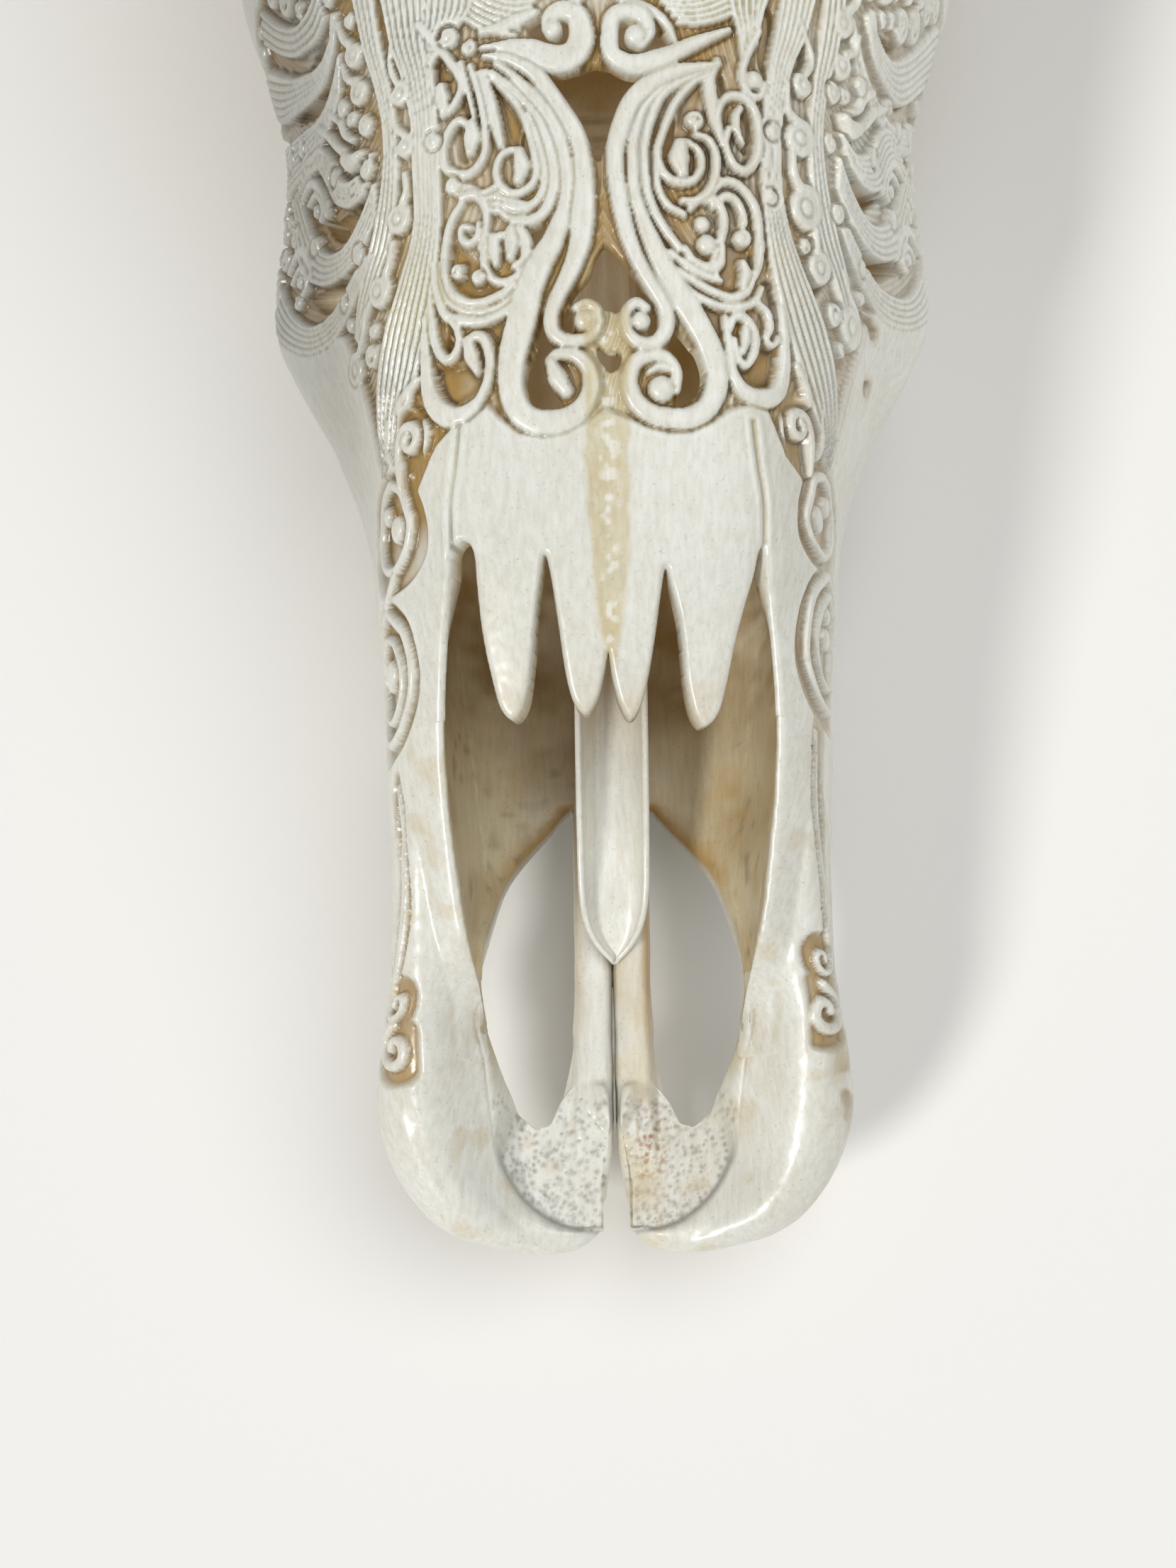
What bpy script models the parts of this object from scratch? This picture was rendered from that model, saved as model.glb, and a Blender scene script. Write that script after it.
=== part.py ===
"""Skull of a water buffalo, without its lower jaw, at life size, in metres with +Z up.

Its long face is pierced with carved scrollwork. It lies as it rests: on the biting ends of
its cheek teeth and on the two jugular processes behind them. The muzzle points along -Y.
All sizes below are in millimetres: x is measured to the side from the middle, s backwards
from the front tip of the muzzle, and z up from the plane that the skull rests on.
"""

import math

import bmesh
import bpy
import numpy as np
from mathutils import Vector

MM = 0.001
SUTURE_GAP = 0.3
SLAB = 400.0
ABOVE = 220.0
BEHIND = 700.0
BELOW = -20.0

# Half outlines of the face across the skull, clockwise from the top of the nose to the
# middle of the palate. Each row: s, then (x, z) of nine places on the bone.
FACE_ROWS = (
    (50, ((0, 69), (16, 68.5), (33, 64), (46, 57), (52, 46), (49, 32), (39, 25), (20, 27), (0, 29))),
    (60, ((0, 76), (18, 75.5), (36, 70), (47, 61), (51, 48), (47, 34), (38, 26), (20, 28), (0, 30))),
    (80, ((0, 88), (20, 87), (38, 80), (48, 68), (50, 52), (46, 36), (38, 27), (20, 29), (0, 31))),
    (100, ((0, 99), (22, 98), (40, 89), (49, 74), (50.5, 55), (46, 37), (38, 26), (20, 30), (0, 32))),
    (120, ((0, 108), (24, 106), (41, 97), (49.5, 81), (51, 60), (47, 38), (39, 22), (22, 30), (0, 33))),
    (140, ((0, 115), (26, 112.5), (42, 103), (50.5, 86), (53, 64), (49, 40), (42, 20), (26, 29), (0, 33))),
    (160, ((0, 120), (28, 117), (44, 107), (51.5, 90), (55, 68), (53, 44), (46, 19), (28, 29), (0, 33))),
    (182, ((0, 126), (30, 122.5), (46.5, 111.5), (56.5, 94), (63, 72), (58, 46), (50, 19), (30, 30), (0, 34))),
    (200, ((0, 131), (31, 127.3), (49, 115), (61, 96), (72.5, 72), (63.5, 47), (52, 19), (31, 31), (0, 35))),
    (215, ((0, 135), (32, 131), (51, 118), (64, 98), (77, 72), (66, 48), (54, 19), (32, 32), (0, 36))),
    (250, ((0, 144), (36, 140), (56, 127), (68, 104), (74, 76), (64, 50), (56, 20), (34, 34), (0, 38))),
    (270, ((0, 149), (39, 145), (61, 132.5), (74, 109), (78, 82), (65, 55), (53, 30), (34, 41), (0, 43))),
    (290, ((0, 154), (42, 150), (66, 138), (80, 114), (83, 88), (67, 74), (48, 62), (30, 58), (0, 57))),
)

# Half outlines of the nasal cavity inside it, from its roof to its floor.
CAVITY_ROWS = (
    (45, ((0, 66), (14, 66), (24, 60), (27, 52), (26, 42), (15, 35.5), (0, 34.5))),
    (60, ((0, 71.5), (16, 71), (28, 66), (31.5, 57), (29, 43), (16, 36.5), (0, 35))),
    (80, ((0, 83), (18, 82.5), (31, 77), (34.5, 65), (30, 46), (18, 38), (0, 36.5))),
    (100, ((0, 94.5), (20, 94), (34, 86), (37, 70), (32, 49), (20, 40), (0, 38.5))),
    (120, ((0, 103.5), (22, 102), (36, 93), (39, 77), (34, 52), (22, 42), (0, 40))),
    (140, ((0, 110.5), (24, 108.5), (37, 99), (41, 82), (37, 55), (24, 43), (0, 41))),
    (160, ((0, 115.5), (26, 113), (39, 103), (44, 86), (42, 60), (26, 45), (0, 42.5))),
    (185, ((0, 122.5), (28, 119.5), (42, 108), (50, 90), (50, 64), (30, 47), (0, 44))),
    (215, ((0, 130.5), (30, 127), (46, 114), (56, 94), (58, 68), (34, 50), (0, 46))),
    (250, ((0, 139.5), (33, 136), (50, 123), (60, 100), (60, 72), (36, 54), (0, 50))),
    (270, ((0, 143), (34, 139), (50, 127), (58, 105), (57, 82), (37, 62), (0, 58))),
)

# Half outlines of the forehead and the solid braincase behind the face.
CRANIUM_ROWS = (
    (284, ((0, 152.5), (42, 149), (66, 137), (78, 116), (70, 94), (48, 72), (30, 62), (0, 60))),
    (310, ((0, 160), (48, 157), (74, 148), (84, 130), (60, 104), (40, 76), (26, 63), (0, 60))),
    (340, ((0, 168), (54, 166), (80, 158), (80, 142), (44, 112), (34, 80), (22, 58), (0, 56))),
    (375, ((0, 175), (58, 173), (84, 164), (82, 148), (46, 116), (38, 84), (24, 56), (0, 52))),
    (410, ((0, 179), (58, 177), (78, 168), (78, 152), (56, 118), (46, 84), (28, 54), (0, 50))),
    (445, ((0, 180), (58, 178), (80, 168), (80, 150), (60, 120), (52, 86), (34, 54), (0, 48))),
    (480, ((0, 174), (54, 172), (72, 162), (72, 146), (64, 118), (56, 86), (38, 56), (0, 48))),
    (500, ((0, 164), (48, 161), (64, 152), (66, 136), (66, 112), (58, 84), (40, 58), (0, 50))),
    (512, ((0, 150), (36, 146), (50, 136), (56, 120), (56, 104), (46, 80), (30, 62), (0, 56))),
)


def spline(points, count):
    """Points evenly spaced in parameter on a smooth curve through the given ones."""
    points = np.asarray(points, float)
    padded = np.vstack([2 * points[0] - points[1], points, 2 * points[-1] - points[-2]])
    spans = len(points) - 1
    place = np.linspace(0, spans, count)
    index = np.minimum(place.astype(int), spans - 1)
    t = (place - index)[:, None]
    before, start, end, after = (padded[index + k] for k in range(4))
    return 0.5 * (
        2 * start
        + (end - before) * t
        + (2 * before - 5 * start + 4 * end - after) * t**2
        + (3 * start - before - 3 * end + after) * t**3
    )


def mesh_object(name, points, faces):
    """A closed mesh object from points in millimetres, with its faces turned outwards."""
    mesh = bpy.data.meshes.new(name)
    mesh.from_pydata([tuple(p) for p in np.asarray(points) * MM], [], faces)
    shape = bmesh.new()
    shape.from_mesh(mesh)
    bmesh.ops.recalc_face_normals(shape, faces=shape.faces)
    shape.to_mesh(mesh)
    shape.free()
    built = bpy.data.objects.new(name, mesh)
    bpy.context.scene.collection.objects.link(built)
    return built


def skin_rings(name, rings):
    """A closed solid skinned over rings of equally many points, with a flat cap at both ends."""
    rings = np.asarray(rings, float)
    count, around = rings.shape[:2]
    faces = [tuple(reversed(range(around))), tuple(range((count - 1) * around, count * around))]
    for i in range(count - 1):
        for j in range(around):
            k = (j + 1) % around
            faces.append((i * around + j, i * around + k, (i + 1) * around + k, (i + 1) * around + j))
    return mesh_object(name, rings.reshape(-1, 3), faces)


def loft(name, rows, along, across):
    """A solid through half outlines, each mirrored to the other side of the skull."""
    stations = np.array([[row[0]] for row in rows], float)
    outlines = np.array([row[1] for row in rows], float).reshape(len(rows), -1)
    smooth = spline(np.hstack([stations, outlines]), along)
    rings = []
    for row in smooth:
        half = spline(row[1:].reshape(-1, 2), across)
        loop = np.vstack([half, (half * (-1, 1))[-2:0:-1]])
        rings.append([(x, row[0], z) for x, z in loop])
    return skin_rings(name, rings)


def tube(name, path, sizes, along=10, around=10, side=1, squareness=1.0):
    """A tapering bar along a path of (x, s, z) places, with a half width and a half height at each."""
    path = spline(np.array(path, float) * (side, 1, 1), along)
    sizes = spline(sizes, along)
    heading = np.gradient(path, axis=0)
    heading /= np.linalg.norm(heading, axis=1)[:, None]
    rings = []
    for centre, (width, height), forward in zip(path, sizes, heading):
        up = Vector((0, 0, 1))
        if abs(forward[2]) > 0.85:
            up = Vector((0, 1, 0))
        across = Vector(forward).cross(up).normalized()
        upright = across.cross(Vector(forward)).normalized()
        ring = []
        for k in range(around):
            angle = 2 * math.pi * k / around
            c = math.copysign(abs(math.cos(angle)) ** squareness, math.cos(angle))
            h = math.copysign(abs(math.sin(angle)) ** squareness, math.sin(angle))
            ring.append(centre + np.array(across) * (width * c) + np.array(upright) * (height * h))
        rings.append(ring)
    return skin_rings(name, rings)


def blob(name, centre, radii, side=1, segments=16, rings=10):
    """An ellipsoid of the given radii."""
    rows = []
    for i in range(rings + 1):
        polar = math.pi * (0.04 + 0.92 * i / rings)
        rows.append([
            (
                side * centre[0] + radii[0] * math.sin(polar) * math.cos(2 * math.pi * j / segments),
                centre[1] + radii[1] * math.sin(polar) * math.sin(2 * math.pi * j / segments),
                centre[2] + radii[2] * math.cos(polar),
            )
            for j in range(segments)
        ])
    return skin_rings(name, rows)


def prism(name, outline, low, high, axes="xsz"):
    """An outline of points extruded along the axis that the outline leaves out."""
    rings = []
    for level in (low, high):
        rings.append([(a, b, level) if axes == "xsz" else (level, a, b) for a, b in outline])
    return skin_rings(name, rings)


def join(name, pieces):
    """One solid from overlapping pieces, by a Boolean union over a collection of them."""
    group = bpy.data.collections.new(name + " pieces")
    bpy.context.scene.collection.children.link(group)
    base, others = pieces[0], pieces[1:]
    for piece in others:
        group.objects.link(piece)
    union = base.modifiers.new("join", "BOOLEAN")
    union.operation = "UNION"
    union.solver = "MANIFOLD"
    union.operand_type = "COLLECTION"
    union.collection = group
    apply_modifiers(base)
    for piece in others:
        bpy.data.objects.remove(piece)
    bpy.data.collections.remove(group)
    base.name = name
    return base


def cut(body, cutters, operation="DIFFERENCE"):
    """Cuts each closed cutter from the body, or keeps only what lies inside it."""
    for cutter in cutters:
        modifier = body.modifiers.new("cut", "BOOLEAN")
        modifier.operation = operation
        modifier.solver = "MANIFOLD"
        modifier.object = cutter
    apply_modifiers(body)
    for cutter in cutters:
        bpy.data.objects.remove(cutter)
    return body


def apply_modifiers(body):
    """Replaces an object's mesh by the one that its modifiers give."""
    bpy.context.view_layer.update()
    graph = bpy.context.evaluated_depsgraph_get()
    shaped = bpy.data.meshes.new_from_object(body.evaluated_get(graph))
    body.modifiers.clear()
    body.data = shaped


def keep_largest(body):
    """Drops every closed surface of a solid but the largest."""
    shape = bmesh.new()
    shape.from_mesh(body.data)
    bmesh.ops.triangulate(shape, faces=shape.faces)
    shape.faces.ensure_lookup_table()
    left = set(shape.faces)
    islands = []
    while left:
        seed = left.pop()
        island, front = [seed], [seed]
        while front:
            for edge in front.pop().edges:
                for face in edge.link_faces:
                    if face in left:
                        left.remove(face)
                        island.append(face)
                        front.append(face)
        islands.append(island)
    islands.sort(key=lambda island: sum(face.calc_area() for face in island))
    dropped = [face for island in islands[:-1] for face in island]
    bmesh.ops.delete(shape, geom=dropped, context="FACES")
    shape.to_mesh(body.data)
    shape.free()
    return body


def both_sides(make):
    """Calls make(side, word) for the right and the left of the skull and gathers what it makes."""
    made = []
    for side, word in ((1, "right"), (-1, "left")):
        made.extend(make(side, word))
    return made


# Teeth: (length along the row, width across it) of the premolars and molars, from the front.
TOOTH_SIZES = ((17, 17), (19, 19), (20, 21), (24, 24), (28, 25), (30, 23))
TOOTH_ROW_FRONT = 128.0
TOOTH_ROW_X = (45.0, 53.0)
TOOTH_SPACING = 0.6
TOOTH_SIDES = 10
TOOTH_ROOT_TOP = 44.0


def teeth(side, word):
    """Six cheek teeth with flat worn ends in the resting plane and their roots in the jaw."""
    made = []
    start = TOOTH_ROW_FRONT
    row_length = sum(size[0] for size in TOOTH_SIZES)
    for index, (length, width) in enumerate(TOOTH_SIZES):
        middle = start + length / 2
        share = (middle - TOOTH_ROW_FRONT) / row_length
        x = TOOTH_ROW_X[0] + (TOOTH_ROW_X[1] - TOOTH_ROW_X[0]) * math.sin(share * math.pi / 2)
        outline = []
        for k in range(TOOTH_SIDES):
            angle = 2 * math.pi * k / TOOTH_SIDES
            fold = 1 + 0.07 * math.cos(4 * angle)
            outline.append((
                side * (x + width / 2 * fold * math.cos(angle)),
                middle + (length - TOOTH_SPACING) / 2 * fold * 0.97 * math.sin(angle),
            ))
        made.append(prism(f"tooth {word} {index}", outline, 0.0, TOOTH_ROOT_TOP))
        start += length
    return made


def muzzle(side, word):
    """The premaxilla of one side: its rolled body, its porous plate and its two processes."""
    body = tube(
        "body " + word,
        ((41.5, 150, 97), (42.5, 125, 90), (43, 104, 81), (42.5, 80, 71), (41.5, 62, 61), (41, 46, 51),
         (38.5, 30, 43), (32, 17, 37.5), (21.5, 9.5, 33), (11, 6.5, 30), (4.6, 6.5, 29)),
        ((2, 3), (4.5, 6), (6.3, 8), (7.5, 9), (9.5, 10.5), (13, 13), (16, 13), (14.5, 12), (10, 9),
         (6.5, 6.5), (2.5, 4)),
        along=24, around=14, side=side,
    )
    plate_outline = (
        (3.0, 6), (3.2, 15), (2.2, 25), (0.8, 34), (0.6, 105), (8.6, 105), (8.6, 52), (9.2, 42),
        (12, 34), (16, 29.5), (21, 28), (26, 33), (32, 36), (38, 30), (34, 16), (22, 9), (10, 6),
    )
    plate = prism("plate " + word, [(side * x, s) for x, s in plate_outline], 27.0, 33.0)
    process = tube(
        "process " + word,
        ((5.2, 28, 33), (4.8, 50, 35), (4.8, 80, 36.5), (4.8, 112, 37.5)),
        ((4.0, 3.5), (4.0, 4.2), (4.0, 4.2), (4.0, 3.5)),
        along=8, around=8, side=side,
    )
    return [body, plate, process]


def orbit_region(side, word):
    """The swelling that holds one eye socket, its arch, and the bar behind the eye."""
    socket = blob("socket " + word, (82, 338, 122), (26, 39, 36), side, 18, 11)
    arch = tube(
        "arch " + word,
        ((58, 200, 68), (66, 245, 76), (75, 288, 84), (88, 330, 86), (97, 372, 86), (98, 405, 87),
         (92, 435, 92), (48, 472, 104)),
        ((5, 8), (7.5, 12), (8, 14), (8, 13), (6, 10), (5.5, 9.5), (6, 9), (8, 9)),
        along=18, around=10, side=side,
    )
    bar = tube(
        "bar " + word,
        ((84, 366, 158), (95, 380, 134), (98, 386, 90)),
        ((7, 9), (5.5, 8), (6, 9)),
        along=8, around=8, side=side,
    )
    core = tube(
        "horn core " + word,
        ((50, 448, 154), (76, 458, 155), (96, 465, 156)),
        ((38, 24), (38, 26), (35, 25)),
        along=6, around=16, side=side,
    )
    return [socket, arch, bar, core]


def skull_base(side, word):
    """The parts of one side under the braincase that face the ground."""
    condyle = blob("condyle " + word, (21, 512, 68), (14, 15, 20), side, 12, 7)
    jugular = tube(
        "jugular process " + word,
        ((50, 492, 80), (50, 488, 44), (45, 480, -6)),
        ((14, 10), (11, 8), (7, 6)),
        along=8, around=10, side=side,
    )
    bulla = blob("bulla " + word, (36, 460, 48), (13, 17, 15), side, 10, 7)
    wing = tube(
        "pterygoid wing " + word,
        ((24, 268, 50), (21, 305, 50), (20, 345, 50), (24, 385, 58)),
        ((4, 18), (3, 20), (3, 18), (4, 10)),
        along=8, around=8, side=side,
    )
    return [condyle, jugular, bulla, wing]


def whole_skull():
    """The bones of the skull as one solid, before they are parted at their seams."""
    pieces = [
        loft("face", FACE_ROWS, 26, 17),
        loft("cranium", CRANIUM_ROWS, 16, 13),
        tube("base", ((0, 370, 56), (0, 440, 54), (0, 512, 58)), ((16, 9), (17, 10), (19, 12)), 8, 12),
        blob("nape", (0, 497, 112), (64, 20, 52), 1, 18, 10),
        tube("crest", ((-62, 492, 136), (-34, 504, 158), (0, 507, 163), (34, 504, 158), (62, 492, 136)),
             ((4, 4), (8, 8), (9, 9), (8, 8), (4, 4)), 12, 8),
    ]
    hollow = [loft("cavity", CAVITY_ROWS, 22, 12)]
    hollow.append(tube(
        "brain opening", ((0, 545, 82), (0, 520, 84), (0, 490, 88)), ((15, 14), (14.5, 13.5), (9, 8)), 8, 14,
    ))
    for side, word in ((1, "right"), (-1, "left")):
        pieces += orbit_region(side, word) + skull_base(side, word) + teeth(side, word)
        hollow.append(blob("eye socket " + word, (112, 334, 122), (46, 30, 29), side, 16, 10))
    skull = join("skull", pieces)
    cut(skull, hollow + openings() + pierced_holes())
    floor = slab((-SLAB, -SLAB, -SLAB), (SLAB, BEHIND, 0))
    cut(skull, [floor])
    return join("skull", [skull, *both_sides(muzzle), *both_sides(scroll_bands)])


# The front edge of the nose seen from above, on the right side: along the bar of the jaw,
# back to the notch beside the nasal bone, and out round its two prongs to the middle.
APERTURE_EDGE = (
    (24, 30), (26.5, 45), (31.5, 60), (34.5, 76), (37, 100), (37.5, 122), (35, 141), (33.5, 136),
    (31, 126), (26, 112), (22.5, 104), (19.5, 102.5), (17, 106), (15.5, 118), (13.2, 139),
    (10.5, 124), (7.5, 108), (5.2, 103.5), (3.2, 107), (1, 121),
)
FISSURE = (
    (8.7, 101), (15, 96), (21, 89), (26, 78), (28, 66), (28.5, 55), (26.5, 42), (22, 29.5),
    (17, 30.5), (12.5, 35), (9.4, 43), (8.8, 60),
)
APERTURE_FLOOR = 48.0
FISSURE_TOP = 60.0


def openings():
    """Cutters for the nose opening above and the two slots through the palate in front."""
    right = list(APERTURE_EDGE)
    left = [(-x, s) for x, s in reversed(right)]
    made = [prism("aperture", [*right, *left], APERTURE_FLOOR, ABOVE)]
    for side in (1, -1):
        made.append(prism("fissure", [(side * x, s) for x, s in FISSURE], BELOW, FISSURE_TOP))
    return made


# The scroll carving on the roof of the nose, as (x, s) places of its right side: holes pierced
# through the bone, and the raised bands that run round them and curl up at their ends.
HOLE_FLOOR = 90.0
HEART = ((0, 239), (8.5, 240.5), (6, 232), (2, 226), (0, 222), (-2, 226), (-6, 232), (-8.5, 240.5))
ARCH = ((0, 203.7), (5, 199), (8.5, 193.5), (3, 190.5), (-3, 190.5), (-8.5, 193.5), (-5, 199))
TEARDROP = ((14.8, 188.5), (17.5, 183), (20, 176), (19, 172), (15.3, 170.3), (16.3, 176), (15.5, 181.5), (13.6, 183))
BAND_SLIT = ((14, 223), (13.8, 228), (15.5, 235), (19, 240), (20.5, 239), (18.8, 232), (17, 226))
LOOP_BAND = (
    (13, 241), (5.5, 231), (2.8, 219), (5, 207), (11, 198), (18.5, 190), (23.3, 181), (23.5, 172.5),
    (18.5, 167.7), (11.5, 168.3), (6.8, 173), (7.8, 179.5), (12.7, 180.3), (13.8, 175.8),
)
INNER_BAND = ((6.5, 212), (8, 204), (12, 196), (13.6, 189.5), (11, 185.3), (6.5, 186), (5.2, 190), (8.2, 191.8))
TOP_BAND = ((27, 249.5), (15, 244.5), (6.5, 241.5), (1.8, 245.5), (2.8, 251.5), (7.5, 253.3), (10, 249.3), (7.5, 247))
BAND_HALF_WIDTH = 2.3
BAND_RISE = 0.4
BAND_HALF_HEIGHT = 1.9

# Slits in the carved cheeks: the middle of each on the bone, and the way it leads out.
CHEEK_SLITS = ((60.5, 223.5, 108), (63.8, 211.5, 97.5))
SLIT_OUTWARD = (0.85, -0.2, 0.49)
SLIT_SIZE = (2.6, 8.5)
SLIT_DEPTH = 16.0


def pierced_holes():
    """Cutters for the holes that the carving leaves through the bone."""
    made = [prism("heart", HEART, HOLE_FLOOR, ABOVE), prism("arch", ARCH, HOLE_FLOOR, ABOVE)]
    for side in (1, -1):
        for name, outline in (("teardrop", TEARDROP), ("slit", BAND_SLIT)):
            made.append(prism(name, [(side * x, s) for x, s in outline], HOLE_FLOOR, ABOVE))
        for middle in CHEEK_SLITS:
            path = [[a + reach * b for a, b in zip(middle, SLIT_OUTWARD)] for reach in (-SLIT_DEPTH, 0, SLIT_DEPTH)]
            made.append(tube("cheek slit", path, (SLIT_SIZE,) * 3, 3, 8, side))
    return made


def roof_height(x, s):
    """Height of the outer surface of the nose above a place, read between the rows of the face."""
    stations = [row[0] for row in FACE_ROWS]
    roof = np.array([row[1][:5] for row in FACE_ROWS])
    outline = [[np.interp(s, stations, roof[:, i, k]) for k in (0, 1)] for i in range(5)]
    return float(np.interp(abs(x), *np.transpose(outline)))


def scroll_bands(side, word):
    """The raised bands of one side, each a bar that follows the bone and curls into a volute."""
    made = []
    for name, path in (("loop band", LOOP_BAND), ("inner band", INNER_BAND), ("top band", TOP_BAND)):
        places = [(x, s, roof_height(x, s) + BAND_RISE) for x, s in path]
        sizes = [(BAND_HALF_WIDTH, BAND_HALF_HEIGHT)] * len(path)
        made.append(tube(f"{name} {word}", places, sizes, round(1.6 * len(path)), 6, side))
    return made


def half_space(name, place, normal):
    """A large block whose one face passes through a place, on the side that the normal points to."""
    block = prism(name, ((-SLAB, -SLAB), (SLAB, -SLAB), (SLAB, SLAB), (-SLAB, SLAB)), 0, 2 * SLAB)
    turn = Vector((0, 0, 1)).rotation_difference(Vector(normal)).to_matrix().to_4x4()
    turn.translation = Vector(place) * MM
    block.data.transform(turn)
    return block


def parted(skull, name, regions):
    """A copy of the skull cut down to one bone, kept as its largest closed surface."""
    bone = skull.copy()
    bone.data = skull.data.copy()
    bone.name = name
    bpy.context.scene.collection.objects.link(bone)
    cut(bone, regions, "INTERSECT")
    keep_largest(bone)
    return bone


# Seams seen from the side, as (s, z) places, and from above, as (x, s) places.
MUZZLE_SEAM = ((62, -20), (62, 44), (108, 88), (108, 220))
PROCESS_END = 103.5
PROCESS_HALF_WIDTH = 9.0
PROCESS_TOP = 42.0
NASAL_SEAM = ((39, 60), (39, 138), (34.6, 141), (34, 200), (30, 245), (22, 268), (10, 282), (0, 286))
NASAL_FLOOR = 86.0
FACE_REAR = 289.0
BROW_FLOOR = 131.0
CHEEK_X = 61.0
CHEEK_REAR = 432.0
CHEEK_ROOT_REAR = 476.0
CHEEK_ROOT_TOP = 116.0
OCCIPUT_FRONT = 474.0
BASE_TOP = 62.0


def muzzle_region(side, grow):
    """The space of one premaxilla, or the slightly larger space that its neighbours leave free."""
    near = (SUTURE_GAP / 2 - grow) * side
    edge = side * (PROCESS_HALF_WIDTH + grow)
    rear = PROCESS_END + grow
    seam = [(-40, -20), *((s + grow, z) for s, z in MUZZLE_SEAM), (-40, 220)]
    return join("muzzle space", [
        prism("front space", seam, near, SLAB * side, "szx"),
        prism("process space", ((near, -40), (edge, -40), (edge, rear), (near, rear)), -21, PROCESS_TOP + grow),
    ])


def nasal_region(side, grow):
    """The space of one nasal bone, or the slightly larger space that its neighbours leave free."""
    near = (SUTURE_GAP / 2 - grow) * side
    edge = [(side * (x + grow), s + grow) for x, s in NASAL_SEAM[:-1]]
    outline = [(near, 60 - grow), *edge, (near, NASAL_SEAM[-1][1] + grow)]
    return prism("nasal space", outline, NASAL_FLOOR - grow, ABOVE)


def slab(low, high):
    """A block between two corners."""
    (x0, s0, z0), (x1, s1, z1) = low, high
    return prism("block", ((x0, s0), (x1, s0), (x1, s1), (x0, s1)), z0, z1)


def face_bones(skull, side, word):
    """The three bones of one side of the face: muzzle, upper jaw with its teeth, and nose."""
    premaxilla = parted(skull, "premaxilla_" + word, [muzzle_region(side, 0)])
    nasal = parted(skull, "nasal_" + word, [nasal_region(side, 0)])
    maxilla = parted(skull, "maxilla_" + word, [
        slab((side * SUTURE_GAP / 2, 0, BELOW), (side * SLAB, FACE_REAR, ABOVE)),
    ])
    cut(maxilla, [muzzle_region(side, SUTURE_GAP), nasal_region(side, SUTURE_GAP)])
    keep_largest(maxilla)
    return [premaxilla, nasal, maxilla]


def cheek_region(side, grow):
    """The space of one cheek arch behind the face, or the larger space that its neighbours leave free."""
    front = FACE_REAR + SUTURE_GAP if not grow else 0
    top = SLAB if grow else BROW_FLOOR - SUTURE_GAP
    rear, low_rear, low_top = CHEEK_REAR + grow, CHEEK_ROOT_REAR + grow, CHEEK_ROOT_TOP + grow
    outline = ((front, -30), (low_rear, -30), (low_rear, low_top), (rear, low_top), (rear, top), (front, top))
    return prism("cheek space", outline, side * (CHEEK_X - grow), side * SLAB, "szx")


def rear_bones(skull):
    """The bones behind the face: forehead, cheek arches, braincase, skull base and back of the head."""
    rear = FACE_REAR + SUTURE_GAP
    frontal = parted(skull, "frontal", [slab((-SLAB, rear, BROW_FLOOR), (SLAB, BEHIND, ABOVE))])
    cheeks = both_sides(lambda side, word: [parted(skull, "zygomatic_" + word, [cheek_region(side, 0)])])
    braincase = parted(skull, "braincase", [slab((-SLAB, rear, BELOW), (SLAB, BEHIND, BROW_FLOOR - SUTURE_GAP))])
    cut(braincase, [cheek_region(side, SUTURE_GAP) for side in (1, -1)])
    occipital = parted(braincase, "occipital", [slab((-SLAB, OCCIPUT_FRONT, BELOW), (SLAB, BEHIND, ABOVE))])
    sphenoid = parted(braincase, "sphenoid", [
        slab((-SLAB, 0, BELOW), (SLAB, OCCIPUT_FRONT - SUTURE_GAP, BASE_TOP)),
    ])
    cut(braincase, [
        slab((-SLAB, OCCIPUT_FRONT - SUTURE_GAP, BELOW), (SLAB, BEHIND, ABOVE)),
        slab((-SLAB, 0, BELOW), (SLAB, BEHIND, BASE_TOP + SUTURE_GAP)),
    ])
    keep_largest(braincase)
    return [frontal, *cheeks, braincase, occipital, sphenoid]


# The trough of the vomer: s, half width, top and bottom.
VOMER_ROWS = (
    (64, 1.0, 43.0, 40.5), (72, 5.2, 49, 40.8), (86, 7.6, 56, 41.2), (103, 8.2, 62, 41.4),
    (125, 8.2, 68, 41.6), (150, 8.2, 73, 42.3), (200, 7.6, 86, 45.5), (250, 6, 99, 50.5),
)
VOMER_WALL = 1.8


def vomer():
    """The thin trough that stands on the middle of the palate."""
    rings = []
    for s, width, top, bottom in spline(VOMER_ROWS, 16):
        inner = max(width - VOMER_WALL, 0.3)
        floor = bottom + min(4.0, 0.5 * (top - bottom))
        outer = [(width, top), (width * 0.92, (top + bottom) / 2), (width * 0.45, bottom + 1), (1.0, bottom)]
        inside = [(inner, top), (inner * 0.85, top * 0.45 + floor * 0.55), (inner * 0.3, floor)]
        outline = [
            *((-x, z) for x, z in outer), *reversed(outer), *inside, *((-x, z) for x, z in reversed(inside)),
        ]
        rings.append([(x, s, z) for x, z in outline])
    return skin_rings("vomer", rings)


HORN_SEAM = (94, 464.5, 156)
HORN_NORMAL = (0.95, 0.3, 0.05)
HORN_PATH = (
    (84, 461, 156), (135, 470, 159), (195, 492, 158), (255, 535, 151), (300, 600, 139), (314, 668, 126),
    (297, 733, 112), (258, 786, 100),
)
HORN_SIZES = ((41, 29), (40, 28), (36, 25), (31, 21), (25, 17), (18, 13), (11, 8.5), (2.5, 2.5))


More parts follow.
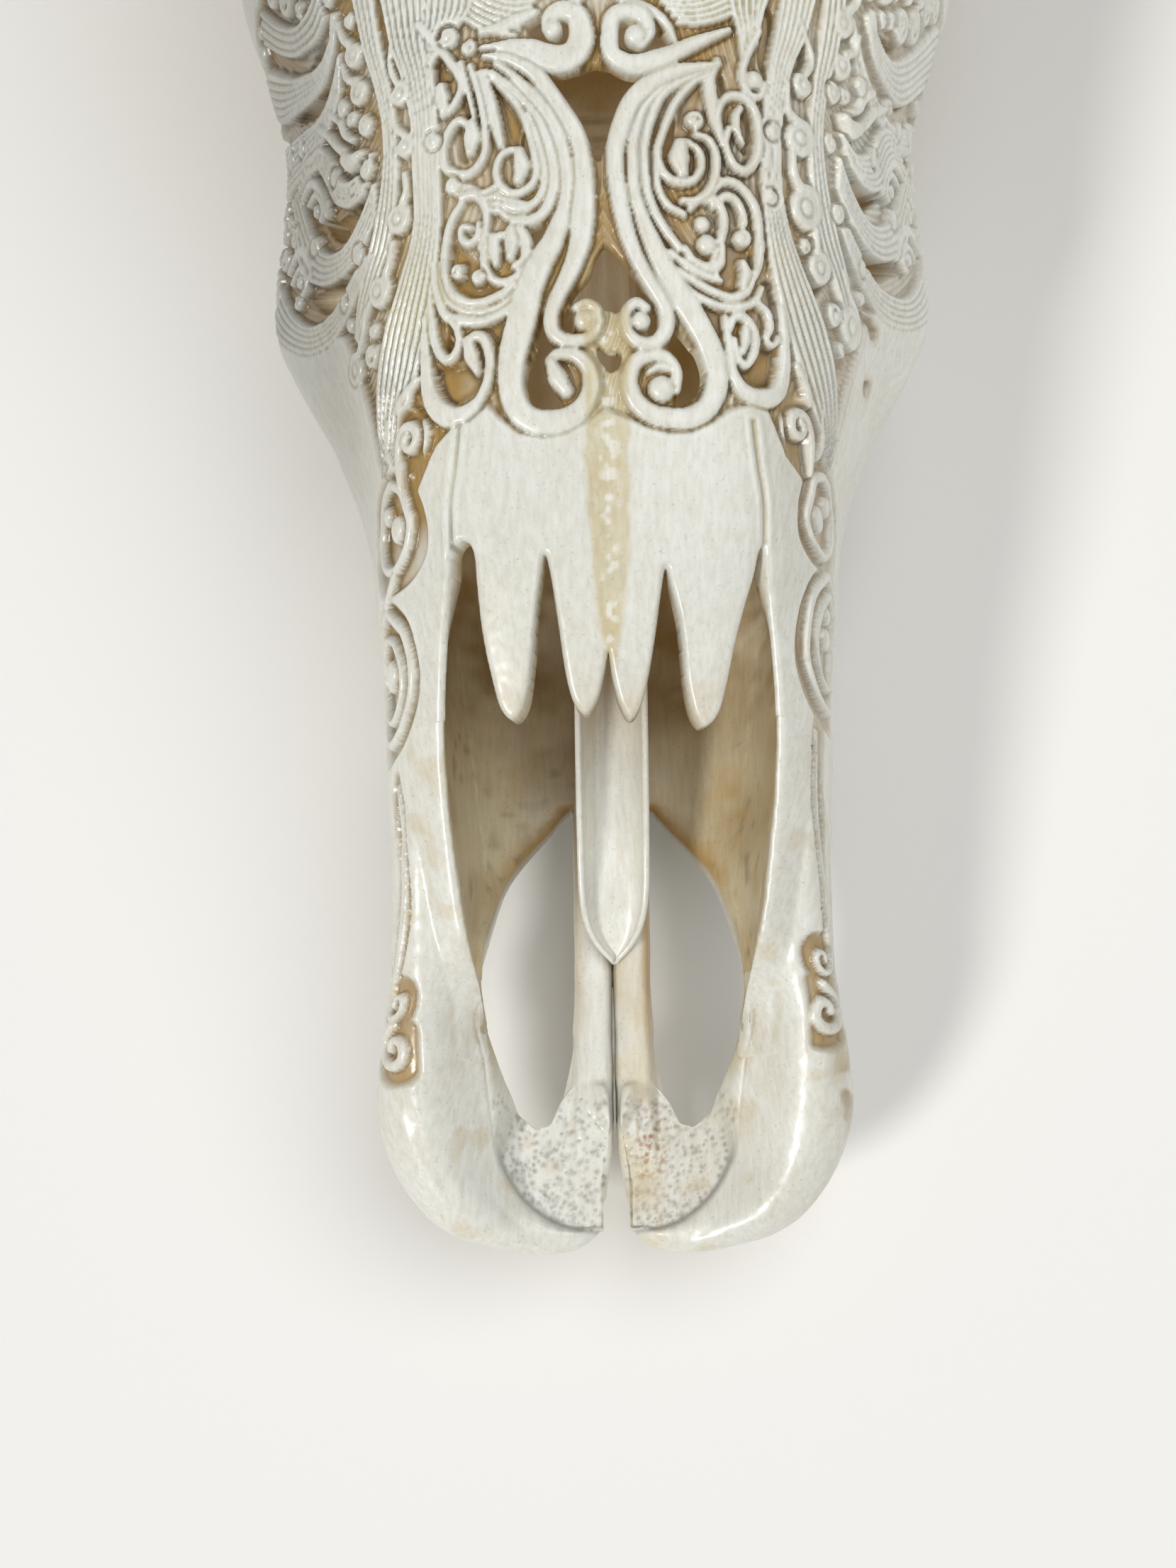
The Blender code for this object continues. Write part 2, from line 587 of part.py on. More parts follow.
def horn(side, word):
    """The horn sheath of one side, slipped over the bone core up to its seam."""
    made = tube("horn_" + word, HORN_PATH, HORN_SIZES, 21, 14, side, 0.85)
    place = [a + SUTURE_GAP * b for a, b in zip(HORN_SEAM, HORN_NORMAL)]
    normal = (side * HORN_NORMAL[0], *HORN_NORMAL[1:])
    cut(made, [half_space("beyond", (side * place[0], *place[1:]), normal)], "INTERSECT")
    return [made]


# Linear colours and roughness of the two finishes.
BONE = ((0.72, 0.60, 0.42, 1.0), 0.45)
HORN_SHEATH = ((0.045, 0.036, 0.030, 1.0), 0.35)
SHARP_ANGLE = math.radians(40)


def finish(body, colour, roughness):
    """Gives a bone or sheath its own material and smooth shading."""
    material = bpy.data.materials.new(body.name + " finish")
    material.use_nodes = True
    shader = material.node_tree.nodes["Principled BSDF"]
    shader.inputs["Base Color"].default_value = colour
    shader.inputs["Roughness"].default_value = roughness
    body.data.materials.clear()
    body.data.materials.append(material)
    body.data.shade_smooth()
    body.data.set_sharp_from_angle(angle=SHARP_ANGLE)


def main():
    """Models the skull whole, parts it at its seams and stands the model on its origin."""
    for item in list(bpy.data.objects):
        bpy.data.objects.remove(item)
    skull = whole_skull()
    cores = []
    for side in (1, -1):
        place = (side * HORN_SEAM[0], *HORN_SEAM[1:])
        cores.append(half_space("core end", place, (side * HORN_NORMAL[0], *HORN_NORMAL[1:])))
    cut(skull, cores)
    bones = [*both_sides(lambda side, word: face_bones(skull, side, word)), *rear_bones(skull), vomer()]
    bpy.data.objects.remove(skull)
    sheaths = both_sides(horn)
    corners = np.array([vertex.co[:] for body in bones + sheaths for vertex in body.data.vertices])
    middle = (corners.min(0) + corners.max(0)) / 2
    for body in bones + sheaths:
        for vertex in body.data.vertices:
            vertex.co.y -= middle[1]
        finish(body, *(HORN_SHEATH if body in sheaths else BONE))


main()
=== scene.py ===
# %% [markdown]
# A carved buffalo skull.
# The real one is a dry skull whose face a carver has covered with pierced scrollwork. Such a
# piece is often sculpted by hand. Here short functions work out every piece instead, so that a
# size can be changed later. The solids of the skull are loaded first. They give every bone and
# horn its place and size, and the finer pieces made below sit on them, in metres, with the
# muzzle pointing along -Y.

# %% Load the solids
import math

import bmesh
import bpy
import numpy as np
from mathutils import Matrix, Vector


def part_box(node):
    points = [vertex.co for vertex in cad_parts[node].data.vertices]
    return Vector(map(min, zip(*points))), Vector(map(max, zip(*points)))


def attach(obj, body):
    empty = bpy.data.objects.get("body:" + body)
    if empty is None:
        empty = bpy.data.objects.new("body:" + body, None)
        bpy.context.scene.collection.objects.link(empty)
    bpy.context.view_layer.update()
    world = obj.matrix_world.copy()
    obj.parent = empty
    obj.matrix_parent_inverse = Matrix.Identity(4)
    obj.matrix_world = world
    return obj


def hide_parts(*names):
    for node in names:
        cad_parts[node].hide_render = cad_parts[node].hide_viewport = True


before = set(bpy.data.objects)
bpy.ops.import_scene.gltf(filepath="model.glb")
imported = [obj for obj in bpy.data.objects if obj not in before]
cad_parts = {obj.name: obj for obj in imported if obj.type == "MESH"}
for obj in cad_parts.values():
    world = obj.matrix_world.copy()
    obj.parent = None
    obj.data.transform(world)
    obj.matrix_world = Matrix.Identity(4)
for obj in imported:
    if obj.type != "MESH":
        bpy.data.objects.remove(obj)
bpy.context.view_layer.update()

print("loaded", len(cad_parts), "solids")

# %% [markdown]
# A skull is easiest to measure along its own length. Every place could be typed in metres from
# the model's middle, but nobody measures a bone like that. So places are written in millimetres
# as (x, s, z): x to the side, s backwards from the tip of the muzzle, z up from the table. One
# known seam, where the forehead bone starts, ties that measure to the loaded solids.

# %% Skull places to model places
MM = 0.001
BROW_SEAM = 289.3
shift = BROW_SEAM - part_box("frontal")[0].y / MM


def model_places(places):
    """Skull places in millimetres as model places in metres."""
    return (np.asarray(places, float) - (0.0, shift, 0.0)) * MM


print("the muzzle tip lies", round(shift, 1), "mm in front of the model's middle")

# %% [markdown]
# The photograph was taken from straight above the nose, leaning a little towards the muzzle.
# A camera could be turned by hand until the view fits. Here its place and its angles are written
# down, so that they can be corrected by a known amount. It comes early, so that each piece can
# be judged from the right place at once.

# %% Camera
CAMERA_PLACE = (-6.5, -80.1, 700.5)
CAMERA_ELEVATION = math.radians(74.0)
CAMERA_AZIMUTH = math.radians(0.45)
CAMERA_ROLL = math.radians(-0.45)
LENS = 66.6
SENSOR_WIDTH = 36.0
NEAREST_SEEN, FARTHEST_SEEN = 0.02, 20.0


def placed(name, data):
    """A new object in the scene that shows the given data."""
    built = bpy.data.objects.new(name, data)
    bpy.context.scene.collection.objects.link(built)
    return built


ahead = Vector((
    math.sin(CAMERA_AZIMUTH) * math.cos(CAMERA_ELEVATION),
    math.cos(CAMERA_AZIMUTH) * math.cos(CAMERA_ELEVATION),
    -math.sin(CAMERA_ELEVATION),
))
level_right = Vector((math.cos(CAMERA_AZIMUTH), -math.sin(CAMERA_AZIMUTH), 0.0))
level_up = level_right.cross(ahead)
right = level_right * math.cos(CAMERA_ROLL) + level_up * math.sin(CAMERA_ROLL)
up = level_up * math.cos(CAMERA_ROLL) - level_right * math.sin(CAMERA_ROLL)
camera_data = bpy.data.cameras.new("camera")
camera_data.lens = LENS
camera_data.sensor_width = SENSOR_WIDTH
camera_data.clip_start, camera_data.clip_end = NEAREST_SEEN, FARTHEST_SEEN
camera = placed("camera", camera_data)
turn = Matrix((right, up, -ahead)).transposed().to_4x4()
camera.matrix_world = Matrix.Translation(Vector(model_places(CAMERA_PLACE))) @ turn
bpy.context.scene.camera = camera
print("camera at", [round(v, 3) for v in camera.location])

# %% [markdown]
# The face of a buffalo is a long tube of thin bone. It could be pulled from a box and rounded
# by a subdivision modifier, but then no size of it could be stated. Half outlines across it,
# from the top of the nose round the cheek to the middle of the palate, give its outer surface
# in real sizes. A second set gives the nasal cavity inside it. A smooth curve through the
# outlines along the skull then turns both sets into surfaces that can be asked for anywhere.

# %% Outlines of the skull
FACE_ROWS = (
    (50, ((0, 69), (16, 68.5), (33, 64), (46, 57), (52, 46), (49, 32), (39, 25), (20, 27), (0, 29))),
    (60, ((0, 76), (18, 75.5), (36, 70), (47, 61), (51, 48), (47, 34), (38, 26), (20, 28), (0, 30))),
    (80, ((0, 88), (20, 87), (38, 80), (48, 68), (50, 52), (46, 36), (38, 27), (20, 29), (0, 31))),
    (100, ((0, 99), (22, 98), (40, 89), (49, 74), (50.5, 55), (46, 37), (38, 26), (20, 30), (0, 32))),
    (120, ((0, 108), (24, 106), (41, 97), (49.5, 81), (51, 60), (47, 38), (39, 22), (22, 30), (0, 33))),
    (140, ((0, 115), (26, 112.5), (42, 103), (50.5, 86), (53, 64), (49, 40), (42, 20), (26, 29), (0, 33))),
    (160, ((0, 120), (28, 117), (44, 107), (51.5, 90), (55, 68), (53, 44), (46, 19), (28, 29), (0, 33))),
    (182, ((0, 126), (30, 122.5), (46.5, 111.5), (56.5, 94), (63, 72), (58, 46), (50, 19), (30, 30),
           (0, 34))),
    (200, ((0, 131), (31, 127.3), (49, 115), (61, 96), (72.5, 72), (63.5, 47), (52, 19), (31, 31),
           (0, 35))),
    (215, ((0, 135), (32, 131), (51, 118), (64, 98), (77, 72), (66, 48), (54, 19), (32, 32), (0, 36))),
    (250, ((0, 144), (36, 140), (56, 127), (68, 104), (74, 76), (64, 50), (56, 20), (34, 34), (0, 38))),
    (270, ((0, 149), (39, 145), (61, 132.5), (74, 109), (78, 82), (65, 55), (53, 30), (34, 41), (0, 43))),
    (290, ((0, 154), (42, 150), (66, 138), (80, 114), (83, 88), (67, 74), (48, 62), (30, 58), (0, 57))),
)
BROW_ROWS = (
    (310, ((0, 160), (48, 157), (74, 148), (84, 130), (74, 114), (58, 101), (40, 76), (26, 63), (0, 60))),
    (340, ((0, 168), (54, 166), (80, 158), (82, 142), (64, 126), (44, 111), (34, 80), (22, 58), (0, 56))),
    (375, ((0, 175), (58, 173), (84, 164), (84, 148), (66, 130), (46, 115), (38, 84), (24, 56), (0, 52))),
    (410, ((0, 179), (58, 177), (78, 168), (79, 152), (68, 132), (56, 117), (46, 84), (28, 54), (0, 50))),
    (445, ((0, 180), (58, 178), (80, 168), (81, 150), (70, 132), (60, 118), (52, 86), (34, 54), (0, 48))),
    (480, ((0, 174), (54, 172), (72, 162), (73, 146), (68, 130), (64, 116), (56, 86), (38, 56), (0, 48))),
    (500, ((0, 164), (48, 161), (64, 152), (66, 136), (67, 124), (66, 112), (58, 84), (40, 58), (0, 50))),
    (512, ((0, 150), (36, 146), (50, 136), (56, 120), (57, 112), (56, 104), (46, 80), (30, 62), (0, 56))),
)
print("outlines for", len(FACE_ROWS) + len(BROW_ROWS), "stations along the skull")

# %% Outlines of the nasal cavity
CAVITY_ROWS = (
    (45, ((0, 66), (14, 66), (25, 61), (29.5, 53), (28.5, 42), (16, 35.5), (0, 34.5))),
    (60, ((0, 71.5), (16, 71), (29, 66), (33.2, 57), (31.6, 43), (17, 36.5), (0, 35))),
    (80, ((0, 83), (18, 82.5), (31, 77), (34.5, 65), (30, 46), (18, 38), (0, 36.5))),
    (100, ((0, 94.5), (20, 94), (34, 86), (37, 70), (32, 49), (20, 40), (0, 38.5))),
    (120, ((0, 103.5), (22, 102), (36, 93), (39, 77), (34, 52), (22, 42), (0, 40))),
    (140, ((0, 110.5), (24, 108.5), (37, 99), (41, 82), (37, 55), (24, 43), (0, 41))),
    (160, ((0, 115.5), (26, 113), (39, 103), (44, 86), (42, 60), (26, 45), (0, 42.5))),
    (185, ((0, 122.5), (28, 119.5), (42, 108), (50, 90), (50, 64), (30, 47), (0, 44))),
    (215, ((0, 130.5), (30, 127), (46, 114), (56, 94), (58, 68), (34, 50), (0, 46))),
    (250, ((0, 139.5), (33, 136), (50, 123), (60, 100), (60, 72), (36, 54), (0, 50))),
    (270, ((0, 143), (34, 139), (50, 127), (58, 105), (57, 82), (37, 62), (0, 58))),
)
print("outlines for", len(CAVITY_ROWS), "stations along the nose")

# %% Smooth curves through them
def spline(points, count):
    """Points evenly spaced in parameter on a smooth curve through the given ones."""
    points = np.asarray(points, float)
    padded = np.vstack([2 * points[0] - points[1], points, 2 * points[-1] - points[-2]])
    spans = len(points) - 1
    place = np.linspace(0, spans, count)
    index = np.minimum(place.astype(int), spans - 1)
    t = (place - index)[:, None]
    before, start, end, after = (padded[index + k] for k in range(4))
    return 0.5 * (
        2 * start
        + (end - before) * t
        + (2 * before - 5 * start + 4 * end - after) * t**2
        + (3 * start - before - 3 * end + after) * t**3
    )


AROUND = 321


def outlines(rows, stations):
    """Half outlines (station, place round the half, x z) of a set of rows at the given stations."""
    table = np.array([[row[0], *np.ravel(row[1])] for row in rows], float)
    fine = spline(table, 60 * len(rows))
    columns = range(1, table.shape[1])
    places = np.stack([np.interp(stations, fine[:, 0], fine[:, k]) for k in columns], axis=1)
    return np.array([spline(row.reshape(-1, 2), AROUND) for row in places])


print("each half outline read at", AROUND, "places")

# %% [markdown]
# The carving covers the face like lace. Each hole could be cut with a boolean modifier and each
# curl laid on as a mesh, but hundreds of them would be slow and leave torn faces. So the carving
# is drawn flat, on a map of the face: w is the distance from the middle line measured over the
# curve of the bone, and s runs along the skull as before. The map holds how high the carver left
# each place, where the bone is pierced, and where the golden ground shows.

# %% The map of the face
CELL = 0.25
MAP_W = (-132.0, 132.0)
MAP_S = (34.0, 512.0)
FAR = 50.0
w_axis = np.arange(MAP_W[0], MAP_W[1] + CELL / 2, CELL)
s_axis = np.arange(MAP_S[0], MAP_S[1] + CELL / 2, CELL)
height = np.zeros((len(s_axis), len(w_axis)))
bone = np.full(height.shape, FAR)
ground_share = np.zeros(height.shape)
print("map of", height.shape[1], "by", height.shape[0], "cells")

# %% Paths on the map
def smooth_path(points, spacing=0.6):
    """Places evenly spaced along a smooth curve through the given ones."""
    fine = spline(points, 20 * len(points))
    along = np.concatenate([[0], np.cumsum(np.linalg.norm(np.diff(fine, axis=0), axis=1))])
    place = np.linspace(0, along[-1], max(int(along[-1] / spacing) + 1, 3))
    return np.stack([np.interp(place, along, fine[:, k]) for k in range(2)], axis=1)


def window(low, high):
    """The part of the map between two corners, as slices of its rows and columns."""
    columns = slice(*np.searchsorted(w_axis, (low[0], high[0])))
    rows = slice(*np.searchsorted(s_axis, (low[1], high[1])))
    return rows, columns


def near_path(path, reach):
    """A window of the map round a path: distance from it, signed offset and share along it."""
    rows, columns = window(path.min(0) - reach, path.max(0) + reach)
    ws, ss = w_axis[columns], s_axis[rows]
    distance = np.full((len(ss), len(ws)), np.inf)
    offset = np.zeros(distance.shape)
    share = np.zeros(distance.shape)
    last = len(path) - 1
    for k in range(last):
        start, step = path[k], path[k + 1] - path[k]
        low, high = np.minimum(start, path[k + 1]) - reach, np.maximum(start, path[k + 1]) + reach
        c = slice(*np.searchsorted(ws, (low[0], high[0])))
        r = slice(*np.searchsorted(ss, (low[1], high[1])))
        dw, ds = ws[None, c] - start[0], ss[r, None] - start[1]
        t = np.clip((dw * step[0] + ds * step[1]) / max(step @ step, 1e-9), 0, 1)
        away = np.hypot(dw - t * step[0], ds - t * step[1])
        closer = away < distance[r, c]
        distance[r, c] = np.where(closer, away, distance[r, c])
        side = np.sign(step[0] * ds - step[1] * dw)
        offset[r, c] = np.where(closer, side * away, offset[r, c])
        share[r, c] = np.where(closer, (k + t) / last, share[r, c])
    return rows, columns, distance, offset, share


print("paths can be measured")

# %% Closed outlines on the map
def outline_distance(ws, ss, outline):
    """Distance of places from a closed outline, counted negative inside it."""
    ws, ss = np.broadcast_arrays(ws, ss)
    ends = np.roll(outline, -1, axis=0)
    distance = np.full(ws.shape, np.inf)
    inside = np.zeros(ws.shape, bool)
    for a, b in zip(outline, ends):
        step = b - a
        t = np.clip(((ws - a[0]) * step[0] + (ss - a[1]) * step[1]) / max(step @ step, 1e-9), 0, 1)
        distance = np.minimum(distance, np.hypot(ws - a[0] - t * step[0], ss - a[1] - t * step[1]))
        if a[1] != b[1]:
            crosses = (a[1] > ss) != (b[1] > ss)
            inside ^= crosses & (ws < (b[0] - a[0]) * (ss - a[1]) / (b[1] - a[1]) + a[0])
    return np.where(inside, -distance, distance)


def closed_curve(points, spacing=0.8):
    """A smooth closed outline through the given points."""
    points = [tuple(p) for p in points]
    wrapped = spline([points[-1], *points, points[0], points[1]], 16 * (len(points) + 2))
    fine = wrapped[16:-16]
    along = np.concatenate([[0], np.cumsum(np.linalg.norm(np.diff(fine, axis=0), axis=1))])
    place = np.linspace(0, along[-1], max(int(along[-1] / spacing), 8), endpoint=False)
    return np.stack([np.interp(place, along, fine[:, k]) for k in range(2)], axis=1)


print("outlines can be measured")

# %% Softening a map
def blurred(field, reach, passes=3):
    """A map softened over a distance in millimetres, by passes of a moving mean."""
    size = max(int(round(reach / CELL / 2)), 1)
    for _ in range(passes):
        for axis in (0, 1):
            padding = [(0, 0), (0, 0)]
            padding[axis] = (size + 1, size)
            total = np.cumsum(np.pad(field, padding, mode="edge"), axis=axis)
            width = 2 * size + 1
            if axis == 0:
                field = (total[width:] - total[:-width]) / width
            else:
                field = (total[:, width:] - total[:, :-width]) / width
    return field


print("maps can be softened")

# %% [markdown]
# A carver works with few gestures. A ground is sunk, a hole is pierced through it, a band is left
# standing, and the band curls up round a small ball. A painted height picture could hold all of
# this, but it couldn't be measured or corrected. So each gesture is one function here, and the
# carving is a list of them. A band laid later lies over the bands before it, as the overlapping
# scrolls of the real one.

# %% The carver's gestures: sinking and piercing
GROUND_DEPTH = 3.2
HOLE_REACH = 3.0


def sink(points, depth=GROUND_DEPTH, soft=1.2, gold=1.0, spacing=0.8):
    """Lowers the bone inside an outline to a ground, with a soft edge."""
    outline = closed_curve(points, spacing)
    rows, columns = window(outline.min(0) - soft, outline.max(0) + soft)
    away = outline_distance(w_axis[None, columns], s_axis[rows, None], outline)
    share = np.clip((soft - away) / (2 * soft), 0, 1)
    share = share * share * (3 - 2 * share)
    height[rows, columns] = height[rows, columns] * (1 - share) - depth * share
    ground_share[rows, columns] = np.maximum(ground_share[rows, columns], gold * share)


def pierce(points):
    """Cuts a hole through the bone along an outline."""
    outline = closed_curve(points)
    rows, columns = window(outline.min(0) - HOLE_REACH, outline.max(0) + HOLE_REACH)
    away = outline_distance(w_axis[None, columns], s_axis[rows, None], outline)
    bone[rows, columns] = np.minimum(bone[rows, columns], away)
    ground_share[rows, columns] = np.maximum(ground_share[rows, columns], np.clip(0.7 - 0.35 * away, 0, 1))


print("two gestures: sink and pierce")

# %% The carver's gestures: bands and balls
SPILL = 0.45


def band(points, half=1.6, level=0.4, crown=0.9, ribs=1, rib_depth=0.6, trench=0.0, lean=0.0):
    """Leaves a band standing along a path; half widths and levels may change from end to end."""
    path = smooth_path(points)
    halves = np.atleast_1d(half).astype(float)
    levels = np.atleast_1d(level).astype(float)
    reach = halves.max() + 1.2
    rows, columns, distance, offset, share = near_path(path, reach)
    width = np.interp(share, np.linspace(0, 1, len(halves)), halves)
    top = np.interp(share, np.linspace(0, 1, len(levels)), levels)
    across = np.clip(offset / np.maximum(width, 0.05), -1, 1)
    surface = top - crown * (1 - np.sqrt(1 - 0.98 * across**2)) + lean * across
    if ribs > 1:
        rib = np.modf((across + 1) / 2 * ribs * 0.9999)[0] * 2 - 1
        surface = surface - rib_depth * (1 - np.sqrt(1 - 0.96 * rib**2))
    here_height, here_bone = height[rows, columns], bone[rows, columns]
    if trench:
        groove = np.clip(1 - np.abs(distance - width - 0.35) / 0.5, 0, 1)
        here_height = here_height - trench * groove * (distance > width)
    covered = (distance < width) | ((distance < width + SPILL) & (here_bone < 0))
    height[rows, columns] = np.where(covered, surface, here_height)
    bone[rows, columns] = np.maximum(here_bone, width - distance)
    ground_share[rows, columns] = np.where(covered, 0.0, ground_share[rows, columns])


def ball(centre, radius, level=0.9, rise=1.6):
    """A small dome, as the eye of a volute."""
    centre = np.array(centre, float)
    reach = radius + SPILL
    rows, columns = window(centre - reach, centre + reach)
    away = np.hypot(w_axis[None, columns] - centre[0], s_axis[rows, None] - centre[1])
    surface = level - rise * (1 - np.sqrt(np.clip(1 - (away / (radius + 0.05)) ** 2, 0, 1)))
    here_bone = bone[rows, columns]
    covered = (away < radius) | ((away < reach) & (here_bone < 0))
    height[rows, columns] = np.where(covered, surface, height[rows, columns])
    bone[rows, columns] = np.maximum(here_bone, radius - away)
    ground_share[rows, columns] = np.where(covered, 0.0, ground_share[rows, columns])


def oval(centre, wide, long, end=6.2, step=0.7):
    """Places round an oval, up to an angle and by a step in radians."""
    angles = np.arange(0, end, step)
    return [(centre[0] + wide * math.cos(a), centre[1] + long * math.sin(a)) for a in angles]


def spiral(centre, radius, start, turns, close=0.3):
    """Places that wind in round a centre, from an angle in degrees; negative turns wind clockwise."""
    count = max(int(abs(turns) * 8) + 1, 3)
    share = np.linspace(0, 1, count)
    angle = np.radians(start + 360 * turns * share)
    reach = radius * (1 - (1 - close) * share)
    return [(centre[0] + r * math.cos(a), centre[1] + r * math.sin(a)) for r, a in zip(reach, angle)]


print("two more gestures: band and ball")

# %% [markdown]
# The middle of the nose carries the main design: two bands sweep down from the brow like an S,
# meet over the middle line, and end in two large loops above the bare nasal bones. One side
# could be drawn and mirrored. Both sides are drawn apart instead, as the carver did not make
# them quite alike. First the ground is lowered and pierced, and then the bands are laid over it,
# the hindmost first.

# %% Combed strips and lists of bands
RIDGE = 1.5


def combed(first, last, level=0.2, ends=(1.0, 1.0), crown=1.5, spread=1.04, pitch=RIDGE):
    """Ridges side by side that fill the strip between two paths, as combed hair."""
    samples = 32
    edges = []
    for points in (first, last):
        path = smooth_path(points, 0.3)
        place = np.linspace(0, len(path) - 1, samples)
        edges.append(np.stack([np.interp(place, np.arange(len(path)), path[:, k]) for k in range(2)],
                              axis=1))
    across = np.linalg.norm(edges[1] - edges[0], axis=1)
    count = max(int(round(np.percentile(across, 60) / pitch)), 2)
    step = (edges[1] - edges[0]) / count
    half = np.linalg.norm(step, axis=1) / 2 * spread
    half = half * np.minimum(np.linspace(ends[0], 1 + 3 * (1 - ends[0]), samples), 1)
    half = half * np.minimum(np.linspace(1 + 3 * (1 - ends[1]), ends[1], samples), 1)
    for number in range(count):
        band((edges[0] + step * (number + 0.5))[:: 2], half[:: 2], level, crown)


def comb_all(strips):
    """Combs each (first path, last path, level) of a list."""
    for first, last, level in strips:
        combed(first, last, level)


def lay(strokes):
    """Leaves each (path, half widths, level) of a list standing, in its order."""
    for points, half, level in strokes:
        band(points, half, level)


print("strips can be combed")

# %% The field of the carving
FIELD_DEPTH = 2.7
CARVED_FIELD = (
    (-60, 482), (-71, 450), (-74, 410), (-78, 375), (-76, 340), (-72, 305), (-84, 287), (-98, 280),
    (-110, 277), (-121, 268), (-120, 240), (-116, 220), (-107, 212), (-98, 206), (-90, 202.2),
    (-80, 200.6), (-72, 199), (-68, 192), (-63, 180), (-60, 166), (-57, 156), (-49, 153), (-43, 159),
    (-39, 165), (-35, 168), (-31, 168.5), (-25, 172), (-21.5, 167), (-15, 164.6), (-7, 165.8), (0, 170),
    (8, 166.5), (17, 165), (25, 168.5), (29, 171.5), (37, 170.8), (40, 164), (45, 160), (50, 156.5),
    (58, 160), (62, 170), (67, 184), (72, 195), (75, 203), (83, 204.8), (93, 206.6), (101, 210.4),
    (110, 216.2), (118, 224), (120, 240), (121, 272), (110, 280), (98, 283), (84, 288), (72, 305),
    (76, 340), (78, 375), (74, 410), (71, 450), (60, 482), (30, 490), (0, 491), (-30, 490),
)
sink(CARVED_FIELD, depth=FIELD_DEPTH, soft=0.8, gold=0.85, spacing=5.0)
print("ground lowered by", FIELD_DEPTH, "mm")

# %% [markdown]
# Behind the bands the real ground isn't smooth: fine cuts follow the sweep of the design all over
# it. They could be a bump in the material, but from the side they would be flat. A wave on the
# map lets them catch the light as the photo's do.

# %% Ridges on the ground
BACK_RIDGE = 1.7


def comb_ground():
    """Fine ridges all over the ground, which follow the sweep of the design round them."""
    w, s = w_axis[None, :], s_axis[:, None]
    beside = np.abs(w)
    cheek = s - 0.016 * (beside - 74) ** 2 + 1.5 * np.sin(beside / 9)
    nose = beside + 5 * np.sin(s / 17) + 2.5 * np.sin(s / 6.5)
    share = np.clip((beside - 46) / 10, 0, 1)
    on_nose = np.cos(2 * math.pi * nose / BACK_RIDGE)
    on_cheek = np.cos(2 * math.pi * cheek / BACK_RIDGE)
    wave = on_nose * (1 - share) + on_cheek * share
    sunk = np.clip(-height / FIELD_DEPTH, 0, 1)
    return height + sunk * (0.6 + 0.3 * wave)


height = comb_ground()
print("ground ridged every", BACK_RIDGE, "mm")

# %% Hollows between the bands
HOLLOW_DEPTH = 4.0
HOLLOWS = (
    ((-39.5, 249.5), (-36, 246), (-33, 243), (-33.5, 240.8), (-38.5, 239), (-40, 242)),
    ((-31, 237.5), (-27, 237), (-26.4, 231), (-29, 231.5)),
    ((-24.2, 238.7), (-20, 234.9), (-17.5, 230), (-19.6, 225.8), (-22.9, 235.3)),
    ((-31.5, 230), (-30, 230), (-30, 223.5), (-31.5, 224.5)),
    ((-34.5, 206), (-31, 204.5), (-26.5, 199), (-25, 195.5), (-29, 195), (-33, 199)),
    ((-39.2, 181), (-35, 180.5), (-31, 180.5), (-27.6, 177.5), (-30, 174.5), (-36, 173.2), (-38.5, 176)),
    ((-30.5, 188.7), (-26, 188.3), (-22, 190.5), (-19.6, 192), (-20.6, 188), (-23.2, 184.6),
     (-26, 187.4)),
    ((-49.5, 172), (-45, 175), (-42, 172), (-42.5, 167), (-47.5, 166)),
    ((16, 226.5), (17.5, 232), (20, 238), (22.5, 240.3), (20.5, 232), (18.5, 227)),
    ((30.4, 233), (32.5, 230), (32.2, 224.5), (30.6, 226)),
    ((35.5, 254), (38.5, 254), (38.3, 244), (35.6, 243)),
    ((44, 255), (47.5, 255), (47, 242), (44, 241.5)),
    ((26.5, 204), (32, 205.5), (33, 199), (29.5, 195.5), (26, 197)),
    ((36, 197.5), (38.6, 197.5), (38.6, 190), (36, 190.5)),
    ((19, 195.5), (22, 193.6), (25.6, 191.5), (26.3, 188), (25, 185.6), (22.4, 190)),
    ((31, 181.5), (35, 183.5), (39, 184), (39.1, 179.5), (37.5, 176.6), (33, 176.2), (30.4, 178)),
    ((41.8, 171), (46, 171.5), (46.5, 166), (43, 165)),
    ((53, 191), (60, 191.5), (67, 188), (62, 184), (55, 185.5)),
    ((46, 204.5), (50, 203), (54, 202), (53, 199), (49, 200.5)),
)
for outline in HOLLOWS:
    sink(outline, depth=HOLLOW_DEPTH, soft=0.7)
print(len(HOLLOWS), "hollows sunk")

# %% [markdown]
# The bone is pierced wherever the design leaves a gap, so that the dark nose shows through. Each
# hole is only an outline here. The holes become real openings later, when the mesh is made, since
# a dark colour alone would look painted from the side.

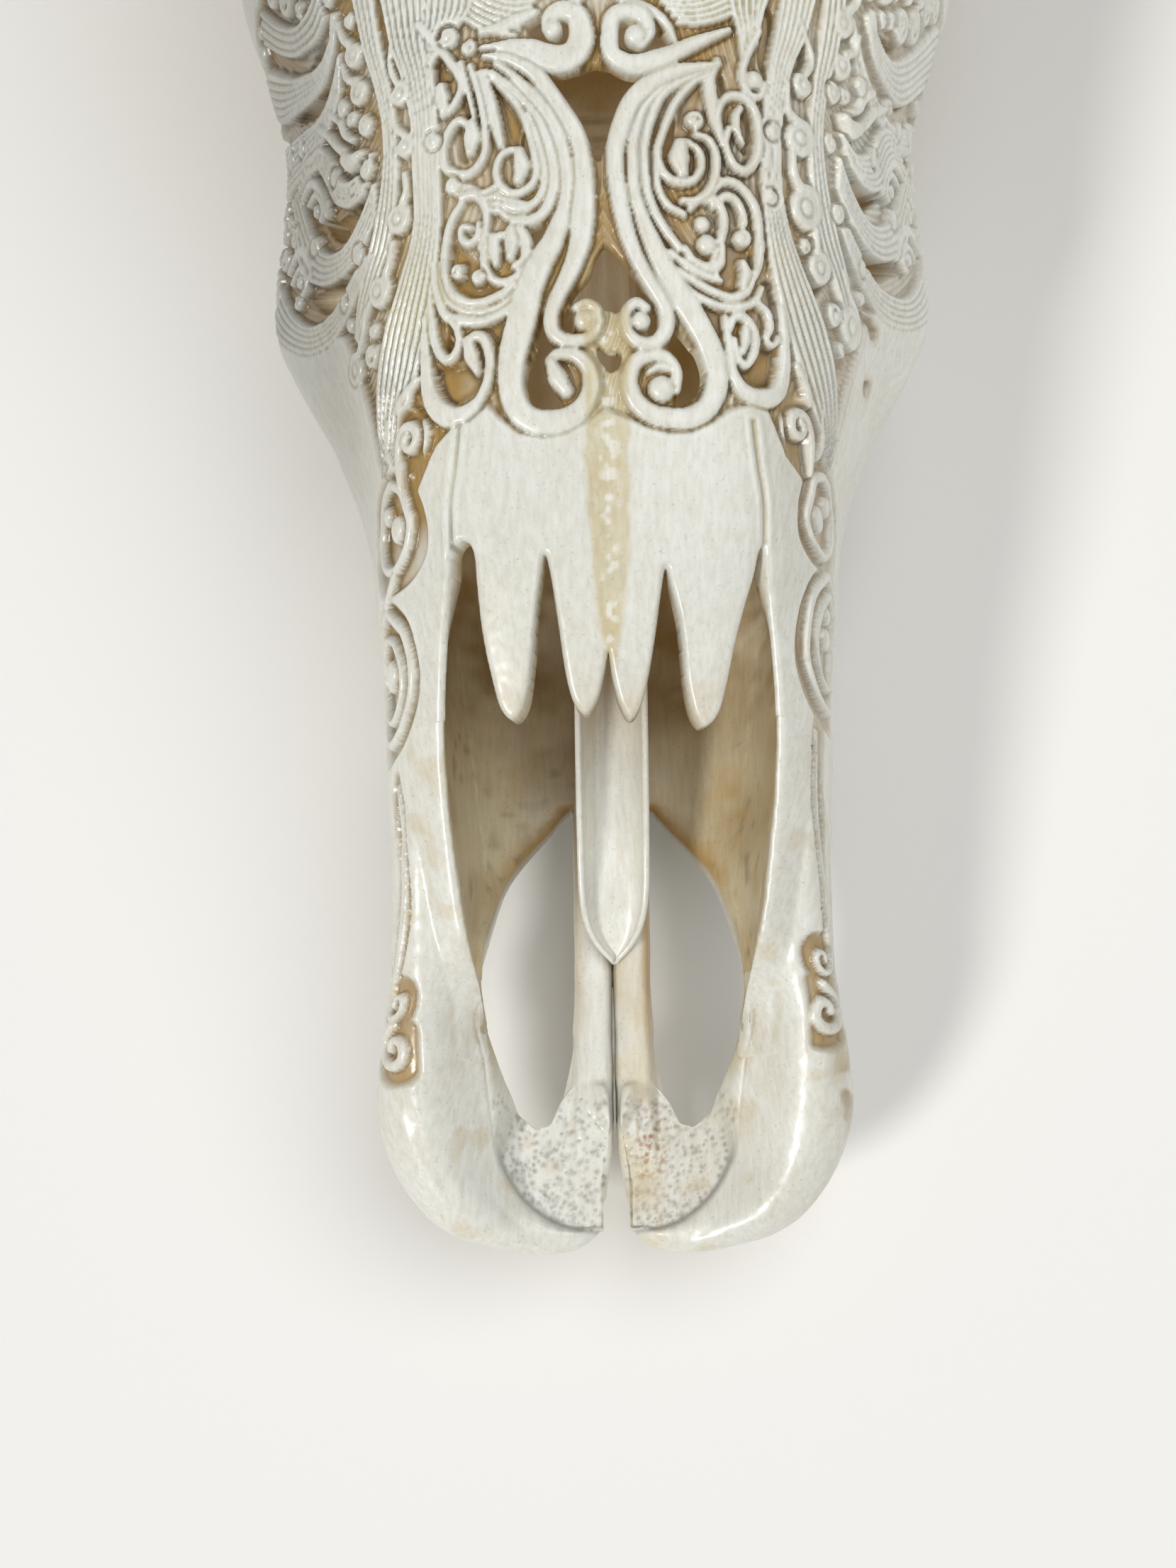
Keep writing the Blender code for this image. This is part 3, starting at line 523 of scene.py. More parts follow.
# %% Pierced holes
HOLES = (
    ((-14, 242.6), (-10.8, 238), (-8.7, 235), (-5.4, 230), (-2.8, 225.6), (-1.2, 221.8), (1.2, 225.6),
     (2.9, 229.5), (5, 233.8), (8, 238), (13.3, 241.4), (7, 240.2), (1.5, 241.6), (-2, 242), (-6, 240.8),
     (-10, 241.4)),
    ((0.6, 204.2), (-1.8, 202), (-3.3, 197.9), (-6.5, 194.6), (-7.6, 192), (-4, 190), (0.8, 190.4),
     (3.4, 190), (10.4, 190.4), (9.8, 193.8), (7.1, 197.5), (4.2, 200.8)),
    ((-11.3, 195), (-13.6, 190.5), (-15, 186), (-16, 181.7), (-17.7, 178.3), (-17.5, 173.3),
     (-15.8, 170.9), (-12.9, 170.3), (-9.2, 170.8), (-10.8, 173), (-12.5, 176), (-13.4, 179),
     (-11.6, 182.5), (-12.9, 186.5)),
    ((15.2, 190), (16, 187), (18.3, 184.2), (20.8, 181.2), (21.7, 178), (21.4, 175), (20.2, 173),
     (18.3, 171.7), (15.4, 170), (15.6, 173), (16.6, 176.5), (15.8, 180.6), (14, 182.6), (14.6, 186)),
    ((-9.5, 188.5), (-8.6, 190.4), (-6.8, 190.9), (-6.9, 186.2), (-8.8, 186.4)),
    ((10.3, 190.6), (12, 189.6), (11.6, 186.6), (10.2, 185.2), (9.4, 188)),
    ((-1.7, 183.4), (0, 182), (3.6, 181.6), (3.2, 178.6), (1.2, 177.6), (-0.8, 179), (-1.9, 181)),
    ((-16.8, 230.6), (-15.2, 227.4), (-15.2, 223.2), (-17.2, 223.6), (-17.8, 227)),
    ((13.4, 222.4), (13.5, 226.6), (14.5, 230.3), (16.2, 234.9), (17.9, 236.8), (16.4, 232),
     (15.8, 225.5)),
    ((-15.4, 252.4), (-16, 249), (-14.6, 246.9), (-9.8, 246.1), (-6.9, 247.6), (-6.9, 251.4), (-9, 252)),
    ((3.4, 250.4), (3.8, 246.6), (8, 244.6), (12.5, 245), (15.5, 246.6), (14.2, 248.9), (11.6, 249.6),
     (7, 251.8)),
    ((-16, 209), (-12, 208.5), (-11.4, 205.4), (-14.5, 203.6), (-16.4, 206)),
    ((9.4, 214.8), (11.4, 212), (17.3, 205), (17, 203.6), (13, 206.6), (9.2, 212)),
    ((26, 240), (27.4, 239), (27.2, 234.4), (26.1, 235.4)),
    ((33, 248.8), (34.7, 248), (34.4, 242.6), (33.2, 242.4)),
    ((-34.6, 244), (-33.2, 243.6), (-33.3, 241), (-34.5, 241)),
    ((-35.6, 189), (-34, 189.4), (-33.2, 184.2), (-35.2, 184)),
    ((-32, 256.4), (-25, 255.6), (-25.2, 254), (-32, 254.2)),
    ((-80.4, 226.4), (-78.5, 222.9), (-76, 220.5), (-72, 218.3), (-68, 217.5), (-63, 218.3),
     (-57.6, 222.4), (-64, 221.6), (-70, 223), (-76, 223.8)),
    ((-88.6, 212.2), (-86, 209.5), (-82, 206.6), (-78, 207.2), (-66.5, 209.5), (-75, 210), (-82, 211.8)),
    ((-98.5, 254), (-92, 251.6), (-84, 249.4), (-78, 247.8), (-71.5, 249.2), (-77, 250.2), (-86, 251.8)),
    ((-81.5, 257.7), (-76, 256.1), (-71, 256.5), (-65.8, 258.4), (-73, 258.6)),
    ((-79.6, 239), (-77.4, 238.2), (-76.6, 236.2), (-79, 237)),
    ((-66.4, 234), (-65.4, 230.8), (-62, 228.6), (-57, 230), (-60, 230.8), (-64, 232)),
    ((63.5, 225.8), (66, 224), (69, 222.7), (73, 223.4), (76.5, 225.5), (80.4, 228.8), (76, 228),
     (70, 228)),
    ((71.6, 214.2), (75.4, 212.2), (80, 211.4), (83.4, 212.3), (86, 214.4), (90.4, 217), (83, 217.4),
     (76, 216)),
    ((86, 251.3), (91, 252), (96, 254.4), (101.5, 258.2), (95, 256), (89, 252.8)),
    ((68, 258.4), (74, 257.7), (80, 259), (84, 260.6), (76, 260.2)),
    ((56.3, 237.4), (58, 234.6), (60.6, 233), (64.8, 235), (61, 236), (58, 238)),
    ((73.2, 202.8), (76, 201), (79, 200), (76.6, 197.6), (74.8, 198.6)),
    ((46.4, 204.6), (50, 201.4), (53, 199), (54.4, 201.8), (51, 203.4)),
    ((75, 188), (78, 189), (77.4, 186), (75.6, 186)),
    ((53.6, 190.6), (58, 190), (57, 186), (54.4, 187)),
    ((45.6, 215.8), (47.2, 215.4), (46.8, 213.4), (45.8, 213.8)),
)
for outline in HOLES:
    pierce(outline)
print(len(HOLES), "holes pierced")

# %% [markdown]
# The bands themselves: flat ribbons that overlap, curl and end at small balls, with combed strips
# like hair beside them. Each could be a curve object with a bevel, joined to the bone afterwards.
# Laid on the map, they need no joining, and their order alone decides which lies on top.

# %% Combed strips and bands, left of the middle line
combed(
    ((-50, 264), (-47.5, 250), (-44, 240), (-43, 230), (-43, 220), (-43.5, 211), (-48, 201), (-55, 190),
     (-58.6, 178), (-59.6, 166), (-60.5, 156)),
    ((-38, 264), (-37.6, 250), (-36.4, 240), (-36, 230), (-35.8, 220), (-36, 211), (-37.4, 200),
     (-40.6, 187), (-45.6, 176), (-50.6, 168), (-57, 158)),
    (0.35, 0.35, 0.3, 0.1),
    (1.0, 0.55),
)
combed(
    ((-44, 268), (-37, 259), (-31, 253.6), (-25, 249.6), (-18, 248)),
    ((-34, 270), (-29, 263), (-23, 259), (-17, 257.4), (-12, 258.6)),
    (0.3, 0.1, -0.2),
    (1.0, 0.7),
)
comb_all((
    (((-27.5, 263), (-28, 255), (-33, 250), (-37, 244)),
     ((-38, 262), (-38.6, 254), (-38.6, 247), (-38.6, 243)), 0.1),
))
lay((
    (((-26, 250), (-22, 250.6), (-18, 252), (-14, 253.6)), (0.8, 1.4, 1.7, 0.9), 0.0),
    (((-26, 241), (-24.5, 236), (-23, 230), (-22, 226)), (1.3, 1.6, 1.5, 1.0), 0.4),
    (((-28.5, 243), (-27, 238), (-25.8, 232), (-25.3, 227), (-26, 223.5), (-28.5, 220.8), (-31.5, 220.5),
      (-34.5, 222.5), (-35, 226), (-33.8, 229.5), (-31.5, 231.8), (-29.6, 231)),
     (0.8, 0.9, 0.9, 0.9, 1.0, 1.1, 1.2, 1.2, 1.1, 1.1, 1.0), 0.3),
    (((-30.6, 244), (-29.4, 239), (-28, 233), (-27.6, 230)), (0.7, 0.8, 0.8, 0.7), 0.1),
    (((-40, 253), (-35, 247), (-31.5, 242), (-30.5, 239), (-31.5, 236.5), (-33, 234.4), (-35, 233.6)),
     (1.1, 1.2, 1.2, 1.1, 1.0, 1.0, 0.9), 0.3),
))
band(((-28.4, 230.6), (-28.4, 228), (-28.8, 225.2)), (1.5, 2.2, 1.4), 0.6, crown=1.4)
band(((-35.2, 239.4), (-35, 236.6), (-34.6, 234.4)), (1.2, 1.9, 1.2), 0.6, crown=1.3)
comb_all((
    (((-23, 218.4), (-26.6, 217), (-29, 218.4), (-32, 219)),
     ((-18, 213), (-23, 211.4), (-26.5, 214), (-33.5, 216.5)), -0.1),
    (((-17.5, 210), (-21, 209.8), (-23.2, 212.4)), ((-15, 213.6), (-18.6, 214.4), (-23.4, 215.8)), 0.1),
))
lay((
    (((-31, 215.5), (-28, 216), (-25.8, 213.5), (-25.3, 210), (-26, 206.5), (-27, 204.6)),
     (1.0, 1.1, 1.1, 1.0, 0.9, 0.7), 0.4),
    (((-31, 214.5), (-33.5, 211), (-35, 206), (-35.4, 200.5), (-34, 196.5), (-31, 194), (-28, 193.2),
      (-24.6, 193.8), (-20.4, 195.6), (-17, 198.6)), (1.0, 1.1, 1.1, 1.1, 1.1, 1.1, 1.1, 1.1, 1.1, 1.2),
     0.3),
    (((-38, 203), (-37.4, 197), (-35.4, 191.8), (-31, 189.9), (-26.7, 189.4), (-22.5, 190.6),
      (-19, 193.2), (-16.4, 197)), (0.8, 1.0, 1.2, 1.3, 1.3, 1.2, 1.1, 1.1), 0.2),
    (((-36.4, 203), (-36.4, 199), (-34.6, 194.4), (-30.6, 191.9), (-26, 191.4), (-22, 192.6),
      (-18.4, 195.8)), (0.6, 0.7, 0.8, 0.9, 0.9, 0.8, 0.8), -0.2),
    (((-27.2, 210), (-27.5, 207), (-29.5, 205.8), (-31.2, 207.3), (-30.8, 209.4), (-29, 209)),
     (0.6, 0.9, 1.0, 1.0, 0.9, 0.8), 0.5),
    (((-16.8, 200.4), (-19.2, 198), (-22, 197), (-24.6, 198.2), (-26, 201), (-25.8, 204.2),
      (-24.2, 206.2), (-21.6, 207)), (0.9, 1.0, 1.0, 1.0, 1.1, 1.2, 1.2, 1.0), 0.5),
    (((-18.6, 209), (-16.8, 205), (-17.2, 201.6), (-19.4, 200.2)), (1.1, 1.5, 1.3, 0.9), 0.5),
))
band(((-23.9, 206.4), (-23.8, 203.6), (-23.4, 201.2)), (1.4, 1.7, 1.0), 0.5, crown=1.3)
band(((-20.2, 208), (-19.9, 205), (-20.2, 202.4)), (1.2, 1.9, 1.2), 0.7, crown=1.4)
lay((
    (((-25, 241.6), (-21.5, 237.9), (-18.2, 233.8), (-15.9, 228.5), (-14.7, 223), (-14.3, 219.8),
      (-15.4, 217.2), (-17.6, 215.8), (-20.2, 215.8), (-22.2, 217.4), (-23.1, 220.2), (-22.3, 223.2),
      (-20.3, 224.6), (-18, 224.6)), (0.7, 0.9, 0.9, 0.9, 0.9, 0.9, 1.0, 1.0, 1.0, 1.0, 1.0, 0.9, 0.9),
     0.3),
    (((-16, 232), (-14.2, 227), (-12.9, 222), (-12.6, 218), (-13.6, 214.8), (-15.6, 212.9),
      (-18.4, 212.3), (-21, 213.2)), (0.8, 0.9, 0.9, 0.9, 1.0, 1.1, 1.1, 0.9), 0.3),
    (((-23.8, 241.2), (-18.6, 236.8), (-14.3, 232), (-12, 227), (-10.8, 222), (-10.5, 217.6),
      (-11.4, 213.6), (-13.4, 210.8), (-16.4, 209.6), (-19.6, 209.8)),
     (0.9, 1.1, 1.1, 1.2, 1.3, 1.3, 1.4, 1.4, 1.3, 1.0), 0.4),
))
band(((-18, 224.2), (-17.5, 221), (-18.2, 218.4)), (1.3, 2.1, 1.4), 0.9, crown=1.6)
lay((
    (((-10, 210.5), (-12.4, 205.4), (-15.4, 201.4), (-19, 198)), (1.0, 1.1, 1.1, 1.0), 0.3),
    (((-23, 243), (-20, 241), (-15.5, 236.5), (-11.6, 232), (-9.3, 227), (-8, 222), (-7.5, 217.5),
      (-7.9, 213.5), (-9.2, 209), (-11, 205), (-13.6, 201), (-16, 196), (-17.6, 190.5), (-19.2, 185.5),
      (-20.4, 180), (-20.5, 174.5), (-18.8, 170), (-15.6, 167.7), (-12, 167.3), (-8.6, 167.9),
      (-5.4, 169.8), (-3.3, 173.4), (-3.5, 178), (-6.2, 181), (-10, 181.6), (-12, 180.2)),
     (0.7, 1.1, 1.5, 1.7, 1.7, 1.6, 1.6, 1.7, 1.9, 2.2, 2.7, 3.0, 3.1, 3.3, 3.4, 3.2, 2.9, 2.8, 2.8, 2.8,
      2.6, 2.3, 2.1, 1.8, 1.5, 1.2), 0.6),
))
band(((-11.8, 179.8), (-10.4, 176.6), (-8.6, 173.8)), (1.3, 2.2, 1.7), 1.1, crown=1.7)
lay((
    (((-25.5, 244.8), (-20, 243.9), (-15, 241.2), (-11.2, 236.4), (-8, 231.6), (-5.6, 227.4), (-4.4, 223),
      (-4.1, 218.5), (-4.2, 214), (-4.6, 209.6), (-5, 205), (-6.4, 200.6), (-8.4, 196.6), (-10.4, 193),
      (-11.6, 189.4), (-11.3, 186.4), (-9.4, 184.6), (-6.4, 184.1), (-3.2, 184.8), (-1.4, 187.2),
      (-1.6, 190.2), (-3.8, 191.8), (-6, 191)),
     (0.6, 1.2, 1.7, 1.9, 1.9, 1.9, 2.0, 2.0, 2.0, 2.3, 2.7, 2.9, 2.6, 2.3, 2.1, 1.9, 1.7, 1.7, 1.6, 1.4,
      1.3, 1.2, 1.1), 0.7),
))
ball((-4.3, 188.4), 2.4, 1.1, 1.6)
print("left bands carved")

# %% Top volutes and the small loops beside the nasal bones, left
lay((
    (((-26, 246.6), (-20, 246.4), (-15, 245.3), (-11.5, 243.8), (-8.5, 243.3), (-5.8, 244.3), (-4.2, 247),
      (-4.3, 250.3), (-5.5, 252.8), (-8.3, 253.6), (-10.6, 252.3), (-11, 250)),
     (0.6, 1.1, 1.9, 2.5, 2.9, 3.0, 3.0, 2.9, 2.6, 2.2, 2.1, 1.8), 0.9),
))
ball((-10.4, 249.6), 2.1, 1.3, 1.3)
lay((
    (((-40.4, 192), (-40.7, 185), (-40.3, 178), (-38.5, 173.3), (-35, 170.5), (-31.5, 170.5),
      (-28, 172.7), (-25.7, 177), (-25.2, 182), (-26.4, 185.6), (-28.6, 186.4), (-30.2, 185)),
     (0.9, 1.2, 1.5, 1.9, 2.4, 2.5, 2.0, 1.3, 1.2, 1.3, 1.3, 1.2), 0.4),
    (((-39, 196), (-38.8, 190), (-37.6, 185), (-35.6, 182.6), (-33.6, 182.8), (-32.2, 185.2),
      (-32.6, 188.4), (-34, 190.4)), (0.8, 0.9, 1.1, 1.2, 1.2, 1.1, 1.0, 0.9), 0.3),
))
band(((-30, 185.6), (-29.3, 182.4), (-28, 179)), (1.3, 1.9, 1.1), 0.8, crown=1.4)
print("left volutes carved")

# %% Combed strips and bands, right of the middle line
combed(
    ((50, 264), (47, 252), (42.6, 242), (40.6, 232), (40.4, 222), (42, 212), (47, 202), (54.6, 192),
     (60, 182), (62.4, 172), (62.6, 160)),
    ((41, 264), (39, 252), (36.8, 242), (35.6, 232), (35.2, 222), (35.8, 212), (37.8, 200), (41.2, 189),
     (46.6, 179), (52, 171), (58.6, 162)),
    (0.35, 0.35, 0.3, 0.1),
    (1.0, 0.55),
)
combed(
    ((44, 268), (37, 259), (30, 253.4), (23, 250.6), (16.6, 250.4)),
    ((34, 270), (28, 263), (21, 259.4), (15, 258.6), (9, 261)),
    (0.3, 0.1, -0.2),
    (1.0, 0.7),
)
comb_all((
    (((27, 263), (28, 256), (30, 249), (30.8, 243)), ((40, 263), (37, 256), (35.6, 251), (34.8, 247)),
     0.1),
))
lay((
    (((6, 255.6), (9, 254.6), (12, 253), (14.6, 250.4), (16.2, 247)), (0.8, 1.1, 1.2, 1.1, 0.8), 0.1),
    (((25.4, 243), (23.6, 239), (24.6, 232), (26.4, 225.6)), (1.1, 1.7, 1.6, 0.9), 0.3),
    (((35, 250), (32.2, 245), (31, 241), (31.4, 238), (33, 236.2), (35.2, 236.6), (36, 239)),
     (0.9, 1.1, 1.1, 1.1, 1.0, 0.9, 0.8), 0.3),
    (((25, 231), (27, 235.2), (30.4, 236), (33.4, 233.9), (34.7, 229.5), (34.3, 223.9), (31.7, 220.6),
      (28.8, 221.6), (27, 225.6), (27.8, 229)), (0.7, 1.0, 1.2, 1.2, 1.2, 1.2, 1.2, 1.1, 1.0, 0.9), 0.3),
    (((30.4, 233.4), (29.4, 231.4), (29.8, 228.4), (31, 226)), (0.9, 1.2, 1.0, 0.6), 0.4),
))
ball((33.6, 239.6), 2.1, 0.8, 1.3)
lay((
    (((22.5, 213.6), (26, 217.6), (30, 217.2), (33.5, 213.4), (34.6, 208), (34.6, 202), (32.8, 197.4)),
     (0.9, 1.1, 1.2, 1.3, 1.3, 1.2, 0.9), 0.3),
    (((24, 212.6), (27, 214.8), (29.6, 213.6), (31, 209.6), (29, 205.8)), (0.9, 1.1, 1.1, 1.0, 0.8), 0.3),
    (((19, 211.8), (22, 214.4), (25.4, 212.8), (26.4, 209), (25.2, 204), (23.8, 199.4), (25.4, 197)),
     (0.8, 1.1, 1.2, 1.2, 1.1, 1.0, 0.7), 0.4),
    (((17.8, 203.4), (19.6, 200.6), (22.8, 199.4), (25.4, 200.6), (26, 204)), (0.9, 1.3, 1.4, 1.3, 1.0),
     0.3),
    (((14.4, 202.6), (18.8, 199.4), (22.5, 197.6), (25.6, 197)), (0.9, 0.9, 0.9, 0.7), 0.2),
    (((14.6, 199.6), (18.4, 197.4), (21.7, 195.6), (25, 194.2), (28.3, 193.6), (31.4, 195.2), (33, 198)),
     (0.8, 1.0, 1.0, 1.0, 1.1, 1.2, 0.9), 0.2),
    (((16, 196.8), (20, 193.8), (23.3, 192.2), (26.7, 191.5), (30.4, 191.9), (33.6, 193.6),
      (35.2, 196.4)), (0.8, 0.9, 1.0, 1.0, 1.1, 1.0, 0.7), 0.2),
    (((34.2, 193), (36.4, 191.4), (37, 188.3), (36, 186), (37.6, 184.8), (39.4, 186.6)),
     (0.9, 1.1, 1.1, 0.9, 0.8, 0.8), 0.3),
))
ball((22.6, 204.4), 2.2, 0.5, 1.2)
ball((21.6, 208.6), 1.8, 0.4, 1.0)
band(((30.6, 201.2), (31.4, 199), (30.6, 196.6)), (1.0, 1.5, 1.2), 0.4, crown=1.2)
lay((
    (((12.5, 226), (11.8, 221), (12, 216.4), (14, 212.6), (17.6, 210.6)), (0.9, 0.9, 1.0, 1.0, 0.9), 0.2),
    (((24, 240.6), (20, 238.2), (16.4, 234.4), (13.8, 229), (12, 223.4), (13.2, 219.4), (16, 217.4),
      (19.6, 217.8), (21.6, 220.6), (21, 224), (18.4, 226)),
     (0.6, 0.9, 1.1, 1.1, 1.0, 1.1, 1.1, 1.1, 1.0, 1.0, 0.8), 0.4),
    (((20.6, 227.4), (23.4, 226.4), (25, 222.4), (24, 217), (21, 213.8), (17.4, 213.4)),
     (0.8, 1.0, 1.1, 1.2, 1.1, 0.9), 0.3),
))
band(((17.2, 225.4), (16.8, 222.3), (17.4, 219.6)), (1.6, 2.5, 1.6), 0.8, crown=1.5)
lay((
    (((25.5, 241.6), (19, 239.6), (13.4, 236), (10.8, 231), (9.4, 226), (9.2, 221), (9.6, 216),
      (11, 211.6), (13.4, 207.4), (16.6, 203.4)), (0.6, 1.1, 1.4, 1.4, 1.3, 1.2, 1.2, 1.2, 1.2, 1.0),
     0.3),
    (((22, 241.6), (15, 239.4), (10, 235), (7.8, 230), (6.8, 225), (6.7, 220), (7, 215), (8.2, 210.6),
      (9.8, 206.4), (12, 201.6), (15, 196), (18.7, 190.4), (21.9, 185), (23.9, 180), (24.3, 175),
      (22.2, 170.5), (18.3, 168.1), (14, 167.9), (10, 168.7), (6.6, 171.3), (5.2, 175.5), (6.5, 179.4),
      (10, 181.1), (13.4, 180.4), (15.4, 177.6), (15.2, 174)),
     (0.9, 1.5, 1.7, 1.6, 1.4, 1.3, 1.4, 1.5, 1.7, 2.1, 2.4, 2.6, 2.9, 2.8, 2.8, 2.6, 2.5, 2.4, 2.4, 2.3,
      2.1, 2.0, 1.8, 1.6, 1.4, 1.2), 0.6),
))
ball((12.2, 174), 2.9, 0.9, 1.8)
band(((13.6, 178.2), (11.6, 178.6), (9.4, 177.4)), (0.8, 1.0, 0.6), 0.5)
lay((
    (((26, 242.4), (18, 241), (12, 238.8), (7, 234.4), (4.6, 229.6), (3.1, 224.6), (2.9, 220),
      (3.4, 215.6), (4.2, 211), (5.2, 206.6), (7, 201.6), (9.4, 197.2), (11.7, 193.6), (13.4, 190),
      (13.3, 186.4), (11, 183.7), (7.4, 183.6), (4.9, 186), (4.7, 189.8), (6.8, 191.9), (9, 190.8)),
     (0.6, 1.1, 1.7, 2.1, 2.2, 2.2, 2.2, 2.1, 2.0, 2.0, 2.0, 1.9, 1.8, 1.7, 1.7, 1.7, 1.7, 1.6, 1.4, 1.3,
      1.1), 0.7),
))
ball((7.9, 188.1), 2.1, 1.1, 1.5)
print("right bands carved")

# %% Top volutes and the small loops beside the nasal bones, right
lay((
    (((28, 249.6), (20, 246.3), (15, 243.9), (10, 242.2), (6, 242), (2.5, 244), (2, 248), (2.9, 251.8),
      (6, 253.2), (9.3, 252), (10.2, 249), (8.7, 247)),
     (0.8, 1.3, 1.8, 2.0, 2.4, 2.3, 2.1, 2.0, 1.9, 1.9, 1.9, 1.9), 0.9),
))
ball((7.7, 247.9), 2.4, 1.3, 1.4)
lay((
    (((26.3, 189.4), (27.3, 183), (28.1, 177.6), (31, 174), (35.5, 173.4), (39, 175.2), (40.8, 180),
      (41, 186), (40, 193)), (0.8, 1.1, 1.3, 1.9, 2.2, 1.9, 1.6, 1.3, 1.0), 0.4),
    (((27.4, 187), (28.6, 189.6), (31.2, 189.4), (33.2, 186.4), (33, 182.6), (31, 179.8), (29, 181.4),
      (28.4, 185)), (0.8, 1.1, 1.2, 1.2, 1.2, 1.1, 0.9, 0.7), 0.5),
))
band(((31, 187.4), (30.9, 184.8), (30.2, 182.4)), (0.9, 1.3, 0.9), 0.6, crown=1.1)
print("right volutes carved")

# %% [markdown]
# Each cheek has three great commas. Combed arcs sweep out from the stems beside the nose, turn up
# over the cheek, and leave a long hole open under two small volutes. The arcs could be projected
# on to the cheek from above, which would stretch them where the bone turns down. The map measures
# over the curve of the bone, so they keep their width.

# %% Left cheek
def curl(centre, radius, start, turns, half=1.0, level=0.4, tail=()):
    """A small volute: a band that winds in round a ball."""
    path = [*tail, *spiral(centre, radius - half * 0.9, start, turns, close=0.45)]
    band(path, (half * 0.8, half * 1.15, half * 1.25, half * 1.2, half), level)
    ball(centre, radius * 0.38, level + 0.3, 1.1)


comb_all((
    (((-57.6, 264), (-55.4, 252), (-52, 241), (-50.8, 232), (-52.6, 222), (-57, 212), (-61, 206),
      (-64.5, 200), (-68, 194)),
     ((-51.4, 264), (-50.2, 252), (-47.6, 241), (-46.6, 232), (-47.2, 222), (-49.4, 212), (-53.5, 205.5),
      (-59, 198.6), (-66.6, 192.4)), 0.2),
    (((-121, 265), (-108, 258.4), (-97, 254.8), (-86, 252), (-77, 250.4), (-70, 251.2), (-64.5, 256),
      (-62, 264)),
     ((-106, 268), (-94, 262), (-86, 258.6), (-80, 256.9), (-75, 255.6), (-70, 256), (-66.4, 258.6),
      (-64.4, 264)), 0.3),
    (((-104, 272), (-94, 266), (-86, 262), (-80, 260.4), (-72, 259.4), (-66, 262)),
     ((-100, 278), (-92, 272), (-84, 267.6), (-78, 266), (-72, 267), (-68, 270)), 0.2),
    (((-116, 244), (-104, 241.6), (-96, 240.2), (-88, 239.4), (-80, 239.6), (-73, 241), (-68, 243.6),
      (-64, 248)),
     ((-121, 258), (-107, 253.2), (-96, 250.2), (-86, 248), (-78, 246.6), (-71, 247.6), (-66, 251),
      (-62, 256)), 0.1),
    (((-98, 236), (-90, 238.4), (-82, 238), (-77.6, 235), (-74, 230.6), (-70, 225.4), (-64, 222.6),
      (-57, 223)),
     ((-84, 241), (-76.6, 239.8), (-72, 237), (-69.4, 232.6), (-66.6, 229.4), (-62, 227.4),
      (-56.8, 228.6), (-54, 232)), 0.4),
    (((-98, 230), (-93.6, 223.4), (-88, 217), (-82, 212.6), (-75, 210.5), (-66, 210.2), (-58.6, 213),
      (-53, 219)),
     ((-93, 238), (-88, 230.6), (-83, 223), (-77, 218.2), (-70, 216), (-63.6, 216.8), (-58, 220.4),
      (-53.4, 226)), 0.3),
    (((-118, 220), (-107, 210.6), (-98, 204.4), (-90, 200.6), (-80, 199), (-70, 200.8), (-61, 205),
      (-54, 211.6)),
     ((-106, 226), (-99, 216.4), (-93, 210), (-87.8, 206.4), (-82, 205), (-74, 205.6), (-66, 208),
      (-58, 211.8)), 0.3),
))
lay((
    (((-90, 234.6), (-84.6, 235.6), (-79.6, 233), (-76.2, 229), (-75.2, 225)), (0.8, 1.3, 1.4, 1.4, 0.8),
     0.5),
    (((-86, 231.4), (-81.6, 232), (-78, 229.6), (-77, 226.6), (-79, 225.6)), (0.6, 0.9, 1.0, 1.0, 0.7),
     0.5),
    (((-97, 221), (-92.4, 223.6), (-88, 222.2), (-85.2, 218.6), (-84.6, 214.8)),
     (0.8, 1.3, 1.4, 1.4, 0.8), 0.5),
    (((-95, 217.6), (-91, 219.6), (-87.6, 217.6), (-87.2, 214.4), (-89.4, 213.4)),
     (0.6, 0.9, 1.1, 1.0, 0.7), 0.5),
    (((-76, 243.4), (-71, 240), (-67.4, 236.6), (-64.6, 234.2), (-63.4, 231.6)),
     (0.8, 1.1, 1.2, 1.2, 1.2), 0.6),
    (((-70, 244), (-65.4, 241), (-63.6, 237.6), (-61, 235.4)), (0.9, 1.2, 1.2, 0.8), 0.4),
))
ball((-81, 228.4), 1.7, 0.5, 1.0)
ball((-90.4, 216.6), 1.7, 0.5, 1.0)
band(((-64.2, 232.6), (-61.6, 231), (-58.6, 231.4)), (1.7, 2.2, 1.4), 0.9, crown=1.5)
curl((-45.4, 240), 3.0, 100, -1.15, 0.8, 0.3, tail=((-47, 251), (-47.6, 246)))
curl((-44.6, 229), 2.8, 80, -1.1, 0.8, 0.3, tail=((-47.8, 236), (-46.6, 233)))
curl((-47.4, 215), 3.7, 60, -1.25, 1.0, 0.4, tail=((-45, 223.4), (-44.6, 220)))
curl((-54.6, 202), 4.0, 40, -1.2, 1.1, 0.4, tail=((-49.4, 210.4), (-50.6, 206.8)))
curl((-58, 252), 3.1, 120, 1.2, 0.9, 0.4, tail=((-63, 260), (-61.4, 256)))
curl((-57.4, 244.2), 3.2, 110, 1.1, 0.9, 0.3, tail=((-62.6, 251.4), (-61.4, 248)))
curl((-67, 189.6), 4.2, 60, 1.2, 1.0, 0.1, tail=((-60, 200), (-62, 196)))
curl((-44.6, 168.6), 5.4, 110, 1.15, 1.4, 0.3, tail=((-43.4, 180), (-49, 176)))
curl((-53, 162.6), 3.6, 100, 1.1, 1.0, 0.2, tail=((-54, 174), (-55.6, 168.4)))
curl((-51.6, 155.2), 3.2, 60, -1.1, 0.9, -0.2, tail=((-48, 161), (-48.6, 158)))
print("left cheek carved")

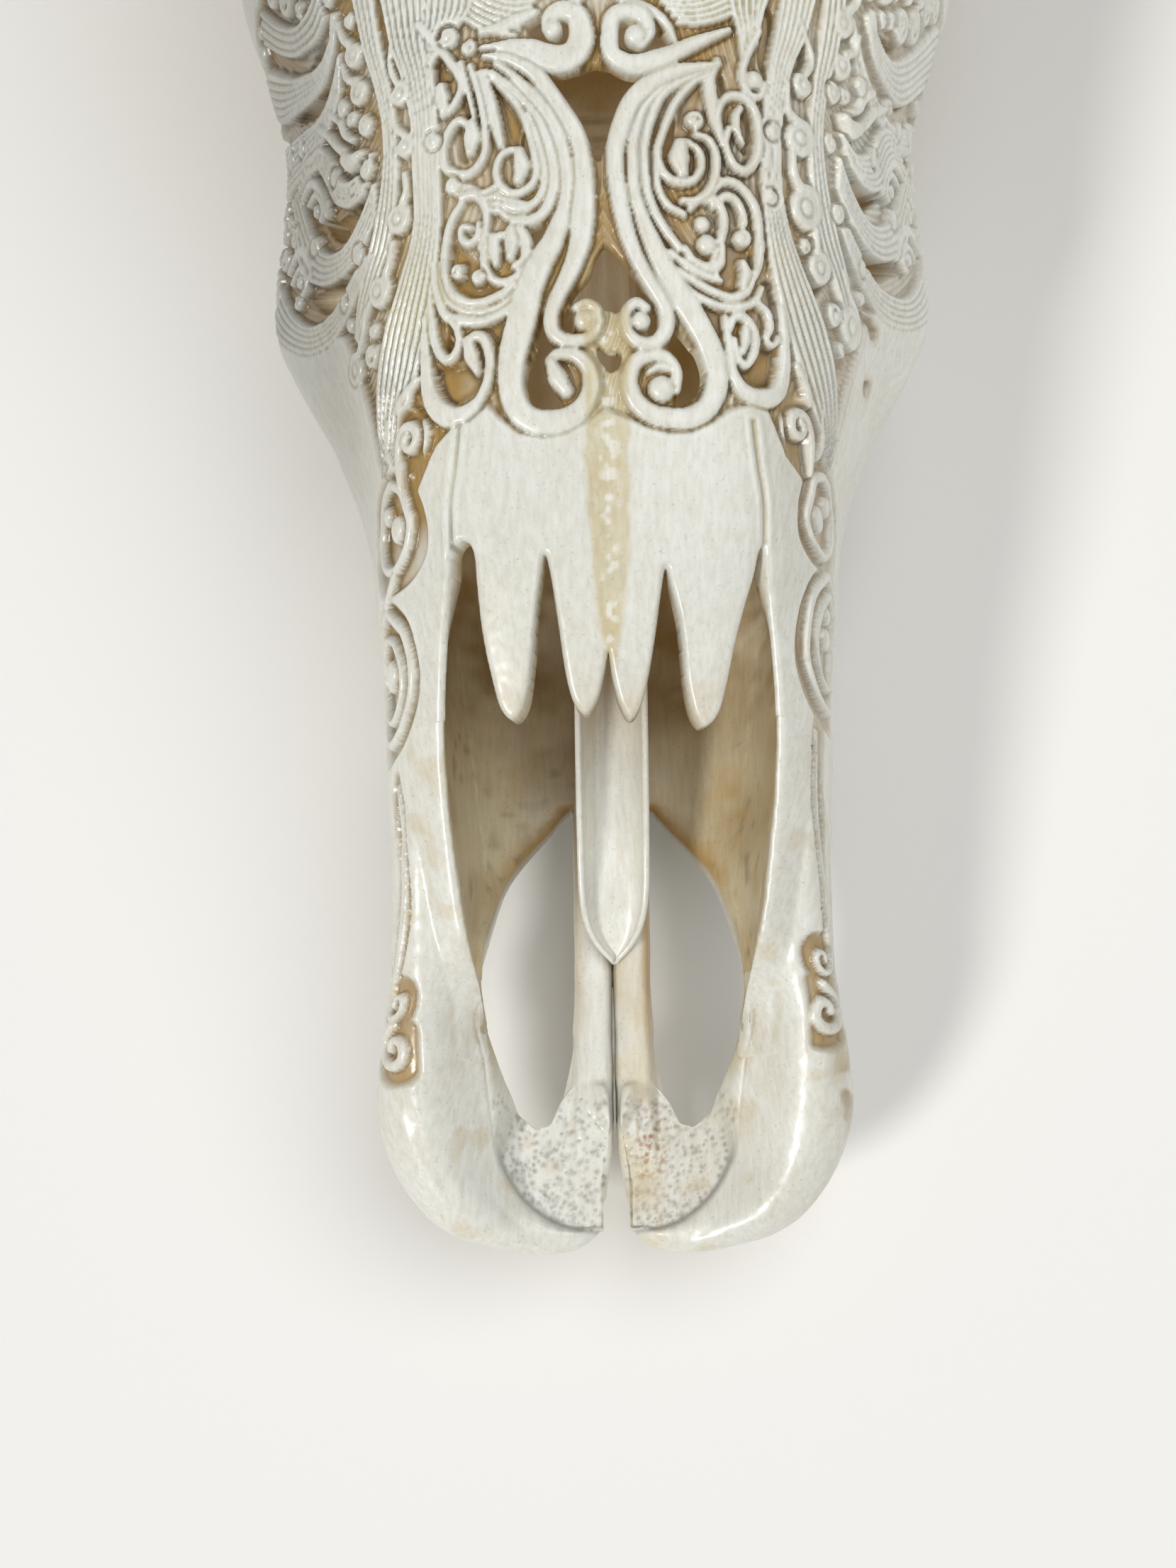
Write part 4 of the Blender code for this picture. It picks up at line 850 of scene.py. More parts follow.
# %% Right cheek
comb_all((
    (((58, 264), (56.4, 252), (53, 241), (52, 232), (54, 222), (58.6, 212), (62.6, 206), (66.4, 200),
      (70, 194)),
     ((51.4, 264), (50.4, 252), (48.4, 241), (47.6, 232), (48.4, 222), (51, 212), (55, 205.6),
      (60.6, 198.8), (68.4, 192.4)), 0.2),
    (((121, 270), (106, 261.6), (97, 255.8), (89, 251.8), (82, 250.6), (74, 251.6), (68, 254.6),
      (63.6, 262)),
     ((108, 276), (96, 267), (90, 262.6), (82, 258.4), (76, 257.2), (70, 259.2), (67, 264)), 0.3),
    (((117, 254), (104, 247.8), (95, 244), (86, 242.4), (77, 242.8), (69, 245), (62.6, 249.6)),
     ((121, 262), (108, 256), (98, 251.4), (88, 247.6), (79, 246.2), (70, 248), (63, 253), (58.6, 261)),
     0.1),
    (((97, 240.6), (89, 240), (83, 236), (79, 230.6), (74, 227.8), (68, 227.2), (61, 229)),
     ((88, 245), (80, 243.8), (75, 240.6), (72, 236), (67.4, 233.4), (62.6, 232.2), (56.6, 235)), 0.4),
    (((103, 237), (97, 228.6), (91, 221.4), (83.6, 216.6), (76, 214.8), (69, 215.4), (61.6, 218.6),
      (56.4, 224)),
     ((98, 243), (92, 235.6), (86.4, 228), (80, 223.4), (73, 221.2), (66.8, 222), (61, 225.6),
      (56.6, 231)), 0.3),
    (((121, 224), (110, 214.6), (101, 208.8), (93, 205), (83, 203.2), (73, 205), (64, 209.4),
      (57, 216.6)),
     ((109, 230), (102, 221), (96, 214.6), (90, 211), (82, 209.8), (75, 210.4), (68, 213), (60.6, 217.2)),
     0.3),
))
lay((
    (((94, 238.6), (88, 239.4), (83.4, 237), (80, 232.8), (78.6, 229.4)), (0.8, 1.3, 1.4, 1.4, 0.8), 0.5),
    (((90, 235.4), (85.4, 236), (81.6, 233.4), (81, 230.4), (83, 229.6)), (0.6, 0.9, 1.0, 1.0, 0.7), 0.5),
    (((101, 225), (96.4, 227.6), (91.8, 226.4), (88.6, 222.8), (87, 218.6)), (0.8, 1.3, 1.4, 1.4, 0.8),
     0.5),
    (((98, 221.6), (94, 223.6), (90.6, 221.6), (90, 218.6), (92.4, 217.6)), (0.6, 0.9, 1.1, 1.0, 0.7),
     0.5),
    (((78, 247), (72.6, 244), (68.6, 240.4), (65.4, 237.8), (63.4, 236)), (0.8, 1.1, 1.2, 1.2, 1.2), 0.6),
    (((71, 247.4), (66.6, 244.4), (64.4, 241.4), (61.4, 239.6)), (0.9, 1.2, 1.2, 0.8), 0.4),
))
ball((84.6, 232.2), 1.7, 0.5, 1.0)
ball((93.4, 220.6), 1.7, 0.5, 1.0)
band(((64.4, 237.4), (61.6, 236.4), (58.8, 237.6)), (1.7, 2.3, 1.4), 0.9, crown=1.5)
curl((45.8, 240.6), 2.9, 80, 1.15, 0.8, 0.3, tail=((44.4, 254), (48, 246.6)))
curl((44.8, 229.6), 4.4, 100, -1.3, 1.1, 0.4, tail=((41.6, 240), (41.6, 235)))
curl((47, 215.8), 5.2, 110, -1.35, 1.2, 0.4, tail=((43, 226), (43.6, 222)))
curl((51.6, 204.6), 4.0, 90, -1.2, 1.1, 0.3, tail=((50.4, 212), (51, 209.4)))
curl((56.6, 256.4), 3.4, 60, -1.2, 1.0, 0.4, tail=((62, 264), (60.6, 261)))
curl((57, 248), 3.3, 60, -1.1, 0.9, 0.3, tail=((62.6, 255.6), (61.4, 252)))
curl((65, 196.4), 5.4, 70, -1.4, 1.2, 0.3, tail=((60, 206), (62.4, 203)))
curl((43.6, 168.8), 5.0, 80, -1.2, 1.3, 0.3, tail=((44.6, 182), (48.4, 176)))
curl((51.4, 162.4), 3.0, 80, -1.1, 0.9, 0.2, tail=((53.4, 175), (53.8, 168)))
curl((53, 154.8), 3.2, 120, 1.1, 0.9, -0.2, tail=((48.6, 161), (49.4, 158)))
print("right cheek carved")

# %% [markdown]
# Where three bands meet, the carver fills the gap with one more small curl. They could be strewn
# by chance, but the real ones stand at chosen places. So each has its own line in a list, and one
# that would fall into a hole is left out.

# %% Small curls that fill the gaps
FILLERS = (
    ((-33.4, 249.6), 2.6, 200, 1.1), ((-37.2, 228.4), 2.3, 90, 1.2), ((-33, 218.6), 2.1, 0, -1.2),
    ((-27.4, 198.6), 1.9, 90, 1.2), ((-56, 236.8), 2.6, 90, 1.2), ((-57, 228), 2.4, 90, -1.2),
    ((-61.6, 212), 2.6, 60, 1.2), ((-69.6, 204.6), 2.2, 60, 1.2), ((-64, 243.2), 2.2, 90, 1.2),
    ((-70.4, 231.4), 2.4, 60, -1.1), ((-83, 222), 2.6, 120, 1.2), ((-95, 228.4), 3.0, 60, -1.2),
    ((-104, 233), 3.2, 60, 1.2), ((-106, 220), 3.4, 60, 1.2), ((-101, 248), 3.0, 60, 1.2),
    ((-90, 245.6), 2.4, 60, 1.1), ((33, 245.4), 2.2, 0, 1.2), ((38, 229.6), 2.2, 90, -1.2),
    ((37.6, 216), 2.0, 90, 1.2), ((30.6, 206.4), 2.3, 90, -1.2), ((54.6, 241.6), 2.6, 90, -1.2),
    ((54.4, 231.2), 2.4, 90, 1.2), ((57.6, 217.8), 2.6, 60, -1.2), ((69.4, 210), 2.2, 60, 1.2),
    ((65, 246.4), 2.2, 90, -1.2), ((73, 234.6), 2.4, 60, 1.1), ((86, 226.6), 2.6, 120, -1.2),
    ((97.6, 232.6), 3.0, 60, 1.2), ((106, 241), 3.2, 60, -1.2), ((108, 224), 3.4, 60, -1.2),
    ((102, 251.6), 2.6, 60, 1.2), ((91, 247.6), 2.2, 60, 1.1),
)
for centre, radius, start, turns in FILLERS:
    if bone[window(np.array(centre) - 0.6, np.array(centre) + 0.6)].min() > 0:
        sink(oval(centre, radius, radius, 6, 0.9), 2.4, 0.4, 0.9)
        curl(centre, radius, start, turns, 0.75, 0.1)
print(len(FILLERS), "small curls")

# %% [markdown]
# Two leaf shaped ovals follow each other down each side of the jaw, and two small scrolls end
# the carving at the muzzle. All of them stand in a golden trench. They could be left to the
# colour alone, since they are shallow, but their rims shine in the photo. So they are sunk and
# laid on the map like the rest.

# %% Leaves on the flanks
def leaf(trench, rings, eyes, half=1.25):
    """A leaf in its own trench: closed rings, and balls inside them."""
    sink(trench, 2.2, 1.0)
    for ring, width in zip(rings, (half, half * 0.8)):
        band([*ring, ring[0]], width, 0.0, 0.8)
    for centre, radius in eyes:
        ball(centre, radius, 0.2, 1.2)


leaf(
    ((-49.5, 162), (-45.4, 158), (-42.6, 152.1), (-41.8, 146.3), (-43.1, 142.1), (-47.5, 139.2),
     (-55, 138.6), (-65, 141), (-71, 148), (-70, 156), (-64, 161.6), (-57, 163.6)),
    (((-56, 161.6), (-51.2, 159), (-48.9, 154.8), (-47.6, 150.6), (-50, 145.8), (-56, 143.4),
      (-64, 146.6), (-66, 153), (-61.6, 159.4)),),
    (((-53.6, 151.4), 3.0), ((-59.6, 156), 2.2)),
)
leaf(
    ((-59, 137.4), (-50.3, 131.4), (-46.4, 124), (-45.3, 117.2), (-47.9, 110.6), (-54.8, 106),
     (-66, 105.4), (-74, 112), (-77, 122), (-74, 132), (-67, 138.4)),
    (((-64, 137), (-57.6, 133.2), (-51.8, 128.8), (-48.8, 121.4), (-50, 114.3), (-56, 109.6),
      (-65, 109.4), (-72, 115.6), (-73, 125), (-70, 133)),
     ((-63.6, 131), (-57.4, 128.2), (-53.6, 122), (-54.6, 115.8), (-60, 113), (-66, 115.4), (-69, 122),
      (-67.6, 128))),
    (((-61.2, 122.6), 3.4),),
)
band(((-56.3, 142.1), (-60, 139.6), (-63.1, 137.8)), (1.2, 1.6, 1.2), 0.1)
leaf(
    ((49.6, 162.6), (46.4, 157), (45.2, 151.3), (46.1, 145.9), (50.4, 142.9), (58, 142.6), (66, 144.6),
     (71, 151), (69, 158.6), (63, 162.6), (56, 164.4)),
    (((56, 162), (51.6, 160), (50.0, 155.7), (48.4, 151.2), (51.7, 147.1), (58.6, 145.8), (65.4, 150),
      (65.6, 156), (61.4, 160.6)),),
    (((54.4, 152.4), 3.0), ((59.6, 156.6), 2.4)),
)
leaf(
    ((60, 143.2), (52, 139.8), (46.6, 133.2), (44.1, 125.1), (44.6, 118.8), (48.3, 113.2), (55.6, 110),
     (66, 110.6), (73, 118), (75, 128), (72, 137), (66, 142.6)),
    (((62, 142.6), (52.3, 136.2), (48.9, 128), (49, 120.6), (55, 115.2), (64, 114.6), (70.6, 120.6),
      (71.6, 130), (68.4, 138.6)),
     ((62.6, 138.6), (56, 133.4), (53, 126), (55.6, 120.2), (62, 118.8), (67, 123), (67.6, 130.6),
      (65.6, 136))),
    (((59.8, 128.6), 2.6), ((60.4, 133.6), 2.0)),
)
print("leaves carved")

# %% Buds above the leaves and the line along the seam
for side, w, s in ((-1, 46.6, 168.2), (1, 45.2, 169.4)):
    sink(oval((side * w, s), 4.6, 6.4), 2.4, 0.9)
    winding = spiral((side * w, s), 3.2, 90 - side * 60, side * 1.1, 0.35)
    stem = [(side * (w + 3.6), s - 9), (side * (w + 4.2), s - 3)]
    band([*stem, *winding], (0.9, 1.3, 1.4, 1.3, 1.2, 1.0), 0.3)
for side in (-1, 1):
    near_seam = smooth_path([(side * 32.4, 168), (side * 33.4, 160), (side * 34.8, 152),
                             (side * 34.9, 143)])
    rows, columns, distance, _, _ = near_path(near_seam, 2)
    line = 0.5 * np.exp(-(distance / 0.6) ** 2) - 0.2 * np.exp(-((distance - 1.4) / 0.9) ** 2)
    height[rows, columns] -= line
print("buds and seam lines carved")

# %% Scrolls on the muzzle
def gutter(points, half, depth, gold=0.8):
    """A golden groove along a path."""
    rows, columns, distance, _, _ = near_path(smooth_path(points), half + 1)
    share = np.clip(half + 0.5 - distance, 0, 1)
    height[rows, columns] = height[rows, columns] * (1 - share) - depth * share
    ground_share[rows, columns] = np.maximum(ground_share[rows, columns], gold * share)


def small_scroll(side, stem, small, large, radii):
    """A stem that ends in two small volutes turning opposite ways, in a trench."""
    line = [(side * w, s) for w, s in stem]
    for (w, s), radius in zip((small, large), radii):
        sink(oval((side * w, s), radius + 1.4, radius + 1.4), 2.0, 0.9)
    gutter(line, 3.0, 1.7)
    band(line, (0.7, 1.5, 1.7, 1.5, 1.0), (-0.4, 0.0), 0.9)
    for (w, s), radius, start, turn in zip((small, large), radii, (90 - side * 75, 90), (-1.1, -1.2)):
        half = radius * 0.2
        winding = spiral((side * w, s), radius - half, start, turn * side, 0.2)
        band(winding, (half * 0.9, half, half, half * 0.8), 0.1, 1.0)


LEFT_STEM = ((58, 99), (53, 86), (50.4, 76), (49.8, 68), (50.6, 61), (52, 55.5), (51.8, 51))
RIGHT_STEM = ((53.4, 108), (52.6, 96), (52.2, 84), (52, 74), (51.8, 65), (51.4, 60.6))
small_scroll(-1, LEFT_STEM, (48.6, 52.2), (50.2, 42.6), (4.3, 6.7))
small_scroll(1, RIGHT_STEM, (47.6, 60.0), (46.9, 49.0), (4.2, 7.0))
print("muzzle scrolls carved")

# %% [markdown]
# The photograph ends at the brow, and what lies above it isn't known. The forehead could be left
# bare, but such carving seldom stops at a line. So the same scrollwork goes on, mirrored about
# the middle line, up to the smooth rim below the crown, and a little larger to the scale of the
# broad bone there.

# %% Design of the forehead
BROW_RIDGE = 2.9
BROW_COMBS = (
    (((8, 264), (20, 284), (31, 305), (38, 328), (38, 350), (32, 372)),
     ((22, 262), (34, 282), (45, 303), (53, 328), (54, 352), (48, 378)), 0.3),
    (((48, 262), (58, 284), (65, 308), (69, 335), (69, 360), (64, 385)),
     ((62, 266), (68, 286), (74, 308), (77, 335), (78, 362), (74, 390)), 0.3),
    (((62, 405), (56, 418), (46, 428), (34, 432), (24, 428)),
     ((71, 412), (64, 432), (50, 443), (35, 447), (20, 442)), 0.2),
    (((52, 396), (44, 404), (34, 407), (26, 402)), ((60, 402), (50, 415), (36, 419), (22, 412)), 0.1),
    (((60, 452), (48, 463), (34, 468), (18, 467), (6, 460)),
     ((64, 460), (50, 475), (34, 481), (16, 481), (2, 474)), 0.2),
)
BROW_BANDS = (
    (((5, 256), (8, 268), (15, 284), (23, 302), (28, 322), (27, 342), (19, 355), (9, 355), (5, 346),
      (9, 338), (16, 339), (18, 345)), (1.6, 2.4, 2.8, 3.0, 3.0, 2.8, 2.6, 2.3, 2.0, 1.8, 1.5, 1.2), 0.7),
    (((3, 262), (5, 280), (10, 298), (15, 314), (17, 328)), (1.2, 1.6, 1.8, 1.7, 1.0), 0.4),
    (((4, 366), (12, 372), (22, 384), (26, 398), (20, 412), (9, 416), (3, 408), (6, 399), (13, 400)),
     (1.4, 2.2, 2.6, 2.6, 2.4, 2.2, 1.9, 1.6, 1.2), 0.6),
    (((4, 420), (10, 432), (16, 446), (14, 458), (6, 462), (2, 456), (5, 450)),
     (1.2, 1.8, 2.2, 2.2, 1.9, 1.6, 1.2), 0.5),
    (((44, 262), (52, 280), (58, 298), (60, 314), (54, 324), (47, 318), (49, 309)),
     (1.2, 1.8, 2.2, 2.4, 2.2, 1.8, 1.3), 0.5),
    (((60, 330), (62, 346), (60, 362), (53, 368), (47, 362), (50, 354)), (1.2, 1.9, 2.2, 2.1, 1.7, 1.2),
     0.4),
)
BROW_BALLS = (((12, 345.6), 3.0), ((8.6, 406), 2.8), ((7, 455.4), 2.4), ((53, 313.6), 2.8),
              ((53.6, 359.6), 2.6))
BROW_CURLS = (
    ((33, 385), 6.0, 60, 1.3), ((46, 391), 4.2, 60, 1.2), ((34, 340), 4.0, 90, -1.2),
    ((30, 362), 4.6, 90, 1.2), ((57, 438), 5.2, 30, -1.3), ((66, 396), 3.4, 60, 1.2),
    ((25, 423), 3.6, 60, 1.2), ((39, 424), 3.2, 60, 1.2), ((22, 453), 4.6, 150, -1.2),
    ((34, 457), 3.8, 60, 1.2), ((44, 453), 3.6, 60, 1.2), ((9, 388), 4.2, 90, 1.2),
    ((40, 316), 3.2, 90, -1.2), ((34, 296), 3.0, 60, 1.2), ((61, 374), 3.4, 60, 1.2),
)
BROW_HOLES = (
    ((18, 330), (13, 318), (10, 306), (17, 312), (22, 324)),
    ((42, 340), (40, 350), (46, 348), (47, 338)),
    ((14, 380), (18, 390), (14, 396), (9, 394)),
    ((30, 274), (38, 288), (44, 300), (38, 284), (33, 273)),
    ((60, 390), (54, 396), (60, 400), (64, 394)),
)
MIDDLE_HOLES = (
    ((0, 264), (-3, 280), (-6, 300), (-7, 320), (-3, 334), (3, 334), (7, 320), (6, 300), (3, 280)),
    ((0, 418), (-4, 426), (0, 438), (4, 426)),
    ((0, 366), (-4, 374), (0, 384), (4, 374)),
)
print("forehead of", len(BROW_COMBS) + len(BROW_BANDS) + len(BROW_CURLS), "strokes on each side")

# %% Carving the forehead
def turned(points, side):
    """Places on one side of the middle line."""
    return [(side * w, s) for w, s in points]


for outline in MIDDLE_HOLES:
    pierce(outline)
for side in (-1, 1):
    for outline in BROW_HOLES:
        pierce(turned(outline, side))
    for first, last, level in BROW_COMBS:
        combed(turned(first, side), turned(last, side), level, (0.9, 0.3), pitch=BROW_RIDGE)
    for (w, s), radius, start, turns in BROW_CURLS:
        curl((side * w, s), radius, start if side > 0 else 180 - start, side * turns, radius * 0.26, 0.3)
    lay([(turned(points, side), half, level) for points, half, level in BROW_BANDS])
    for (w, s), radius in BROW_BALLS:
        ball((side * w, s), radius, 1.0, 1.5)
band(((0, 392), (0, 400), (0, 410)), (1.5, 3.0, 1.5), 0.8, crown=1.6)
band(((0, 444), (0, 450), (0, 458)), (1.2, 2.4, 1.2), 0.8, crown=1.4)
print("forehead carved")

# %% [markdown]
# Nothing is left bare: wherever a round patch of ground is still free, the carver set one more
# small volute. They could be placed one by one, as the larger ones were, but a search of the map for
# free discs fills every patch without a gap. The largest go in first, and each turns with the
# side it stands on.

# %% Volutes in the free ground
FREE_GOLD = 0.4
FREE_BONE = 0.5
FREE_LEVEL = -0.8


def fill_free_ground(low, high, radii):
    """Sets a volute wherever a disc of ground is free between two corners of the map."""
    count = 0
    for radius in radii:
        for s in np.arange(low[1], high[1], 1.5):
            for w in np.arange(low[0], high[0], 1.5):
                disc = window((w - radius, s - radius), (w + radius, s + radius))
                if ground_share[disc].min() < FREE_GOLD or bone[disc].min() < FREE_BONE:
                    continue
                if height[disc].max() > FREE_LEVEL:
                    continue
                turns = 1.15 if w > 0 else -1.15
                curl((w, s), radius * 1.08, (40 + 11 * s - 7 * w) % 360, turns, radius * 0.24, 0.2)
                count += 1
    return count


filled = fill_free_ground((-74, 262), (74, 488), (5.6, 4.4, 3.4, 2.6, 2.0))
filled += fill_free_ground((-122, 190), (-20, 286), (3.6, 2.9, 2.3, 1.9))
filled += fill_free_ground((20, 190), (122, 286), (3.6, 2.9, 2.3, 1.9))
print(filled, "volutes in the free ground")

# %% [markdown]
# The map is made of small square cells, which would show as stairs on every slanting edge. A
# finer map would take longer and need more memory. One light pass of softening rounds the stairs
# and leaves the cuts crisp.

# %% Round the map's steps
STEP_REACH = 0.5
height = blurred(height, STEP_REACH, passes=1)
print("map smoothed")

# %% [markdown]
# The map now becomes bone. The usual way would be a displaced plane with boolean holes, but it
# has no inside. Instead a grid of places covers the face all round, close together where it is
# carved. Each place has a value that tells how far inside the bone it lies: the nose opening,
# the slots in the palate, the seam with the muzzle bones and every pierced hole make it
# negative. Grid cells on the bone become faces, cells on a rim are cut to it, and the cavity's
# wall gets the same cells, so that the two skins and the rims between them close into one body.

# %% Front edges of the face
APERTURE_RIGHT = (
    (24, 24), (26.5, 36), (29, 48), (32, 62), (34.5, 76), (36.6, 95), (36.9, 108), (36, 122), (34.8, 134),
    (34.4, 141.5), (33.4, 141.4), (32, 136), (29.6, 128.6), (27.4, 121), (25.6, 113), (23.6, 107),
    (20.6, 104.4), (18, 107), (16.4, 114), (15.4, 124.6), (13.4, 133), (12.4, 136.6), (11.4, 132),
    (10, 123), (8.4, 114.6), (6.6, 108.4), (4.2, 106), (2, 109), (0.6, 114), (-0.4, 119.6),
)
APERTURE_LEFT = (
    (-24, 24), (-26.5, 36), (-29, 48), (-32, 62), (-34.5, 76), (-36.6, 95), (-36.9, 108), (-36, 122),
    (-34.8, 136),
    (-34.2, 142.4), (-31.4, 143.8), (-29.5, 141), (-28.8, 133), (-27.8, 124), (-26.2, 116), (-24.2, 109),
    (-21.4, 106.3), (-18.6, 109.4), (-16.9, 118), (-15.8, 128), (-14.6, 136), (-13.8, 139.8),
    (-12.6, 135.4),
    (-11.2, 126), (-9.6, 115), (-7.8, 109), (-5.2, 107), (-2.8, 110), (-1.4, 115), (-0.4, 119.6),
)
PRONG_SIDE = 31.0
PRONG_LOW = 80.0
FISSURE = (
    (8.9, 103.5), (14.4, 98), (20.8, 91), (25, 84.5), (28.6, 74), (31.2, 65), (32.2, 57.5), (31, 49),
    (28, 40.6),
    (23.4, 32.2), (18.2, 28), (15, 28.8), (11.8, 36.2), (9.4, 46.7), (8.4, 61), (8.2, 76), (8.4, 92),
)
MUZZLE_SEAM = ((62, -20), (62, 44), (108, 88), (108, 220))
SEAM_GAP = 0.15
FACE_REAR = 289.0


print("nose opening of", len(APERTURE_RIGHT) + len(APERTURE_LEFT), "points")

# %% How far a place lies from the front edges
def aperture_field(x, s, z):
    """How far places lie inside the bone that the nose opening leaves."""
    outline = np.vstack([smooth_path(APERTURE_RIGHT, 0.5), smooth_path(APERTURE_LEFT, 0.5)[::-1]])
    away = np.full(np.shape(x), FAR)
    near = (s < 150) & (z > 42)
    away[near] = outline_distance(x[near], s[near], outline)
    return away


def fissure_field(x, s, z):
    """How far places lie outside the two slots through the palate."""
    away = np.full(np.shape(x), FAR)
    near = (s < 110) & (z < 48)
    away[near] = outline_distance(np.abs(x[near]), s[near], closed_curve(FISSURE))
    return away


def seam_field(x, s, z):
    """How far places lie behind the seam with the muzzle bones, seen from the side."""
    seam = np.array([(-60.0, -200.0), *MUZZLE_SEAM, (-60.0, 300.0)])
    away = np.full(np.shape(s), FAR)
    near = (s < 130) & ((np.abs(x) > PRONG_SIDE) | (z < PRONG_LOW))
    away[near] = outline_distance(s[near], z[near], seam)
    return away


print("front edges ready")

# %% Grid of the face
def spaced(stops):
    """Numbers from one stop to the next, evenly spaced by the step given with each."""
    made = [stops[0][0]]
    for (start, step), (end, _) in zip(stops[:-1], stops[1:]):
        count = max(int(round(abs(end - start) / step)), 1)
        made.extend(np.linspace(start, end, count + 1)[1:])
    return np.array(made)


CARVED_W = 112.0
FINE = 0.38
SIDE_STEPS = 44
TEMPLE_W = ((289, 77), (320, 79), (350, 84), (380, 86), (415, 82), (450, 80), (480, 76), (505, 66))
PLATE_REAR = 502.0

ROOF_MATCH = ((0, 0), (1, 1), (2, 2), (3, 3), (4, 3.5), (5, 3.8), (6, 4.0), (8, 6))
BAR_MATCH = ((0, 0), (1, 1), (1.5, 1.5), (1.85, 2.75), (3, 3.1), (4, 3.5), (5, 3.8), (6, 4.0), (8, 6))
ROOF_THICKNESS = 5.5


def ramp(value, low, high):
    """0 below low, 1 above high, and smooth between."""
    t = np.clip((np.asarray(value, float) - low) / (high - low), 0, 1)
    return t * t * (3 - 2 * t)


print("spacing ready, fine step", FINE, "mm")

# %% The two skins of the face
OUTER_SPANS = 8
INNER_SPANS = 6


def face_grid(stations, spacing):
    """A grid round the face: arc lengths, stations, the two skins, and the outlines behind them."""
    outline_table = outlines(FACE_ROWS + BROW_ROWS, stations)
    steps = np.linalg.norm(np.diff(outline_table, axis=1), axis=2)
    outline_arcs = np.concatenate([np.zeros((len(stations), 1)), np.cumsum(steps, axis=1)], axis=1)
    carved = spaced(((0, spacing), (CARVED_W, spacing)))
    stretch = (np.arange(1, SIDE_STEPS + 1) / SIDE_STEPS)[None, :]
    beyond = CARVED_W + (outline_arcs[:, -1:] - CARVED_W) * stretch
    half = np.hstack([np.repeat(carved[None, :], len(stations), axis=0), beyond])
    w = np.hstack([-half[:, :0:-1], half[:, :-1]])
    s = np.repeat(stations[:, None], w.shape[1], axis=1)
    cavity = outlines(CAVITY_ROWS, stations)
    inner_numbers = np.linspace(0, INNER_SPANS, AROUND)
    outer, inner = np.zeros((*w.shape, 2)), np.zeros((*w.shape, 2))
    for j in range(len(stations)):
        arc, side = np.abs(w[j]), np.sign(w[j])
        outer[j, :, 0] = np.interp(arc, outline_arcs[j], outline_table[j, :, 0]) * side
        outer[j, :, 1] = np.interp(arc, outline_arcs[j], outline_table[j, :, 1])
        around = np.interp(arc, outline_arcs[j], np.linspace(0, OUTER_SPANS, AROUND))
        roof = ramp(stations[j], 138, 150)
        number = np.interp(around, *np.transpose(ROOF_MATCH)) * roof
        number += np.interp(around, *np.transpose(BAR_MATCH)) * (1 - roof)
        palate = slice(AROUND * 2 // 3, AROUND)
        backwards = inner_numbers[palate][::-1]
        above = np.interp(np.abs(outer[j, :, 0]), cavity[j, palate, 0][::-1], backwards)
        share = ramp(around, INNER_SPANS, INNER_SPANS + 0.5)
        number = number * (1 - share) + above * share
        order = np.argsort(arc, kind="stable")
        number[order] = np.maximum.accumulate(number[order])
        inner[j, :, 0] = np.interp(number, inner_numbers, cavity[j, :, 0]) * side
        inner[j, :, 1] = np.interp(number, inner_numbers, cavity[j, :, 1])
    slope = np.gradient(outer, axis=1)
    outward = np.stack([-slope[..., 1], slope[..., 0]], axis=-1)
    outward /= np.maximum(np.linalg.norm(outward, axis=-1), 1e-6)[..., None]
    share = ramp(stations, 262, FACE_REAR)[:, None, None]
    inner = inner * (1 - share) + (outer - ROOF_THICKNESS * outward) * share
    return w, s, outer, inner, outline_table, outline_arcs


rows_s = spaced(((58, 0.9), (100, 0.5), (150, FINE), (291, 0.8), (505, 0.8)))
grid_w, grid_s, outer_xz, inner_xz, table, arcs = face_grid(rows_s, FINE)
print("grid of", grid_w.shape, "places round the face")

# %% Reading the map
def read_map(field, w, s):
    """Values of a map at places between its cells."""
    column = np.clip((w - MAP_W[0]) / CELL, 0, field.shape[1] - 1.001)
    row = np.clip((s - MAP_S[0]) / CELL, 0, field.shape[0] - 1.001)
    i, j = column.astype(int), row.astype(int)
    a, b = column - i, row - j
    low = field[j, i] * (1 - a) + field[j, i + 1] * a
    high = field[j + 1, i] * (1 - a) + field[j + 1, i + 1] * a
    return low * (1 - b) + high * b


def edge_field(w, s, xz):
    """How far places lie inside the open rims: the nose, the slots and the pierced holes."""
    x, z = xz[..., 0], xz[..., 1]
    temple = np.interp(s, *np.transpose(TEMPLE_W)) - np.abs(w)
    field = np.maximum(FACE_REAR - s, np.minimum(temple, PLATE_REAR - s))
    field = np.minimum(field, aperture_field(x, s, z))
    field = np.minimum(field, fissure_field(x, s, z))
    mapped = (np.abs(w) < MAP_W[1] - 1) & (s < MAP_S[1] - 1)
    return np.where(mapped, np.minimum(field, read_map(bone, w, s)), field)


behind_seam = seam_field(outer_xz[..., 0], grid_s, outer_xz[..., 1]) - SEAM_GAP
field = np.minimum(edge_field(grid_w, grid_s, outer_xz), behind_seam)
print(int((field > 0).sum()), "places lie on the bone")

# %% [markdown]
# The inside of the nose is plain and mostly dark, yet it is as large as the outside. A decimate
# modifier could thin it, but it would also touch the carving. So the faces of the inner skin are
# joined two by two as they are made, and only the rims keep the full number.

# %% Faces of the inner skin
def mesh_piece(name, places, faces):
    """A mesh object from skull places in millimetres."""
    mesh = bpy.data.meshes.new(name)
    mesh.from_pydata(model_places(places).tolist(), [], faces)
    mesh.update()
    return placed(name, mesh)


